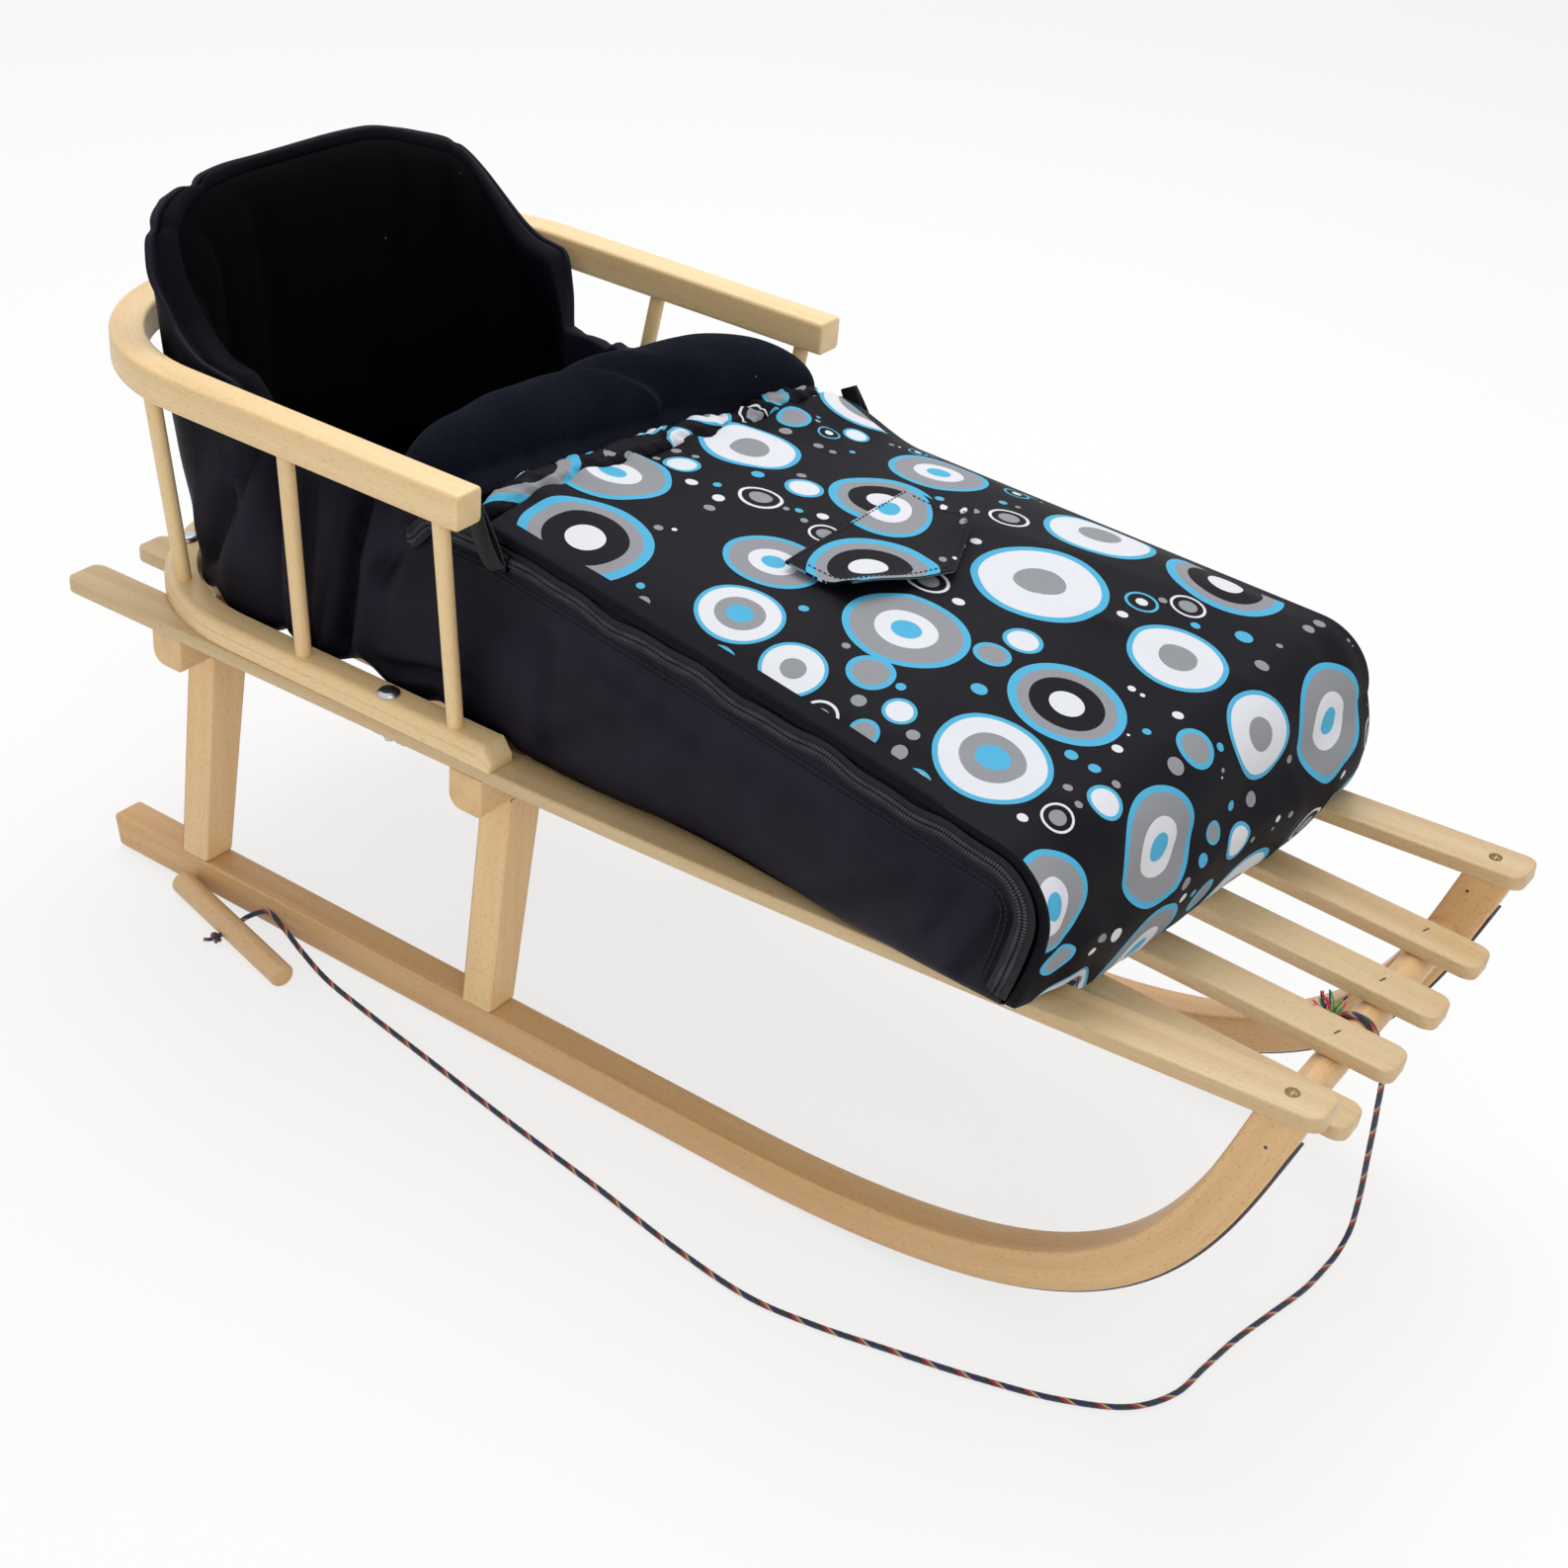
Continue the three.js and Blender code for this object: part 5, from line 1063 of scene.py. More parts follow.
def finish_piece(piece: Object, material: Material, body: str,
                 nodes: tuple[str, ...] = ()) -> Object:
    """Dresses a piece, sets it on its body and hides the CAD nodes that it stands for.

    Args:
        piece: the object.
        material: its material.
        body: the body that it moves with.
        nodes: CAD nodes that it replaces.

    Returns:
        The piece.
    """
    piece.data.materials.clear()
    piece.data.materials.append(material)
    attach(piece, body)
    if nodes:
        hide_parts(*nodes)
    LOG.info("%s on %s, %d faces", piece.name, body, len(piece.data.polygons))
    return piece


# ---------------------------------------------------------------- studio

@dataclass
class Studio:
    """Camera, floor, soft lamps and white surroundings."""

    eye: tuple[float, float, float] = (714.012, -1110.271, 1008.111)
    right: tuple[float, float, float] = (0.81587, 0.5724, 0.08197)
    upward: tuple[float, float, float] = (-0.36499, 0.39985, 0.84077)
    back: tuple[float, float, float] = (0.44848, -0.71588, 0.53515)
    lens: float = 55.98
    floor_half: float = 4000.0
    floor_z: float = -0.4
    floor_glow: float = 0.72
    fill_light: float = 0.62
    aim: tuple[float, float, float] = (0.0, 0.0, 0.2)
    lights: tuple[tuple[str, tuple[float, float, float], float, float], ...] = (
        ("overhead_lamp", (-0.5, 0.7, 2.4), 1.8, 34.0), ("front_lamp", (1.6, -1.6, 1.5), 1.4, 13.0))

    def camera(self) -> None:
        """Sets the camera at the photograph's place and angle."""
        data = bpy.data.cameras.new("camera")
        data.lens = self.lens
        data.sensor_width = 36.0
        data.clip_start, data.clip_end = 0.02, 60.0
        camera = placed("camera", data)
        columns = np.array([self.right, self.upward, self.back])
        turn = Matrix(columns.T.tolist()).to_4x4()
        camera.matrix_world = Matrix.Translation([v * MM for v in self.eye]) @ turn
        bpy.context.scene.camera = camera
        bpy.context.scene.view_settings.view_transform = "Standard"

    def _seen(self, tree: NodeTree) -> NodeSocket:
        """1 for rays from the camera, a mirror or a clear body, else 0.

        Args:
            tree: the node tree.

        Returns:
            The share's socket.
        """
        light_path = add_node(tree, "ShaderNodeLightPath")
        first = calc(tree, "MAXIMUM", light_path.outputs["Is Camera Ray"],
                     light_path.outputs["Is Glossy Ray"])
        return calc(tree, "MAXIMUM", first, light_path.outputs["Is Transmission Ray"])

    def floor(self) -> None:
        """Lays a pale floor that looks white and keeps a faint shadow."""
        half = self.floor_half
        corners = np.array([[[x, y, self.floor_z] for y in (-half, half)] for x in (-half, half)])
        plane = surface("floor", corners, closed=False, caps=Caps.NONE)
        if plane.data.polygons[0].normal.z < 0:
            plane.data.flip_normals()
        material, tree, shader = new_material("pale_floor")
        shader.inputs["Base Color"].default_value = linear("#f2f2f2")
        shader.inputs["Roughness"].default_value = 0.9
        glow = add_node(tree, "ShaderNodeEmission", inputs={"Color": (1, 1, 1, 1), "Strength": 1.0})
        share = calc(tree, "MULTIPLY", self._seen(tree), self.floor_glow)
        mix = add_node(tree, "ShaderNodeMixShader",
                       inputs={0: share, 1: shader.outputs[0], 2: glow.outputs[0]})
        output = next(node for node in tree.nodes if node.type == "OUTPUT_MATERIAL")
        tree.links.new(mix.outputs[0], output.inputs[0])
        plane.data.materials.append(material)

    def world(self) -> None:
        """White where it is seen, a level grey where it only lights."""
        world = bpy.data.worlds.new("surroundings")
        bpy.context.scene.world = world
        world.use_nodes = True
        tree = world.node_tree
        tree.nodes.clear()
        strength = add_node(tree, "ShaderNodeMapRange",
                            inputs={3: self.fill_light, 4: 1.0, 0: self._seen(tree)})
        sky = add_node(tree, "ShaderNodeBackground",
                       inputs={"Color": (1, 1, 1, 1), "Strength": strength.outputs[0]})
        add_node(tree, "ShaderNodeOutputWorld", inputs={"Surface": sky.outputs[0]})

    def lamps(self) -> None:
        """One broad lamp overhead to the rear left, and a weaker one near the camera."""
        for name, place, size, power in self.lights:
            data = bpy.data.lights.new(name, "AREA")
            data.shape, data.size, data.energy = "SQUARE", size, power
            lamp = placed(name, data)
            turn = (Vector(place) - Vector(self.aim)).to_track_quat("Z", "Y").to_matrix().to_4x4()
            lamp.matrix_world = Matrix.Translation(place) @ turn


# ---------------------------------------------------------------- sizes shared by the wooden parts

@dataclass(frozen=True)
class Deck:
    """The six slats, bent at the front: the outer pair rises, the inner four dip."""

    rear: float = -450.0
    front: float = 450.0
    top: float = 220.0
    thick: float = 9.5
    bend_x: float = -104.0
    outer_lift: float = 18.2
    inner_dip: float = -20.5
    corner: float = 9.0
    edge: float = 1.5
    dowel_x: float = 412.0
    dowel_radius: float = 10.0
    outer_width: float = 30.0
    inner_width: float = 28.0
    outer_places: tuple[float, float] = (157.5, 141.0)
    inner_pitch: tuple[float, float] = (65.0, 61.5)
    screw_rise: float = 0.8
    rear_bar: float = -361.0
    staple_reach: tuple[float, float] = (0.8, 2.5)
    staple_radius: float = 0.5

    def bend(self, x: np.ndarray | float, lift: float) -> np.ndarray:
        """Height gained at x, as a plank held at the middle crossbar gains it.

        Args:
            x: places along the slat.
            lift: gain at the slat's front end.

        Returns:
            The gain at each place.
        """
        span = self.front - self.bend_x
        reach = np.maximum(0.0, np.asarray(x, float) - self.bend_x)
        return lift * reach ** 2 * (3 * span - reach) / (2 * span ** 3)

    def underside(self, x: np.ndarray | float, lift: float) -> np.ndarray:
        """Height of a slat's lower face."""
        return self.top - self.thick + self.bend(x, lift)

    def dowel_z(self) -> float:
        """Height of the front dowel's axis, under the inner slats."""
        return float(self.underside(self.dowel_x, self.inner_dip)) - 0.3 - self.dowel_radius

    def slats(self) -> list[tuple[str, float, float, float, float]]:
        """Name, width, rear and front place across, and lift of each slat.

        Returns:
            One row for each slat, from right to left.
        """
        (rear, front), (rear_pitch, front_pitch) = self.outer_places, self.inner_pitch
        rows = [("slat_outer_right", self.outer_width, -rear, -front, self.outer_lift)]
        rows += [(f"slat_inner_{number}", self.inner_width, place * rear_pitch, place * front_pitch,
                  self.inner_dip)
                 for number, place in enumerate((-1.5, -0.5, 0.5, 1.5), start=1)]
        return rows + [("slat_outer_left", self.outer_width, rear, front, self.outer_lift)]

    def build(self, finishes: Finishes) -> None:
        """Makes the slats, their screws and the staples that hold them to the dowel.

        Args:
            finishes: the materials.
        """
        for number, (name, width, rear_y, front_y, lift) in enumerate(self.slats()):
            x = np.linspace(self.rear, self.front, 60)
            y = rear_y + (front_y - rear_y) * (x - self.rear) / (self.front - self.rear)
            points = xyz(x, y, self.top + self.bend(x, lift))
            path = framed_path(points, (0.0, 0.0, 1.0))
            section = rounded_section(-width / 2, width / 2, -self.thick, 0.0, (self.edge,) * 4)
            shape = self._rounded_plan(path.length, width)
            rows, grain = carried(path, section, self.edge, 1.5, shape, offset=70.0 * number)
            piece = surface(f"{name}_board", rows, grain=grain)
            finish_piece(piece, finishes.slat, "sled", (name,))
        for side, _ in SIDES:
            screw = eased_copy(f"slat_screw_{side}", f"slat_screw_{side}_dressed", 0.2)
            screw.data.transform(Matrix.Translation((0.0, 0.0, self.screw_rise * MM)))
            finish_piece(screw, finishes.brass, "sled", (f"slat_screw_{side}",))
        self._staples(finishes)

    def _rounded_plan(self, length: float, width: float) -> Callable[[np.ndarray, np.ndarray], np.ndarray]:
        """Rounds a slat's ends in plan: over the corner radius its half width follows a circle.

        Args:
            length: the slat's length.
            width: the slat's width.

        Returns:
            The function that shapes its sections.
        """
        def shape(stations: np.ndarray, sections: np.ndarray) -> np.ndarray:
            """Narrows the sections near both ends.

            Args:
                stations: running lengths of the rows.
                sections: rows of section points.

            Returns:
                The narrowed sections.
            """
            edge = np.clip(np.minimum(stations, length - stations), 0.0, self.corner)
            drawn = self.corner - np.sqrt(self.corner ** 2 - (self.corner - edge) ** 2)
            sections = sections.copy()
            sections[..., 0] *= (1.0 - drawn / (width / 2))[:, None]
            return sections
        return shape

    def _staples(self, finishes: Finishes) -> None:
        """Steel staples across the inner slats, over the dowel and over both crossbars.

        Args:
            finishes: the materials.
        """
        reach = np.array([*self.staple_reach, 0.0])
        bars = []
        for x, across in ((self.dowel_x - 1.0, (-96.0, -32.0, 31.0, 95.0)),
                          (self.rear_bar, (-97.0, -33.0, 33.0, 97.0)),
                          (self.bend_x, (-96.0, -32.0, 32.0, 96.0))):
            for y in across:
                middle = np.array([x, y, self.top + float(self.bend(x, self.inner_dip)) + 0.05])
                bars.append(rod("staple", middle - reach, middle + reach, self.staple_radius, 0.3, 8))
        finish_piece(joined("staples", bars), finishes.steel, "sled")


@dataclass(frozen=True)
class Runners:
    """Two steam-bent runners, the steel strips under them and the front dowel."""

    outer_half: float = 152.5
    width: float = 24.0
    strip: float = 1.8
    depth_rear: float = 24.2
    depth_tip: float = 28.0
    rear_x: float = -438.0
    rake: float = 4.0
    bend_x: float = 100.0
    tip: tuple[float, float] = (446.0, 237.0)
    tip_angle: float = 1.272
    handle_flat: float = 285.0
    handle_tip: float = 135.0
    edge: float = 2.2
    strip_half: float = 9.0
    dowel_seat: float = 13.0
    nails: tuple[tuple[float, float, bool], ...] = ((424.0, 206.0, True), (420.0, 216.0, False))

    def _bend(self, t: np.ndarray) -> tuple[np.ndarray, np.ndarray]:
        """Points and inward normals of the underside's cubic curve at parameters t.

        Args:
            t: parameters, from 0 at the flat to 1 at the tip.

        Returns:
            Points and normals in x and z.
        """
        ends = np.array([(self.bend_x, self.strip), (self.bend_x + self.handle_flat, self.strip),
                         (self.tip[0] - self.handle_tip * math.cos(self.tip_angle),
                          self.tip[1] - self.handle_tip * math.sin(self.tip_angle)), self.tip])
        t = np.asarray(t, float)[..., None]
        point = ((1 - t) ** 3 * ends[0] + 3 * (1 - t) ** 2 * t * ends[1]
                 + 3 * (1 - t) * t ** 2 * ends[2] + t ** 3 * ends[3])
        slope = (3 * (1 - t) ** 2 * (ends[1] - ends[0]) + 6 * (1 - t) * t * (ends[2] - ends[1])
                 + 3 * t ** 2 * (ends[3] - ends[2]))
        slope = unit(slope)
        return point, np.stack([-slope[..., 1], slope[..., 0]], axis=-1)

    def _runner_rows(self, deck: Deck) -> tuple[np.ndarray, np.ndarray]:
        """Rows of the runner: straight, then each fibre round the bend until it meets the slat.

        Args:
            deck: the slats.

        Returns:
            Rows of points, and the same points' places in the straight board.
        """
        half = self.width / 2
        section = rounded_section(-half, half, 0.0, self.depth_rear, (self.edge,) * 4)
        share_up = section[:, 1] / self.depth_rear
        # where each fibre of the section would come up against the outer slat
        limit = np.linspace(0.8, 1.0, 200)[:, None] + 0.0 * share_up
        depth = self.depth_rear + (self.depth_tip - self.depth_rear) * limit
        point, normal = self._bend(limit)
        reached = point + normal * (depth * share_up)[..., None]
        over = reached[..., 1] > deck.underside(reached[..., 0], deck.outer_lift) - 0.3
        stop = np.where(over.any(axis=0), limit[over.argmax(axis=0), 0], 1.0)
        # the last fifth of the bend is drawn in so that every fibre ends there
        t = np.linspace(0.0, 1.0, 84)[1:, None]
        t = np.where(t < 0.8, t, 0.8 + (t - 0.8) * (stop - 0.8) / 0.2)
        depth = self.depth_rear + (self.depth_tip - self.depth_rear) * t
        point, normal = self._bend(t)
        bent = point + normal * (depth * share_up)[..., None]
        # the straight part, eased over its first rows and raked at the rear
        straight_x = np.concatenate([self.rear_x + np.array([0.0, 0.35, 1.1, 2.2]),
                                     np.linspace(self.rear_x + 4.0, self.bend_x, 26)])
        drawn = np.zeros(len(straight_x))
        drawn[:4] = (1.6, 0.9, 0.35, 0.05)
        centre = self.depth_rear / 2
        height = centre + (section[:, 1] - centre) * (1 - drawn[:, None] / centre)
        rake = self.rake * (1 - smooth_step(straight_x, self.rear_x, -380.0))
        raked = straight_x[:, None] - share_up * rake[:, None]
        straight = np.stack([raked, self.strip + height], axis=-1)
        flat = np.concatenate([straight, bent])
        across = np.concatenate([section[:, 0] * (1 - drawn[:, None] / half),
                                 np.tile(section[:, 0], (len(t), 1))])
        rows = xyz(flat[..., 0], across, flat[..., 1])
        run = arc_lengths(rows[:, 0])
        grain = xyz(run[:, None], across, section[:, 1])
        return rows, grain

    def _strip_rows(self) -> np.ndarray:
        """Rows of the steel strip, wrapped under the runner and up the bend.

        Returns:
            Rows of points.
        """
        section = rounded_section(-self.strip_half, self.strip_half, -self.strip, -0.1, (0.5,) * 4, 3)
        point, normal = self._bend(np.linspace(0.0, 20.0 / 22.0, 60))
        straight_x = np.linspace(self.rear_x + 14.0, self.bend_x, 12)[:-1]
        point = np.concatenate([np.stack([straight_x, np.full(len(straight_x), self.strip)], axis=-1), point])
        normal = np.concatenate([np.tile([0.0, 1.0], (len(straight_x), 1)), normal])
        flat = point[:, None] + normal[:, None] * section[None, :, 1:]
        across = np.broadcast_to(section[:, 0], flat.shape[:2])
        return xyz(flat[..., 0], across, flat[..., 1])

    def build(self, deck: Deck, finishes: Finishes) -> None:
        """Makes both runners, both strips, their nails and the dowel.

        Args:
            deck: the slats.
            finishes: the materials.
        """
        centre = self.outer_half - self.width / 2
        for side, sign in SIDES:
            shift = np.array([0.0, sign * centre, 0.0])
            rows, grain = self._runner_rows(deck)
            piece = surface(f"runner_{side}_bent", rows + shift,
                            grain=grain + np.array([0.0, sign * 90.0, 40.0]))
            finish_piece(piece, finishes.runner, "sled", (f"runner_{side}",))
            strip = surface(f"runner_strip_{side}_rolled", self._strip_rows() + shift)
            finish_piece(strip, finishes.steel, "sled", (f"runner_strip_{side}",))
        inner = self.outer_half - self.width + self.dowel_seat
        z = deck.dowel_z()
        dowel = rod("front_dowel_turned", np.array([deck.dowel_x, -inner, z]),
                    np.array([deck.dowel_x, inner, z]), deck.dowel_radius, 1.0, 40, 300.0)
        finish_piece(dowel, finishes.dowel, "sled", ("front_dowel",))
        self._nails(finishes)

    def _nails(self, finishes: Finishes) -> None:
        """Small nail heads that hold the runner tips on the dowel, one outside and one inside.

        Args:
            finishes: the materials.
        """
        heads = []
        for _, sign in SIDES:
            for x, z, outside in self.nails:
                outward = np.array([0.0, sign * (1.0 if outside else -1.0), 0.0])
                start = np.array([x, sign * (self.outer_half - (0.0 if outside else self.width)), z])
                heads.append(rod("nail", start - outward * 2.0, start + outward * 0.2, 1.1, 0.2, 10))
        finish_piece(joined("tip_nails", heads), finishes.steel, "sled")


@dataclass(frozen=True)
class Undercarriage:
    """Crossbars and legs, copied from the solids with their edges eased."""

    ease: float = 1.1

    def build(self, finishes: Finishes) -> None:
        """Makes the eased crossbars and legs.

        Args:
            finishes: the materials.
        """
        for place in ("rear", "mid"):
            bar = eased_copy(f"crossbar_{place}", f"crossbar_{place}_planed", self.ease)
            finish_piece(bar, finishes.crossbar, "sled", (f"crossbar_{place}",))
            for side, _ in SIDES:
                leg = eased_copy(f"leg_{place}_{side}", f"leg_{place}_{side}_planed", self.ease)
                finish_piece(leg, finishes.leg, "sled", (f"leg_{place}_{side}",))


@dataclass(frozen=True)
class Rail:
    """One bent seat rail: its plan, section and height."""

    front: float
    back: float
    half: float
    bend: float
    width: float
    height: float
    bottom: float

    def plan(self) -> Path:
        """Its centre line: two straight arms and two quarter circles with a straight back.

        Returns:
            The centre line at the rail's bottom.
        """
        middle, side = self.bend - self.width / 2, self.half - self.width / 2
        angle = np.linspace(0.0, math.pi / 2, 40)
        out = np.stack([-np.sin(angle), -np.cos(angle)], axis=-1)
        arc = np.array([self.back + self.bend, -(self.half - self.bend)]) + middle * out
        flat = np.concatenate([[[self.front, -side]], arc])
        outward = np.concatenate([[[0.0, -1.0]], out])
        flat = np.concatenate([flat, flat[::-1] * [1.0, -1.0]])
        outward = np.concatenate([outward, outward[::-1] * [1.0, -1.0]])
        level = np.zeros((len(flat), 1))
        return Path(np.concatenate([flat, level + self.bottom], axis=1),
                    np.concatenate([outward, level], axis=1),
                    np.tile([0.0, 0.0, 1.0], (len(flat), 1)))

    def at(self, share: float) -> np.ndarray:
        """Point of the right half's centre line, at a share of the way to the back's middle.

        Args:
            share: share of the way.

        Returns:
            The point.
        """
        path = self.plan()
        point, _, _ = path.at(np.array([share * path.length / 2]))
        return point[0]


@dataclass(frozen=True)
class SeatFrame:
    """Base rail, top rail, eight splayed spindles, four bolts and four wing nuts."""

    base: Rail = Rail(-84.0, -439.0, 168.0, 132.0, 22.0, 15.0, 220.1)
    top: Rail = Rail(-92.0, -446.0, 190.5, 125.0, 22.0, 22.5, 385.5)
    spindle_radius: float = 5.2
    base_shares: tuple[float, ...] = (0.08, 0.36, 0.65, 0.91)
    top_shares: tuple[float, ...] = (0.045, 0.3, 0.545, 0.9)
    spindle_depth: float = 8.0
    cove: float = 11.0
    under_slat: float = 9.9
    drawn_up: float = 0.33

    def build(self, finishes: Finishes) -> None:
        """Makes the rails, spindles and fixings.

        Args:
            finishes: the materials.
        """
        plain = rounded_section(-11.0, 9.8, 0.0, self.base.height, (0.8, 0.8, 6.0, 1.2), 7)
        bead = [[11.0, 7.4], [10.8, 7.9], [9.9, 8.4]]
        base_section = np.concatenate([plain[:7], plain[7:14] + [1.2, 0.0], bead, plain[14:]])
        top_section = rounded_section(-11.0, 11.0, 0.0, self.top.height, (3.0,) * 4, 7)
        for node, rail, section, ease, shape, offset in (
            ("seat_base_rail", self.base, base_section, 0.8, self._coved, 40.0),
            ("seat_top_rail", self.top, top_section, 1.8, None, 120.0),
        ):
            rows, grain = carried(rail.plan(), section, ease, 6.0, shape, offset=offset)
            piece = surface(f"{node}_bent", rows, grain=grain)
            finish_piece(piece, finishes.rail, "sled", (node,))
        for side, sign in SIDES:
            for number, (low, high) in enumerate(zip(self.base_shares, self.top_shares), start=1):
                start = self.base.at(low) * [1.0, -sign, 1.0] + [0.0, 0.0, self.base.height]
                end = self.top.at(high) * [1.0, -sign, 1.0]
                into = self.spindle_depth * unit(end - start)
                name = f"spindle_{side}_{number}"
                piece = rod(f"{name}_turned", start - into, end + into, self.spindle_radius, 0.6, 28,
                            200.0 + 31.0 * number * sign)
                finish_piece(piece, finishes.rail, "sled", (name,))
        for kind in ("bolt", "wing_nut"):
            for place in ("side", "back"):
                for side, _ in SIDES:
                    node = f"seat_{kind}_{place}_{side}"
                    piece = eased_copy(node, f"{node}_plated", 0.35)
                    self._shorten(piece)
                    finish_piece(piece, finishes.zinc, "sled", (node,))

    def _shorten(self, piece: Object) -> None:
        """Flattens what stands below the slat by a third, as nothing shows there.

        Args:
            piece: a bolt or a wing nut.
        """
        places = np.empty(3 * len(piece.data.vertices), dtype=np.float32)
        piece.data.vertices.foreach_get("co", places)
        below = np.minimum(0.0, places[2::3] - (self.base.bottom - self.under_slat) * MM)
        places[2::3] -= self.drawn_up * below
        piece.data.vertices.foreach_set("co", places)

    def _coved(self, stations: np.ndarray, sections: np.ndarray) -> np.ndarray:
        """Scoops the top of the base rail's two front ends along a circle.

        Args:
            stations: running lengths of the rows.
            sections: rows of section points.

        Returns:
            The scooped sections.
        """
        length = self.base.plan().length
        edge = np.minimum(stations, length - stations)
        reach = np.clip(edge + self.cove / 2, 0.0, self.cove)
        depth = np.sqrt(np.clip(self.cove ** 2 - reach ** 2, 0.0, None))
        sections = sections.copy()
        sections[..., 1] *= (1.0 - depth / self.base.height)[:, None]
        return sections


# ---------------------------------------------------------------- tow line

@dataclass(frozen=True)
class TowLine:
    """The pull cord, its loop and knot on the dowel, its frayed end, the grip and its knot."""

    radius: float = CORD_RADIUS
    grip_centre: tuple[float, float, float] = (-300.0, -178.0, 8.5)
    grip_radius: float = 8.4
    grip_length: float = 133.0
    grip_turn: float = -0.245
    hole_rise: float = 0.3
    knot_radius: float = 5.5
    route: tuple[tuple[float, float, float], ...] = (
        (430, 9, 160), (431, 17, 125), (431, 25, 85), (431, 32, 45), (430, 34, 18), (428, 28, 4),
        (427, 12, 2.1), (425, -12, 2.1), (418, -45, 2.1), (411, -78, 2.1), (407, -108, 2.1),
        (403, -138, 2.1), (388, -163, 2.1), (354, -184, 2.1), (306, -201, 2.1), (258, -214, 2.1),
        (215, -225, 2.1), (174, -231, 2.1), (115, -226, 2.1), (49, -215, 2.1), (-33, -203, 2.1),
        (-113, -190, 2.1), (-175, -180, 2.1), (-218, -172, 2.5), (-248, -164, 6), (-272, -158, 12),
        (-288, -156.5, 16))

    def _hole_axis(self) -> np.ndarray:
        """Direction of the hole through the grip."""
        level = math.cos(self.hole_rise)
        return np.array([-math.sin(self.grip_turn) * level, math.cos(self.grip_turn) * level,
                         math.sin(self.hole_rise)])

    def _knot_centre(self, deck: Deck) -> np.ndarray:
        """Middle of the knot, in front of the dowel."""
        return np.array([deck.dowel_x + deck.dowel_radius + 0.5 + self.radius, 0.0, deck.dowel_z()])

    def centre_line(self, deck: Deck) -> np.ndarray:
        """The cord's centre line: a centripetal Catmull-Rom curve through the route, from knot to grip.

        Args:
            deck: the slats.

        Returns:
            Points evenly along the cord.
        """
        points = np.array(self.route, float)
        knot = self._knot_centre(deck)
        down = unit(points[0] - knot)
        mouth = np.array(self.grip_centre) + self._hole_axis() * (self.grip_radius + 0.6)
        lead = mouth + self._hole_axis() * self.radius * 2
        points = np.concatenate([[knot + down * (self.knot_radius + 0.3)], points, [lead, mouth]])
        points = np.concatenate([[2 * points[0] - points[1]], points, [2 * points[-1] - points[-2]]])
        gap = np.sqrt(np.linalg.norm(np.diff(points, axis=0), axis=1))[:, None]
        x0, x1, x2, x3 = points[:-3], points[1:-2], points[2:-1], points[3:]
        d0, d1, d2 = gap[:-2], gap[1:-1], gap[2:]
        t1 = ((x1 - x0) / d0 - (x2 - x0) / (d0 + d1) + (x2 - x1) / d1) * d1
        t2 = ((x2 - x1) / d1 - (x3 - x1) / (d1 + d2) + (x3 - x2) / d2) * d1
        s = np.linspace(0.0, 1.0, 17)[:-1][:, None, None]
        curve = (x1 + t1 * s + (-3 * x1 + 3 * x2 - 2 * t1 - t2) * s ** 2
                 + (2 * x1 - 2 * x2 + t1 + t2) * s ** 3)
        curve = np.concatenate([curve.transpose(1, 0, 2).reshape(-1, 3), points[-2:-1]])
        run = arc_lengths(curve)
        return read_along(np.linspace(0.0, run[-1], 760), run, curve)

    def _tube(self, name: str, points: np.ndarray, radius: float, braided: bool = True) -> Object:
        """A round cord along points; its strands swell it in a fine diamond pattern.

        Args:
            name: the piece's name.
            points: its centre line.
            radius: its radius.
            braided: whether its strands show.

        Returns:
            The tube.
        """
        ahead = unit(np.gradient(points, axis=0))
        guide = np.where(np.abs(ahead[:, 2:]) > 0.95, [1.0, 0.0, 0.0], [0.0, 0.0, 1.0])
        out = unit(np.cross(ahead, guide))
        turned = np.where(np.einsum("ij,ij->i", out[1:], out[:-1]) < 0, -1.0, 1.0)
        out[1:] *= np.cumprod(turned)[:, None]
        up = np.cross(out, ahead)
        angle = round_turn(14)
        run = arc_lengths(points)[:, None]
        depth = 0.045 if braided else 0.0
        swell = 1.0 + depth * np.sin(4 * angle + run * 2.8) * np.sin(4 * angle - run * 2.8)
        ring = radius * swell[..., None] * (np.cos(angle)[:, None] * out[:, None]
                                            + np.sin(angle)[:, None] * up[:, None])
        return surface(name, points[:, None] + ring, sharp=80.0)

    def build(self, deck: Deck, finishes: Finishes) -> None:
        """Args:
            deck: the slats.
            finishes: the materials.
        """
        line = self.centre_line(deck)
        cord = self._tube("tow_cord_braided", line, self.radius)
        finish_piece(cord, finishes.braid, "sled", ("tow_cord",))
        grip = self._grip(finishes)
        stop = self._grip_knot(finishes)
        knot = self._dowel_knot(deck, finishes)
        fray = self._fray(deck, finishes)

    def _grip(self, finishes: Finishes) -> Object:
        """The turned wooden grip, its ends rounded.

        Args:
            finishes: the materials.

        Returns:
            The grip.
        """
        along = np.array([math.cos(self.grip_turn), math.sin(self.grip_turn), 0.0]) * self.grip_length / 2
        centre = np.array(self.grip_centre)
        piece = rod("tow_grip_turned", centre - along, centre + along, self.grip_radius, 2.0, 40, 500.0)
        return finish_piece(piece, finishes.dowel, "sled", ("tow_grip",))

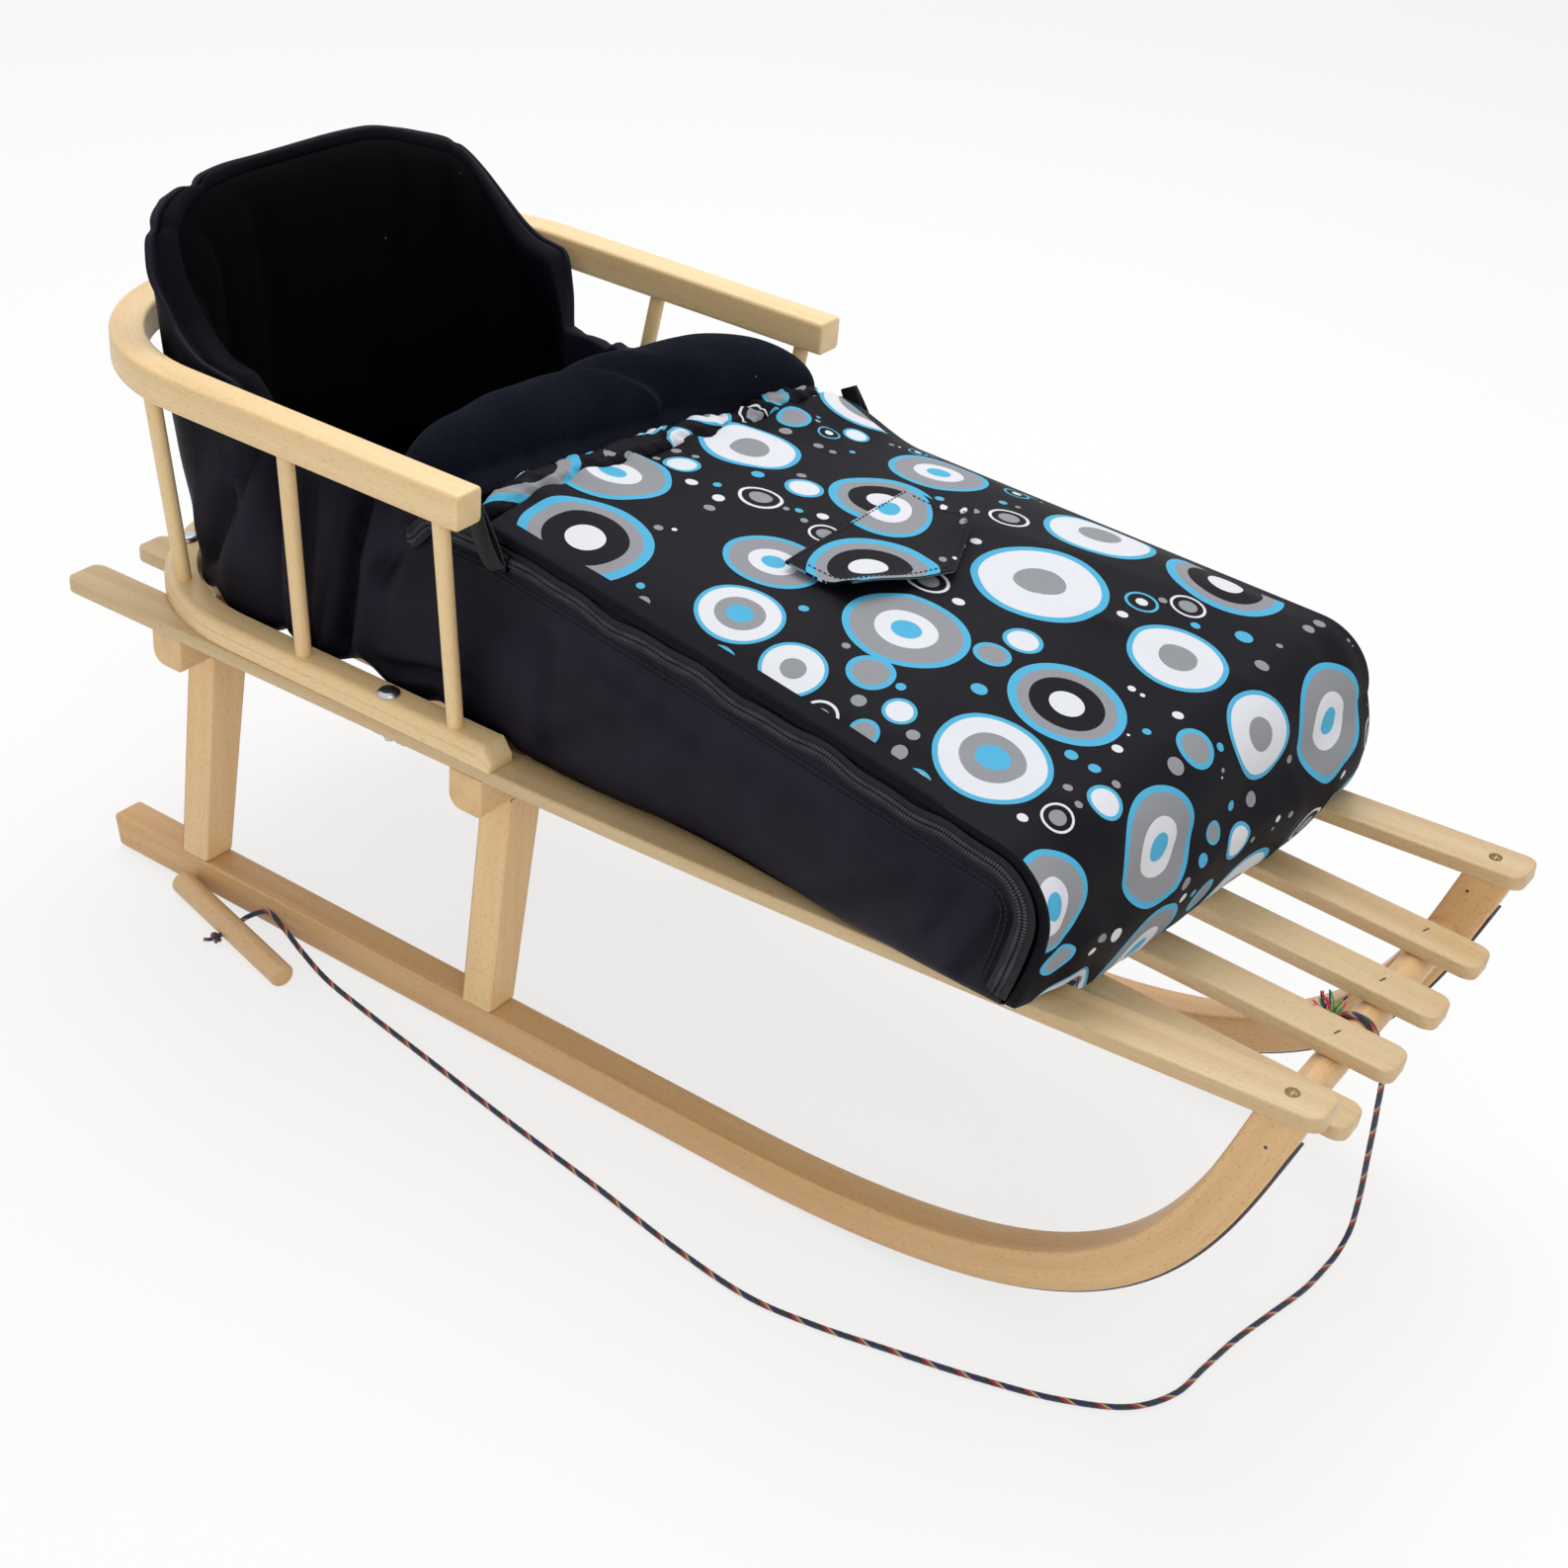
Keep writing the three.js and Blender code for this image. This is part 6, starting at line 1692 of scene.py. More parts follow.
    @staticmethod
    def _overhand(centre: np.ndarray, axis: np.ndarray, size: float) -> np.ndarray:
        """A pulled-tight overhand knot: a trefoil about an axis.

        Args:
            centre: the knot's middle.
            axis: the direction it is tied about.
            size: half its height.

        Returns:
            The centre line of its cord.
        """
        t = np.linspace(0.0, 2 * math.pi, 140)
        side, third = square_to(axis)
        flat = (2 + np.cos(3 * t))[:, None] * (np.cos(2 * t)[:, None] * side - np.sin(2 * t)[:, None] * third)
        return centre + size * (flat + np.sin(3 * t)[:, None] * axis * 1.3)

    def _grip_knot(self, finishes: Finishes) -> Object:
        """The cord's end: through the grip, knotted behind it, with a short tail.

        Args:
            finishes: the materials.

        Returns:
            The knot with the cord through the grip.
        """
        axis = self._hole_axis()
        centre = np.array(self.grip_centre)
        far = centre - axis * (self.grip_radius + 4.0)
        through = self._tube("through", np.linspace(far, centre + axis * (self.grip_radius + 0.7), 40),
                             self.radius)
        knot = self._tube("knot", self._overhand(far, axis, 1.05), 1.3)
        tail_end = far - axis * 6.0 + np.array([-5.0, 0.0, 0.4])
        share = np.linspace(0.0, 1.0, 20)[:, None]
        sag = np.array([0.0, 0.0, -3.0]) * share * (1 - share)
        tail = self._tube("tail", far + (tail_end - far) * share + sag, 1.3)
        return finish_piece(joined("grip_knot_tied", [through, knot, tail]), finishes.braid, "sled",
                            ("grip_knot",))

    def _dowel_knot(self, deck: Deck, finishes: Finishes) -> Object:
        """Two turns of cord round the dowel and a knot in front of it.

        Args:
            deck: the slats.
            finishes: the materials.

        Returns:
            The turns and the knot.
        """
        t = np.linspace(0.0, 2 * math.pi, 90)
        reach = deck.dowel_radius + 0.4 + self.radius
        turns = []
        for shift in (-1.8, 1.8):
            points = xyz(deck.dowel_x + reach * np.cos(t), shift * np.cos(t),
                         deck.dowel_z() + reach * np.sin(t))
            turns.append(self._tube("turn", points, self.radius))
        line = self._overhand(self._knot_centre(deck), np.array([0.0, 0.0, 1.0]), 1.35)
        knot = self._tube("knot", line, 1.7)
        return finish_piece(joined("cord_knot_tied", [*turns, knot]), finishes.braid, "sled",
                            ("cord_knot",))

    def _fray(self, deck: Deck, finishes: Finishes) -> list[Object]:
        """The cord's frayed end standing up behind the dowel: two dozen loose strands in three colours.

        Args:
            deck: the slats.
            finishes: the materials.

        Returns:
            One piece for each colour.
        """
        draw = np.random.default_rng(11)
        root = np.array([deck.dowel_x - deck.dowel_radius - 1.5, -6.0, deck.dowel_z() + 6.0])
        strands = []
        share = np.linspace(0.0, 1.0, 9)[:, None]
        for _ in range(24):
            lean = draw.uniform(-1.0, 1.0, 3) * [9.0, 12.0, 4.0] + [-3.0, -4.0, 14.0]
            curl = draw.uniform(-3.0, 3.0, 3)
            line = root + lean * share + curl * np.sin(share * math.pi)
            strands.append(self._tube("strand", line, 0.55, False))
        return [finish_piece(joined(f"cord_fray_{number}", strands[number::3]), dye, "sled")
                for number, dye in enumerate(finishes.dyed)]


# ---------------------------------------------------------------- footmuff

@dataclass(frozen=True)
class MuffShape:
    """Sizes and surfaces that all pieces of the footmuff share."""

    deck: Deck = Deck()
    wall: float = 9.0
    turn: float = 12.0
    seat_half: float = 141.5
    foot_half: float = 178.0
    knee_x: float = -112.0
    foot_x: float = 300.0
    foot_round: float = 30.0
    bulge: float = 5.0
    seat_top: float = 358.0
    foot_top: float = 320.0
    hood_front: float = -276.0
    hood_side: float = -303.0
    hood_foot_depth: float = 108.0
    hood_head_depth: float = 93.0
    hood_head_half: float = 158.0
    hood_side_top: float = 405.0
    hood_top: float = 491.0
    rise: float = 2.0
    thick: float = 6.0
    crown: float = 17.0
    mouth_slant: float = 55.0
    mouth_lift: float = 14.0
    rest: float = 0.3

    def half(self, x: np.ndarray) -> np.ndarray:
        """Half width in plan: even along the seat, then widening to the foot."""
        share = np.clip((x - self.knee_x) / (self.foot_x - self.knee_x), 0.0, 1.0)
        return self.seat_half + (self.foot_half - self.seat_half) * share

    def knee_line(self, x: np.ndarray) -> np.ndarray:
        """Height of the walls along the legs, falling to the foot."""
        share = np.maximum(0.0, (x - self.knee_x) / (self.foot_x - self.knee_x))
        return self.seat_top + (self.foot_top - self.seat_top) * share

    def wall_top(self, x: np.ndarray) -> np.ndarray:
        """Height of the side walls: up to the hood, level, then round the foot corner.

        Args:
            x: places along the muff.

        Returns:
            Heights.
        """
        rise = np.clip((self.hood_front - x) / (self.hood_front - self.hood_side), 0.0, 1.0)
        hood = self.seat_top + (self.hood_side_top - self.seat_top) * np.sin(math.pi / 2 * rise)
        corner = np.maximum(0.0, x - (self.foot_x - self.foot_round))
        arc = np.sqrt(np.maximum(0.0, self.foot_round ** 2 - corner ** 2))
        leg = self.knee_line(x) - self.foot_round + arc
        return np.where(x < self.hood_front, hood, leg)

    def bottom(self, x: np.ndarray, lift: float | None = None) -> np.ndarray:
        """Height of the muff's underside, on the slats."""
        return self.deck.top + self.rest + self.deck.bend(x, self.deck.outer_lift if lift is None else lift)

    def turned(self, height: np.ndarray) -> np.ndarray:
        """How far the stuffed lower edge turns under, along a quarter circle."""
        reach = self.turn - np.clip(height, 0.0, self.turn)
        return self.turn - np.sqrt(self.turn ** 2 - reach ** 2)

    def hood_place(self, angle: np.ndarray, share: np.ndarray, inset: np.ndarray) -> np.ndarray:
        """A place on the hood: squared ovals at foot and head, the rim climbing to the back, a little askew.

        Args:
            angle: from 0 at the right side to pi at the left.
            share: share of the wall's height.
            inset: distance in from the outer face.

        Returns:
            The places.
        """
        def oval(depth: np.ndarray, half: np.ndarray, power: float) -> tuple[np.ndarray, np.ndarray]:
            """Point of a squared oval, open to the front."""
            return (self.hood_side - depth * np.abs(np.sin(angle)) ** (2 / power),
                    -half * np.sign(np.cos(angle)) * np.abs(np.cos(angle)) ** (2 / power))
        top = self.hood_side_top + (self.hood_top - self.hood_side_top) * np.abs(np.sin(angle)) ** 0.93
        inset = inset + self.turned(share * (top - self.bottom(np.array(self.hood_side))))
        x0, y0 = oval(self.hood_foot_depth - inset, self.seat_half - inset, 2.5)
        x1, y1 = oval(self.hood_head_depth - inset, self.hood_head_half - inset, 4.5)
        x, y = x0 + (x1 - x0) * share, y0 + (y1 - y0) * share
        near = np.exp(-((angle - 0.62) / 0.42) ** 2) * smooth_step(angle, 0.0, 0.3) * share
        middle = np.exp(-((angle - 2.0) / 0.33) ** 2) * share
        low = self.bottom(x)
        return xyz(x - near, y - 4.0 * near, low + (top - low) * share + 6.0 * near - 9.0 * middle)

    def side_place(self, x: np.ndarray, sign: float, share: np.ndarray, inset: np.ndarray) -> np.ndarray:
        """A place on a side wall: turned under below, a little bulged, drawn in along its lower middle.

        Args:
            x: places along the muff.
            sign: -1 for the right wall, 1 for the left.
            share: share of the wall's height.
            inset: distance in from the outer face.

        Returns:
            The places.
        """
        top, low = self.wall_top(x), self.bottom(x)
        hood = np.maximum(0.0, (top - self.seat_top) / (self.hood_side_top - self.seat_top))
        flare = (self.hood_head_half - self.seat_half) * hood
        bulge = np.where(x > self.hood_front, self.bulge, 0.0) * np.sin(math.pi * np.clip(share, 0.0, 1.0))
        drawn = 9.0 * np.exp(-((x - 80.0) / 90.0) ** 2) * (1 - np.clip(share, 0.0, 1.0)) ** 2
        y = self.half(x) + flare * share + bulge - drawn - self.turned((top - low) * share) - inset
        return xyz(x, sign * y, low + (top - low) * share)

    def mouth_shift(self, share: np.ndarray) -> np.ndarray:
        """How far the mouth's edge lies forward, from none at the right to all of its slant at the left."""
        return self.mouth_slant * (share + 1) / 2

    def mouth_share(self, y: np.ndarray) -> np.ndarray:
        """Share of the half width at a place on the mouth's slanting edge."""
        return y / (self.half(self.knee_x + self.mouth_shift(y / self.seat_half)) - 0.3)

    def mouth_rise(self, share: np.ndarray, ahead: np.ndarray) -> np.ndarray:
        """How far the mouth's left corner stands up, fading to the front."""
        return self.mouth_lift * smooth_step(share, 0.35, 1.0) * (1 - smooth_step(ahead, 0.0, 60.0))

    def crown_at(self, x: np.ndarray, y: np.ndarray) -> np.ndarray:
        """How far the cover stands over the knee line."""
        share = np.clip(y / self.half(x), -1.0, 1.0)
        return self.crown * (1 - share ** 4) * smooth_step(self.foot_x - x, 0.0, self.seat_half)

    def cover_top(self, x: np.ndarray, y: np.ndarray) -> np.ndarray:
        """Height of the cover's upper face before its wrinkles."""
        return self.knee_line(x) + self.rise + self.thick + self.crown_at(x, y)

    def settle(self, points: np.ndarray) -> np.ndarray:
        """The lie of the real muff's foot: slewed, leaning back below, its far side swollen.

        Args:
            points: places on the straight muff.

        Returns:
            The same places on the real one.
        """
        points = np.array(points, float)
        x, y, z = np.moveaxis(points.copy(), -1, 0)
        side, toe = y / self.foot_half, smooth_step(x, 200.0, 300.0)
        rise = np.clip((z - 212.0) / 78.0, 0.0, 1.0)
        points[..., 0] += smooth_step(x, 60.0, 300.0) * (11.0 * side - 1.0)
        points[..., 0] -= toe * (16.0 - 8.0 * side) * (1 - rise) ** 1.6
        points[..., 0] += toe * 9.0 * np.sin(math.pi * rise) * np.maximum(0.0, side)
        return points


@dataclass(frozen=True)
class Fold:
    """One crease of a side wall, as places in x and z, its depth and its width."""

    start: tuple[float, float]
    end: tuple[float, float]
    depth: float
    width: float

    def height(self, x: np.ndarray, z: np.ndarray) -> np.ndarray:
        """A valley between two soft ridges, exp(-(d/w)^2) each, faded at its ends.

        Args:
            x: places along the wall.
            z: heights on the wall.

        Returns:
            How far the cloth stands out there.
        """
        way = np.subtract(self.end, self.start)
        length = float(np.hypot(*way))
        off_x, off_z = x - self.start[0], z - self.start[1]
        along = (off_x * way[0] + off_z * way[1]) / length ** 2
        off = (off_x * way[1] - off_z * way[0]) / length
        fade = smooth_step(along, -0.15, 0.15) * (1 - smooth_step(along, 0.85, 1.15))
        ridge = np.exp(-((np.abs(off) - 2.4 * self.width) / (1.4 * self.width)) ** 2)
        return self.depth * fade * (0.45 * ridge - np.exp(-(off / self.width) ** 2))


@dataclass(frozen=True)
class MuffShell:
    """Nylon shell with its hood, piped rim, floor, fleece lining and seat pad."""

    shape: MuffShape = MuffShape()
    gusset: float = 22.0
    tucks: tuple[tuple[float, float], ...] = ((0.76, 0.5), (1.22, 1.0), (2.36, 0.4))
    lining_low: float = 262.0
    lining_in: float = 9.8
    pad_rear: float = -335.0
    pad_front: float = -70.0
    pad_half: float = 118.0
    near_folds: tuple[Fold, ...] = (
        Fold((-207.0, 356.0), (-226.0, 230.0), 9.0, 5.5), Fold((-251.0, 350.0), (-255.0, 228.0), 4.5, 6.0),
        Fold((-286.0, 366.0), (-350.0, 252.0), 7.0, 6.5), Fold((-193.0, 242.0), (-118.0, 261.0), 3.6, 4.5),
        Fold((-160.0, 352.0), (-196.0, 300.0), 3.5, 5.0), Fold((-60.0, 240.0), (10.0, 300.0), 2.2, 6.0),
        Fold((150.0, 236.0), (235.0, 300.0), 3.0, 7.0), Fold((262.0, 318.0), (238.0, 262.0), 2.6, 5.0),
        Fold((286.0, 300.0), (262.0, 238.0), 3.0, 5.0), Fold((-30.0, 322.0), (70.0, 296.0), 1.8, 6.0),
    )
    far_folds: tuple[Fold, ...] = (
        Fold((-214.0, 356.0), (-202.0, 232.0), 7.5, 5.5), Fold((-262.0, 352.0), (-248.0, 230.0), 5.0, 6.0),
        Fold((-300.0, 380.0), (-336.0, 256.0), 6.0, 6.5), Fold((-176.0, 246.0), (-96.0, 256.0), 3.4, 4.5),
        Fold((-40.0, 300.0), (40.0, 242.0), 2.4, 6.0), Fold((120.0, 296.0), (214.0, 244.0), 3.0, 7.0),
        Fold((258.0, 316.0), (244.0, 256.0), 2.8, 5.0),
    )
    arches: tuple[tuple[float, float, float], ...] = (
        (-213.0, 21.0, 12.5), (-280.0, 11.0, 9.0), (-346.0, 14.0, 11.0), (-148.0, 15.0, 8.0),
        (-97.0, 11.0, 6.0), (60.0, 60.0, 3.0))

    def _stations(self) -> np.ndarray:
        """Places in x of the rows along one side, from the foot to the hood.

        Returns:
            The places.
        """
        s = self.shape
        corner = s.foot_x - s.foot_round * (1 - np.sin(np.linspace(math.pi / 2, 0.0, 13)))
        leg = np.linspace(s.foot_x - s.foot_round, s.knee_x, 100)[1:]
        seat = np.linspace(s.knee_x, s.hood_front, 64)[1:]
        return np.concatenate([corner, leg, seat, np.linspace(s.hood_front, s.hood_side, 13)[1:-1]])

    def _loop(self, width: np.ndarray, hood: np.ndarray) -> tuple[np.ndarray, ...]:
        """The wall's loop at each row: up the outside, over the rim and down the inside.

        Args:
            width: thickness of the wall's top at each row.
            hood: 1 where the top is the hood's piped gusset, 0 where it is a plain roll.

        Returns:
            Share of height, inset and lift of each point, and how much of the outer face it is.
        """
        up = np.concatenate([np.linspace(0.0, 0.10, 8), np.linspace(0.10, 0.965, 38)[1:]])
        down, arch = np.linspace(0.965, 0.0, 20), np.linspace(0.0, math.pi, 18)[1:-1]
        strip = np.linspace(0.0, 1.0, 9)[1:]
        width, hood = width[:, None], hood[:, None]
        none = 0.0 * width
        piping_in, piping_up = (0.0, -1.4, -1.9, -0.9, 0.6, 1.9, 3.0), (-3.2, -2.2, -0.6, 0.7, 1.0, 0.1, -1.2)
        piped_in = np.concatenate([piping_in + none, 3.0 + (width - 4.0) * strip, width], axis=1)
        piped_up = np.concatenate([np.array(piping_up),
                                   -1.2 + 3.4 * np.sin(math.pi * strip) ** 0.7 - 1.2 * strip, [-4.5]])
        rim_in = hood * piped_in + (1 - hood) * width * (1 - np.cos(arch)) / 2
        rim_up = hood * piped_up + (1 - hood) * 3.0 * np.sin(arch)
        inner = self.shape.wall + (width - self.shape.wall) * smooth_step(down, 0.6, 0.95)
        inset = np.concatenate([none + 0.0 * up, rim_in, inner], axis=1)
        lift = np.concatenate([none + 0.0 * up, rim_up, none + 0.0 * down], axis=1)
        share = np.concatenate([up, np.ones(len(arch)), down])
        outer = np.concatenate([np.ones(len(up)), np.linspace(1.0, 0.0, len(arch)), 0.0 * down])
        return share, inset, lift, outer

    def _puffed(self) -> tuple[np.ndarray, np.ndarray]:
        """The wall right, round the hood and left, with padding, folds, tucks and gathers.

        Returns:
            Rows of points, and the rim's share at each.
        """
        s = self.shape
        side, angle = self._stations(), np.linspace(0.0, math.pi, 170)
        near_hood = smooth_step(-side, -s.hood_front - 14.0, -s.hood_side)
        hood = np.concatenate([near_hood, np.ones(len(angle)), near_hood[::-1]])
        arched = np.concatenate([0.0 * side, np.abs(np.sin(angle)) ** 1.5, 0.0 * side])
        width = s.wall + (self.gusset - 12.5 * arched - s.wall) * hood
        share, inset, lift, outer = self._loop(width, hood)
        count = len(side)
        right = s.side_place(side[:, None], -1.0, share[None], inset[:count])
        round_it = s.hood_place(angle[:, None], share[None], inset[count:-count])
        left = s.side_place(side[::-1, None], 1.0, share[None], inset[-count:])
        rows = np.concatenate([right, round_it, left])
        flat = np.stack([-np.abs(np.sin(angle)) ** 0.7,
                         -np.sign(np.cos(angle)) * np.abs(np.cos(angle)) ** 0.7,
                         0.0 * angle], axis=-1)
        out = np.concatenate([np.tile([0.0, -1.0, 0.0], (count, 1)), unit(flat),
                              np.tile([0.0, 1.0, 0.0], (count, 1))])
        # how far each place may move: not at all along the lower edge and under the zips
        x, y, z = np.moveaxis(rows, -1, 0)
        run = arc_lengths(rows[:, 8])[:, None]
        whole = run[-1, 0]
        hem = smooth_step(share, 0.0, 0.16)
        free = np.maximum(hood[:, None], smooth_step(-x, 165.0, 190.0))
        edge = 1.0 - (1 - free) * smooth_step(share, 0.68, 0.83)
        seat = smooth_step(-x, 110.0, 170.0)
        # padding in two sizes of lumps, long creases, and fine puckers under the rim
        puff = 2.4 * lumps(run, z, 74.0, 66.0, 3) + 1.2 * lumps(run, z, 31.0, 42.0, 4)
        puff += (2.0 * creases(run + 0.3 * z, z, 60.0, 150.0, 9) - 0.8) * (0.4 + 0.6 * seat)
        puff += 1.1 * lumps(run, z, 17.0, 60.0, 12) * smooth_step(share, 0.5, 0.8)
        # the folds of both sides, the seams at the foot's corners, and the tucks at the hood's rim
        near = y < 0
        for folds, here in ((self.near_folds, near), (self.far_folds, ~near)):
            puff += here * sum(fold.height(x, z) for fold in folds)
        for place in (s.foot_x + 60.0, whole - s.foot_x - 60.0):
            puff -= 2.6 * np.exp(-((run - place) / 6.0) ** 2)
        turn_at = np.concatenate([0.0 * side, angle, 0.0 * side])[:, None]
        tuck = sum(depth * np.exp(-((turn_at - place) / 0.045) ** 2) for place, depth in self.tucks)
        puff -= 3.4 * tuck * smooth_step(share, 0.45, 0.95)
        # the lower edge stands off the slats in arches, and the seat's rim is gathered
        moved = rows + out[:, None] * (puff * outer * hem * edge)[..., None]
        moved[..., 2] += self._arched(x) * (1 - smooth_step(z - s.bottom(x), 0.0, 48.0))
        gather = (1 - hood[:, None]) * smooth_step(-x, 130.0, 170.0)
        ruffle = 2.2 * sway(run, 7.0, 6) + 2.0 * sway(run, 24.0, 7)
        moved[..., 2] += lift + smooth_step(share, 0.9, 1.0) * (ruffle * gather - 2.6 * tuck)
        return moved, hood[:, None] * (1 - smooth_step(outer, 0.55, 0.75)) + 0.0 * x

    def _arched(self, x: np.ndarray) -> np.ndarray:
        """How far the lower edge stands off the slats, in shallow arches between the spindles."""
        return sum(high * np.exp(-((x - place) / wide) ** 2) for place, wide, high in self.arches)

    def build(self, finishes: Finishes) -> None:
        """Makes shell, floor, lining and pad.

        Args:
            finishes: the materials.
        """
        s = self.shape
        rows, rim = self._puffed()
        wall = surface("muff_shell_wall", s.settle(rows), sharp=75.0)
        # the rim's share, by which the nylon is darkened on the hood's rim and inner face as painted shade
        give_points(wall.data, "rim", "value", rim)
        piece = joined("muff_shell_sewn", [wall, self._floor()])
        finish_piece(piece, finishes.shell, "sled", ("muff_shell",))
        self._lining(finishes)
        self._pad(finishes)

    def _floor(self) -> Object:
        """The shell's floor: lies on the outer slats at its sides, sags between the inner ones.

        Returns:
            The floor.
        """
        s = self.shape
        inset = s.turn + 1.0
        x = np.linspace(s.hood_side - s.hood_foot_depth + inset, s.foot_x, 70)
        reach = np.clip((s.hood_side - x) / (s.hood_foot_depth - inset), 0.0, 1.0)
        drawn = (s.seat_half - inset) * (1 - reach ** 2.5) ** 0.4
        half = np.where(x >= s.hood_side, s.half(x) - inset, np.maximum(drawn, inset))
        share = np.linspace(-1.0, 1.0, 30)
        sag = 1.0 - smooth_step(np.abs(share), 0.61, 0.72)
        low_in, low_out = s.bottom(x, s.deck.inner_dip), s.bottom(x, s.deck.outer_lift)
        z = low_out[:, None] + (low_in - low_out)[:, None] * sag[None]
        under = xyz(x[:, None], half[:, None] * share[None], z)
        under[..., 2] += self._arched(under[..., 0]) * smooth_step(np.abs(share), 0.62, 0.9)
        rows = lapped(under + [0.0, 0.0, 6.0], under)
        return surface("muff_shell_floor", s.settle(rows), caps=Caps.LADDER)

    def _lining(self, finishes: Finishes) -> None:
        """Fleece lining of the hood, quilted in upright channels and puffed between them.

        Args:
            finishes: the materials.
        """
        s = self.shape
        v = np.linspace(0.0, 1.0, 130)[:, None]
        u = np.linspace(0.0, 1.0, 34)[None]
        angle = math.pi * v
        full = s.hood_place(angle, 1.0 + 0.0 * u, 0.0 * u)[..., 2]
        low = s.hood_place(angle, 0.0 * u, 0.0 * u)[..., 2]
        z = self.lining_low + (full - 5.0 - self.lining_low) * u
        share = (z - low) / (full - low)
        soft = (1 - (2 * v - 1) ** 8) * (1 - (2 * u - 1) ** 8)
        channel = 3.0 * np.abs(np.cos(math.pi * 7 * v)) ** 6
        thick = 7.0 + (14.0 - channel + 2.5 * lumps(v * 520.0, z, 60.0, 55.0, 14)) * soft
        outer = s.hood_place(angle, share, self.lining_in + 0.0 * u)
        inner = s.hood_place(angle, share, self.lining_in + thick)
        piece = surface("hood_lining_quilted", lapped(outer, inner), caps=Caps.LADDER, sharp=80.0)
        finish_piece(piece, finishes.fleece, "sled", ("hood_lining",))

    def _pad(self, finishes: Finishes) -> None:
        """Seat pad: crowned, drawn in at its sides, sewn across in channels.

        Args:
            finishes: the materials.
        """
        s = self.shape
        low = float(s.bottom(np.array(self.pad_front))) + 6.3
        v = np.linspace(0.0, 1.0, 90)[:, None]
        u = np.linspace(0.0, 1.0, 50)[None]
        drawn = self.pad_half * (1 - (2 * v - 1) ** 6 / 8)
        edge = (1 - (2 * u - 1) ** 6) * (1 - (2 * v - 1) ** 6)
        channel = 3.0 * np.cos(6 * math.pi * v) ** 8
        height = 8.0 + (16.0 - channel + 1.5 * lumps(v * 265.0, u * 236.0, 40.0, 40.0, 5)) * edge
        x = self.pad_rear + (self.pad_front - self.pad_rear) * v
        y = drawn * (2 * u - 1)
        top, base = xyz(x, y, low + height), xyz(x, y, low)
        piece = surface("muff_seat_pad_quilted", lapped(top, base), caps=Caps.LADDER)
        finish_piece(piece, finishes.fleece, "sled", ("muff_seat_pad",))


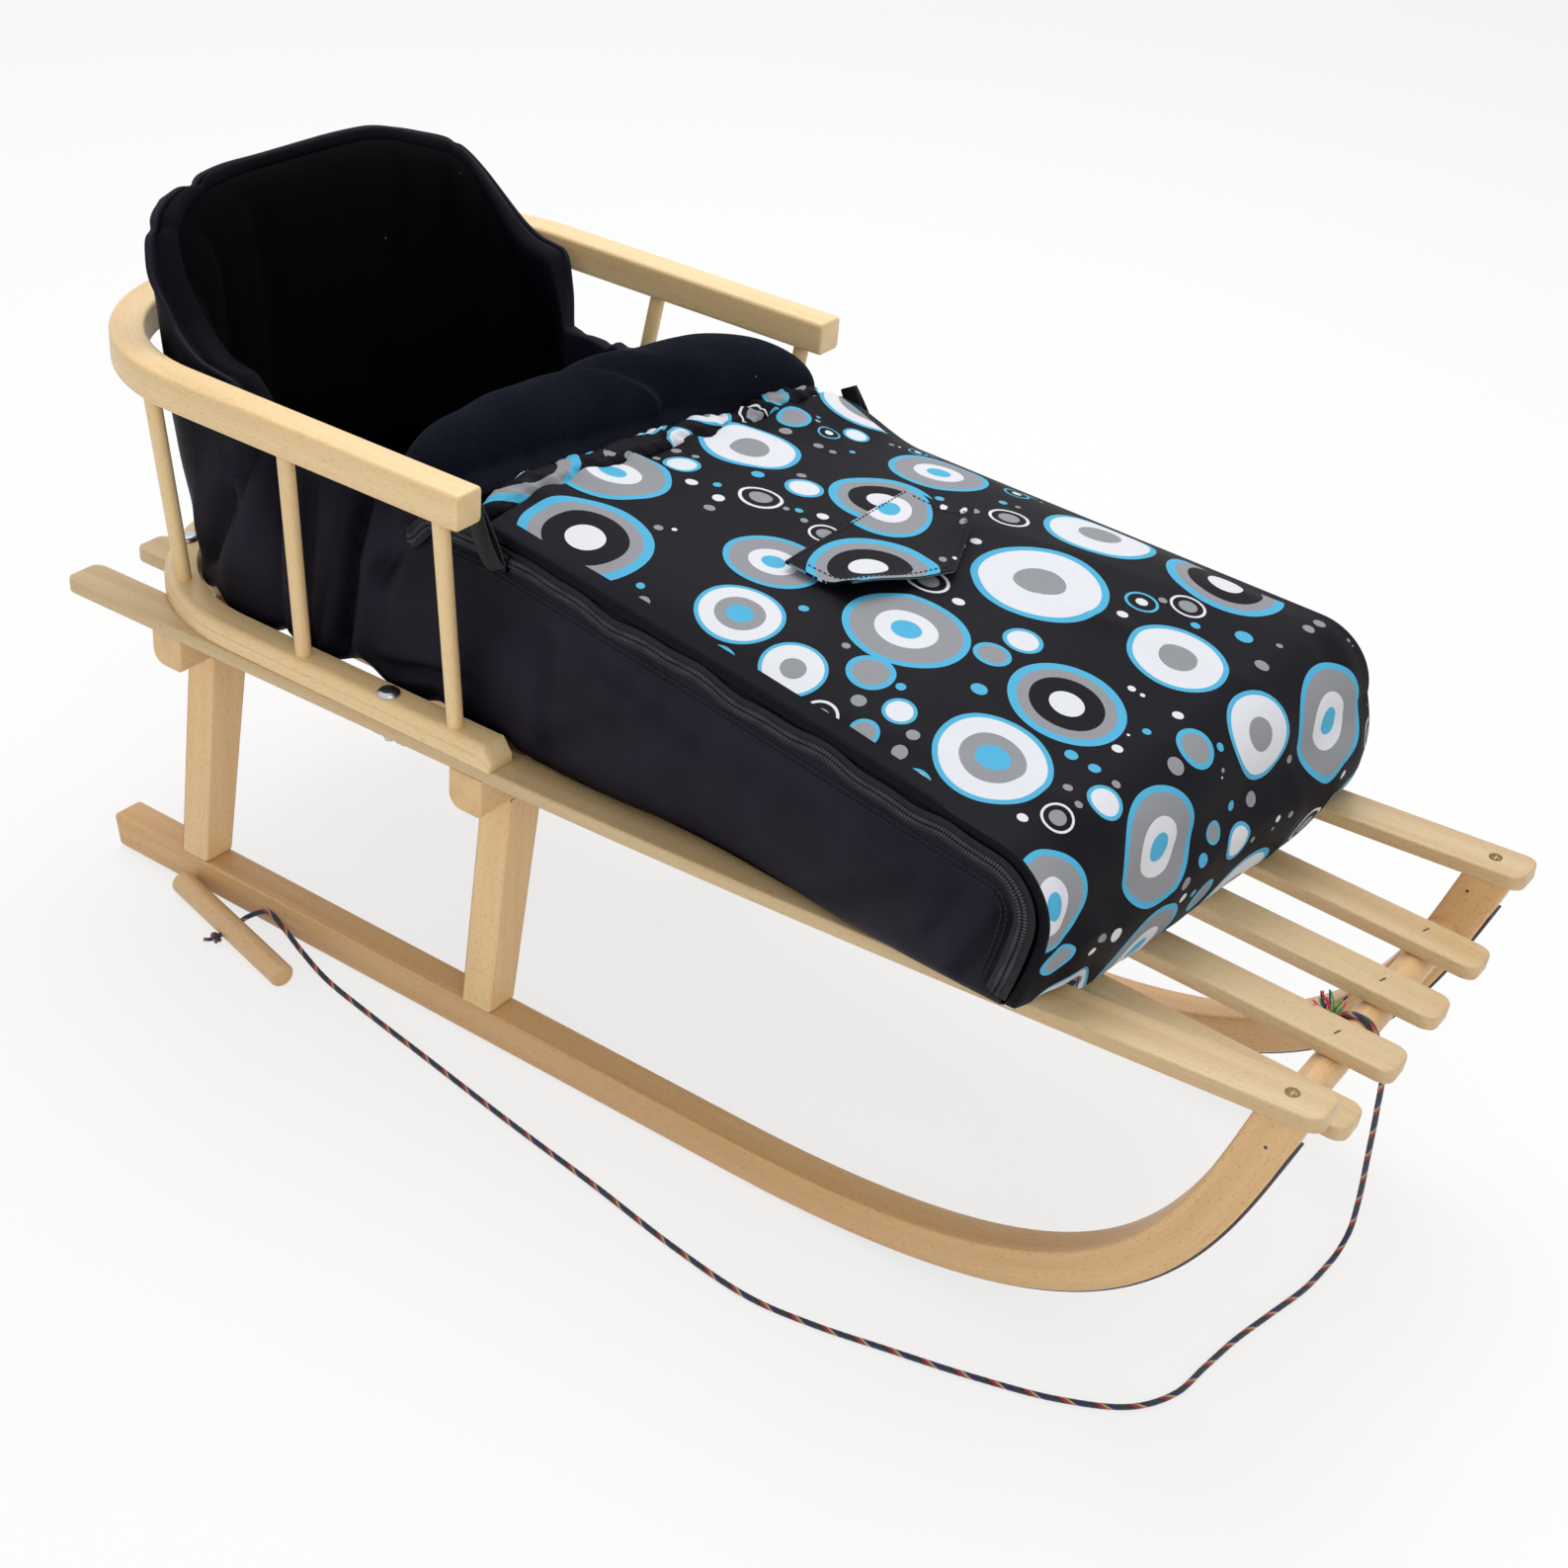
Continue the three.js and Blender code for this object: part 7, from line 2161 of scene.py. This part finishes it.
@dataclass(frozen=True)
class MuffCover:
    """The printed turn-up cover with its foot panel, gathered hem, fleece collar and pocket flap."""

    shape: MuffShape = MuffShape()
    hinge_z: float = 290.0
    panel_bulge: float = 13.0
    bare_edge: float = 11.0
    hem_wide: float = 10.6
    hem_tall: float = 8.4
    collar_half: float = 131.0
    collar_radius: float = 28.5
    flap_rear: float = 46.0
    flap_half: float = 66.0
    flap_side: float = 46.0
    flap_point: float = 28.0

    def _profile(self, rise: float, share: np.ndarray) -> np.ndarray:
        """Rows of the cover and foot panel at a rise over the walls, from the hem to the lower edge.

        Args:
            rise: height over the walls.
            share: places across, from -1 to 1.

        Returns:
            Rows of points.
        """
        s = self.shape
        shift = s.mouth_shift(share)
        way = np.linspace(0.0, 1.0, 125)[:, None] ** 1.15
        x = s.knee_x + (s.foot_x - s.foot_round - s.knee_x) * way + shift * (1 - way) ** 2
        y = (s.half(x) - s.rest) * share
        z = s.knee_line(x) + rise + s.crown_at(x, y) + s.mouth_rise(share, x - s.knee_x - shift)
        top = xyz(x, y, z)
        angle = np.linspace(0.0, math.pi / 2, 22)[1:, None]
        x = s.foot_x - s.foot_round * (1 - np.sin(angle))
        y = (s.half(x) - s.rest) * share
        out = rise + s.crown_at(x, y)
        corner_z = s.knee_line(x) - s.foot_round + np.cos(angle) * (s.foot_round + out)
        corner = xyz(x + np.sin(angle) * out, y, corner_z)
        down = np.linspace(0.0, 1.0, 34)[1:, None]
        sag = 1.0 - smooth_step(np.abs(share), 0.61, 0.74)
        foot = np.array(s.foot_x)
        low = s.bottom(foot, s.deck.outer_lift) * (1 - sag) + s.bottom(foot, s.deck.inner_dip) * sag
        swell = self.panel_bulge * np.sqrt(np.abs(np.sin(math.pi * (1 - 0.8 * down)))) * (1 - share ** 6)
        x = s.foot_x + rise + swell * smooth_step(down, 0.0, 0.35) - 3.0 * smooth_step(down, 0.9, 1.0)
        z = self.hinge_z + (low - self.hinge_z) * down
        panel = xyz(x, (s.foot_half - s.rest - s.turned(z - low)) * share, z)
        return np.concatenate([top, corner, panel])

    def _wrinkle(self, rows: np.ndarray, share: np.ndarray) -> np.ndarray:
        """Height of the cloth's wrinkles: soft padding, puckers behind the hem and a few long creases.

        Args:
            rows: the cover's points.
            share: places across, from -1 to 1.

        Returns:
            The height at each point.
        """
        s = self.shape
        x, y = rows[..., 0], rows[..., 1]
        still = 1.0 - smooth_step(np.abs(share), 0.86, 0.98)
        ahead = np.maximum(0.0, x - s.knee_x - s.mouth_shift(share))
        height = 1.5 * lumps(x, y, 82.0, 70.0, 31) + 0.6 * lumps(x, y, 30.0, 26.0, 32)
        height += 2.2 * creases(x + 0.5 * y, y - 0.3 * x, 190.0, 60.0, 33) - 0.9
        height += 2.4 * np.exp(-ahead / 30.0) * np.sin(y / 6.4 + 1.6 * sway(y, 22.0, 34))
        height += 1.2 * np.exp(-ahead / 90.0) * lumps(y + 0.2 * x, x, 24.0, 120.0, 35)
        corner = smooth_step(x, 225.0, 300.0) * smooth_step(np.abs(y), 120.0, 165.0)
        height += 1.6 * corner * np.sin(y / 9.0 + x / 14.0)
        return height * still

    def build(self, finishes: Finishes) -> None:
        """Makes the printed cover, hem, collar and flap.

        Args:
            finishes: the materials.
        """
        s = self.shape
        share = np.linspace(-1.0, 1.0, 96)[None]
        over = self._profile(s.rise + s.thick, share)
        under = self._profile(s.rise + 0.5, share)
        normal = unit(np.cross(np.gradient(over, axis=0), np.gradient(over, axis=1)))
        over = over + normal * self._wrinkle(over, share)[..., None]
        rows = s.settle(lapped(over, under))
        cover = surface("muff_cover_printed", rows, caps=Caps.LADDER, sharp=80.0)
        strip = self.bare_edge * (1 - 0.8 * smooth_step(over[..., 0], 215.0, 290.0))
        bare = np.clip(1.0 - (s.half(over[..., 0]) - np.abs(over[..., 1])) / (2 * strip), 0.0, 1.0)
        give_points(cover.data, "bare_edge", "value", lapped(bare, bare))
        cover.data.materials.append(finishes.printed)
        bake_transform(cover)
        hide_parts("muff_cover", "muff_foot_panel")
        LOG.info("%s, %d faces", cover.name, len(cover.data.polygons))
        self._hem(finishes)
        self._collar(finishes)
        self._flap(finishes)

    def _hem_line(self, y: np.ndarray) -> tuple:
        """Where the hem's middle lies along x and z, at places across the mouth.

        Args:
            y: places across.

        Returns:
            Places along x, and heights.
        """
        s = self.shape
        share = s.mouth_share(y)
        edge = s.knee_x + s.mouth_shift(share)
        return edge - 9.7, s.cover_top(edge, y) + s.mouth_rise(share, 0.0 * share) - 3.0

    def _hem(self, finishes: Finishes) -> None:
        """The gathered channel: a flattened roll along the slanting mouth, pleated and twisted on its cord.

        Args:
            finishes: the materials.
        """
        s = self.shape
        half = s.seat_half - 8.0
        y = np.linspace(-half, half, 520)
        x, z = self._hem_line(y)
        x, z = x + 1.4 * sway(y, 34.0, 40), z + 1.6 * sway(y, 26.0, 42)
        end = np.clip(1 - (np.abs(y) / half) ** 14, 0.0, 1.0) ** 0.5
        angle = round_turn(28)
        twist = y[:, None] + 7.0 * np.sin(angle - 0.6)[None]
        pleat = 1.5 * creases(twist, 0.0 * twist, 9.0, 1.0, 41)
        pleat = pleat + 1.6 * creases(twist, 0.0 * twist, 23.0, 1.0, 43) - 1.3
        pleat += 0.5 * np.sin(twist / 1.9)
        past = np.mod(angle + 0.5 * np.sin(y / 21.0)[:, None] - 0.75, 2 * math.pi)
        fold = -1.8 * np.exp(-(past / 0.22) ** 2)
        wide = (self.hem_wide + 0.7 * pleat + fold) * end[:, None]
        tall = (self.hem_tall + pleat + fold) * end[:, None]
        rows = xyz(x[:, None] + wide * np.cos(angle), y[:, None], z[:, None] + tall * np.sin(angle))
        piece = surface("muff_hem_gathered", rows, sharp=80.0)
        finish_piece(piece, finishes.printed, "cover", ("muff_hem",))

    def _collar(self, finishes: Finishes) -> None:
        """The fleece collar: two stuffed lobes of a soft roll, the nearer lapped over the higher farther one.

        Args:
            finishes: the materials.
        """
        s = self.shape
        half = self.collar_half
        y = np.linspace(-half, half, 300)
        # centre line: behind the mouth's slanting edge, higher in the middle and to the left
        share = y / 124.0
        left = (share + 1) / 2
        reach = smooth_step(y, 70.0, half)
        x = s.knee_x + s.mouth_shift(share) - 49.5 - 18.0 * (1 - left) ** 2 + 2.0 * sway(y, 60.0, 51)
        x += 17.0 * reach
        z = 364.0 + 22.0 * (1 - share ** 2) + 10.0 * left + 5.0 * smooth_step(y, 20.0, 60.0)
        end = np.clip(1 - np.abs(y / half) ** 7, 0.0, 1.0) ** 0.5
        angle = round_turn(80)
        # section: one lobe ends along a line round the roll, and the other swells out from there
        away = y[:, None] - (22.0 - 34.0 * (1 - np.cos(angle)))[None]
        lobe = np.where(away < 0, 1 - 0.26 * smooth_step(away, -12.0, 0.0),
                        0.74 + 0.30 * smooth_step(away, 0.0, 36.0))
        swell = 1.8 * lumps(y[:, None], 20.0 * angle[None], 44.0, 31.4159, 53)
        swell += 1.1 * lumps(y[:, None], 20.0 * angle[None], 17.0, 31.4159, 54)
        swell += 1.2 * np.cos(y / 13.0 + 2.0 * sway(y, 50.0, 52))[:, None] * (0.5 - 0.5 * np.cos(angle))
        seam = 0.5 * (np.cos(angle) + 1) * smooth_step(np.abs(y), 100.0, half)[:, None]
        radius = (self.collar_radius * lobe + swell * (1 - 0.6 * seam)) * end[:, None]
        # the tongue by which the roll is sewn to the hem
        hem_x, hem_z = self._hem_line(y + 10.0 * reach)
        off = angle - np.arctan2(hem_z - z, hem_x - x)[:, None]
        sewn = np.exp(-((np.mod(off + math.pi, 2 * math.pi) - math.pi) / 0.24) ** 2)
        radius = np.maximum(radius, (np.hypot(hem_x - x, hem_z - z) - 5.0)[:, None] * sewn * end[:, None])
        rows = xyz(x[:, None] + 1.03 * radius * np.cos(angle), (y + 10.0 * reach)[:, None],
                   z[:, None] + 0.98 * radius * np.sin(angle))
        piece = surface("muff_collar_stuffed", rows, sharp=80.0)
        finish_piece(piece, finishes.collar, "cover", ("muff_collar",))

    def _flap(self, finishes: Finishes) -> None:
        """The pocket flap: a thin sheet sewn along its rear edge, cut to a blunt point, stitched round.

        Args:
            finishes: the materials.
        """
        s = self.shape
        u = np.linspace(-1.0, 1.0, 60)[None]
        v = np.linspace(0.0, 1.0, 44)[:, None]
        x = self.flap_rear + (self.flap_side + self.flap_point * (1 - np.abs(u)) ** 0.92) * v
        y = self.flap_half * u + 0.0 * v
        curl = 5.0 * smooth_step(v, 0.55, 1.0) * smooth_step(np.abs(u), 0.25, 0.9)
        curl += 2.6 * smooth_step(v, 0.7, 1.0)
        z = s.cover_top(x, y) + 4.6 + curl + 0.8 * lumps(x, y, 30.0, 30.0, 61) * v
        top = xyz(x, y, z)
        rows = lapped(top, top - [0.0, 0.0, 1.6])
        piece = surface("muff_pocket_flap_sewn", s.settle(rows), caps=Caps.LADDER, sharp=50.0)
        finish_piece(piece, finishes.printed, "flap", ("muff_pocket_flap",))
        away = np.array([0.0, 0.0, 1.0])
        edge = np.concatenate([top[3:-3, 3], top[-4, 3:-3], top[3:-3, -4][::-1]])
        for name, line in (("muff_flap_stitches", edge), ("muff_flap_seam", top[1, 2:-2])):
            thread = stitches(name, s.settle(line), np.tile(away, (len(line), 1)), 3.6, 0.4)
            finish_piece(thread, finishes.thread, "flap")


@dataclass(frozen=True)
class Zips:
    """Coil zips down both sides, their stitched tapes, sliders and webbing pulls."""

    shape: MuffShape = MuffShape()
    drop: float = 5.0
    pivots: tuple[tuple[float, float, float], ...] = (
        (-96.585, -150.774, 351.578), (-41.585, 155.712, 346.505))

    def _line(self, sign: float, inset: float, slack: float = 0.0) -> tuple[np.ndarray, np.ndarray]:
        """A line on the outer wall, a distance in from its top and foot edges, and its outward direction.

        Args:
            sign: -1 for the right side, 1 for the left.
            inset: distance from the wall's edge.
            slack: how far the line sways, and its loose rear end hangs, as a share.

        Returns:
            Points from the rear end down to the foot, and the outward direction at each.
        """
        s = self.shape
        inner = s.foot_round - inset
        straight = np.linspace(s.knee_x - 62.0, s.foot_x - s.foot_round, 160)
        angle = np.linspace(0.0, math.pi / 2, 24)[1:]
        corner_x = s.foot_x - s.foot_round + inner * np.sin(angle)
        corner_z = s.knee_line(corner_x) - s.foot_round + inner * np.cos(angle)
        foot = float(s.bottom(corner_x[-1])) + 14.0
        down = np.linspace(corner_z[-1], foot, 30)[1:]
        wave = 1.5 * np.sin(straight / 16.5 + sign) + 0.8 * np.sin(straight / 7.3)
        wave *= slack * smooth_step(straight, -120.0, -60.0) * (1 - smooth_step(straight, 220.0, 260.0))
        x = np.concatenate([straight, corner_x, np.full(len(down), corner_x[-1])])
        z = np.concatenate([s.knee_line(straight) - inset + wave, corner_z, down])
        share = (z - s.bottom(x)) / (s.wall_top(x) - s.bottom(x))
        points = s.side_place(x, sign, np.clip(share, 0.0, 1.0), 0.0 * x)
        loose = slack * (1 - smooth_step(x, s.knee_x - 62.0, s.knee_x - 40.0))
        points[:, 0], points[:, 2] = x + 7.0 * loose, z - 12.0 * loose
        points[:, 1] += sign * 5.0 * loose
        return s.settle(points), np.tile([0.0, sign, 0.0], (len(points), 1))

    def build(self, finishes: Finishes) -> None:
        """Makes the coils, tapes, stitches, sliders and pulls of both sides.

        Args:
            finishes: the materials.
        """
        for (side, sign), pivot in zip(SIDES, self.pivots):
            line, away = self._line(sign, self.drop, 1.0)
            path = framed_path(line, (0.0, sign, 0.0))
            tape = rounded_section(-7.0, 6.0, -0.9, 0.9, (0.8,) * 4, 3)
            rows, _ = carried(path, tape, 0.8, 3.0)
            piece = surface(f"muff_zip_{side}_tape", rows, sharp=60.0)
            finish_piece(piece, finishes.tape, "sled")
            piece = joined(f"muff_zip_{side}_coil", [self._coil(path, offset) for offset in (-1.6, 1.6)])
            finish_piece(piece, finishes.coil, "sled", (f"muff_zip_{side}",))
            threads = [stitches("seam", self._line(sign, inset)[0][8:], away[8:], 3.2, 0.4)
                       for inset in (self.drop + 10.0, self.drop + 13.5)]
            finish_piece(joined(f"muff_zip_{side}_stitches", threads), finishes.thread, "sled")
            self._pull(side, sign, np.array(pivot), finishes)

    def _coil(self, path: Path, offset: float) -> Object:
        """One row of the coil: a round tube along the zip, ribbed every 1.7 mm.

        Args:
            path: the zip's line.
            offset: how far from the line the row lies.

        Returns:
            The row.
        """
        stations = np.arange(0.6, path.length - 0.6, 0.5)
        points, out, up = path.at(stations)
        angle = round_turn(8)
        rib = 1.0 + 0.20 * np.sin(stations * (2 * math.pi / 1.7))[:, None]
        ring = (offset + 1.3 * rib * np.cos(angle))[..., None] * out[:, None]
        ring = ring + (0.9 + 1.25 * rib * np.sin(angle))[..., None] * up[:, None]
        return surface("coil", points[:, None] + ring, sharp=80.0)

    def _pull(self, side: str, sign: float, pivot: np.ndarray, finishes: Finishes) -> None:
        """The slider, eased, and a folded webbing loop in place of the plain tab.

        Args:
            side: its side's name.
            sign: -1 for the right side, 1 for the left.
            pivot: where it hangs on the slider.
            finishes: the materials.
        """
        slider = eased_copy(f"zip_slider_{side}", f"zip_slider_{side}_enamelled", 0.5)
        finish_piece(slider, finishes.enamel, f"slider_{side}", (f"zip_slider_{side}",))
        low, high = (np.array(corner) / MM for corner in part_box(f"zip_pull_{side}"))
        tip = np.array([low[0] + 7.0, pivot[1], high[2] - 5.0])
        share = np.linspace(0.0, 1.0, 40)[:, None]
        ahead = unit(tip - pivot)
        start, end = pivot - ahead * 4.0, tip + ahead
        bow = 3.4 * np.sin(math.pi * share ** 0.7)
        line = start + (end - start) * share
        side_way = np.array([0.0, sign, 0.0])
        loop = np.concatenate([line + side_way * (bow + 0.3), (line - side_way * (0.35 * bow + 0.3))[::-1]])
        across = np.cross(ahead, side_way)
        path = framed_path(loop, tuple(across))
        section = rounded_section(-0.75, 0.75, -6.5, 6.5, (0.7,) * 4, 3)
        rows = path.points[:, None] + section[None, :, :1] * path.out[:, None] + section[None, :, 1:] * across
        piece = surface(f"zip_pull_{side}_webbing", rows, sharp=60.0)
        finish_piece(piece, finishes.webbing, f"pull_{side}", (f"zip_pull_{side}",))


# ---------------------------------------------------------------- whole sled


def main() -> None:
    """Builds the studio and every sub-assembly in order."""
    logging.basicConfig(level=logging.INFO, format="%(name)s: %(message)s")
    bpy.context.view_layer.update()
    studio = Studio()
    studio.camera()
    finishes = Finishes()
    deck = Deck()
    TowLine().build(deck, finishes)
    studio.floor()
    studio.world()
    studio.lamps()
    Runners().build(deck, finishes)
    Undercarriage().build(finishes)
    deck.build(finishes)
    SeatFrame().build(finishes)
    MuffShell().build(finishes)
    MuffCover().build(finishes)
    Zips().build(finishes)


if __name__ == "__main__":
    main()
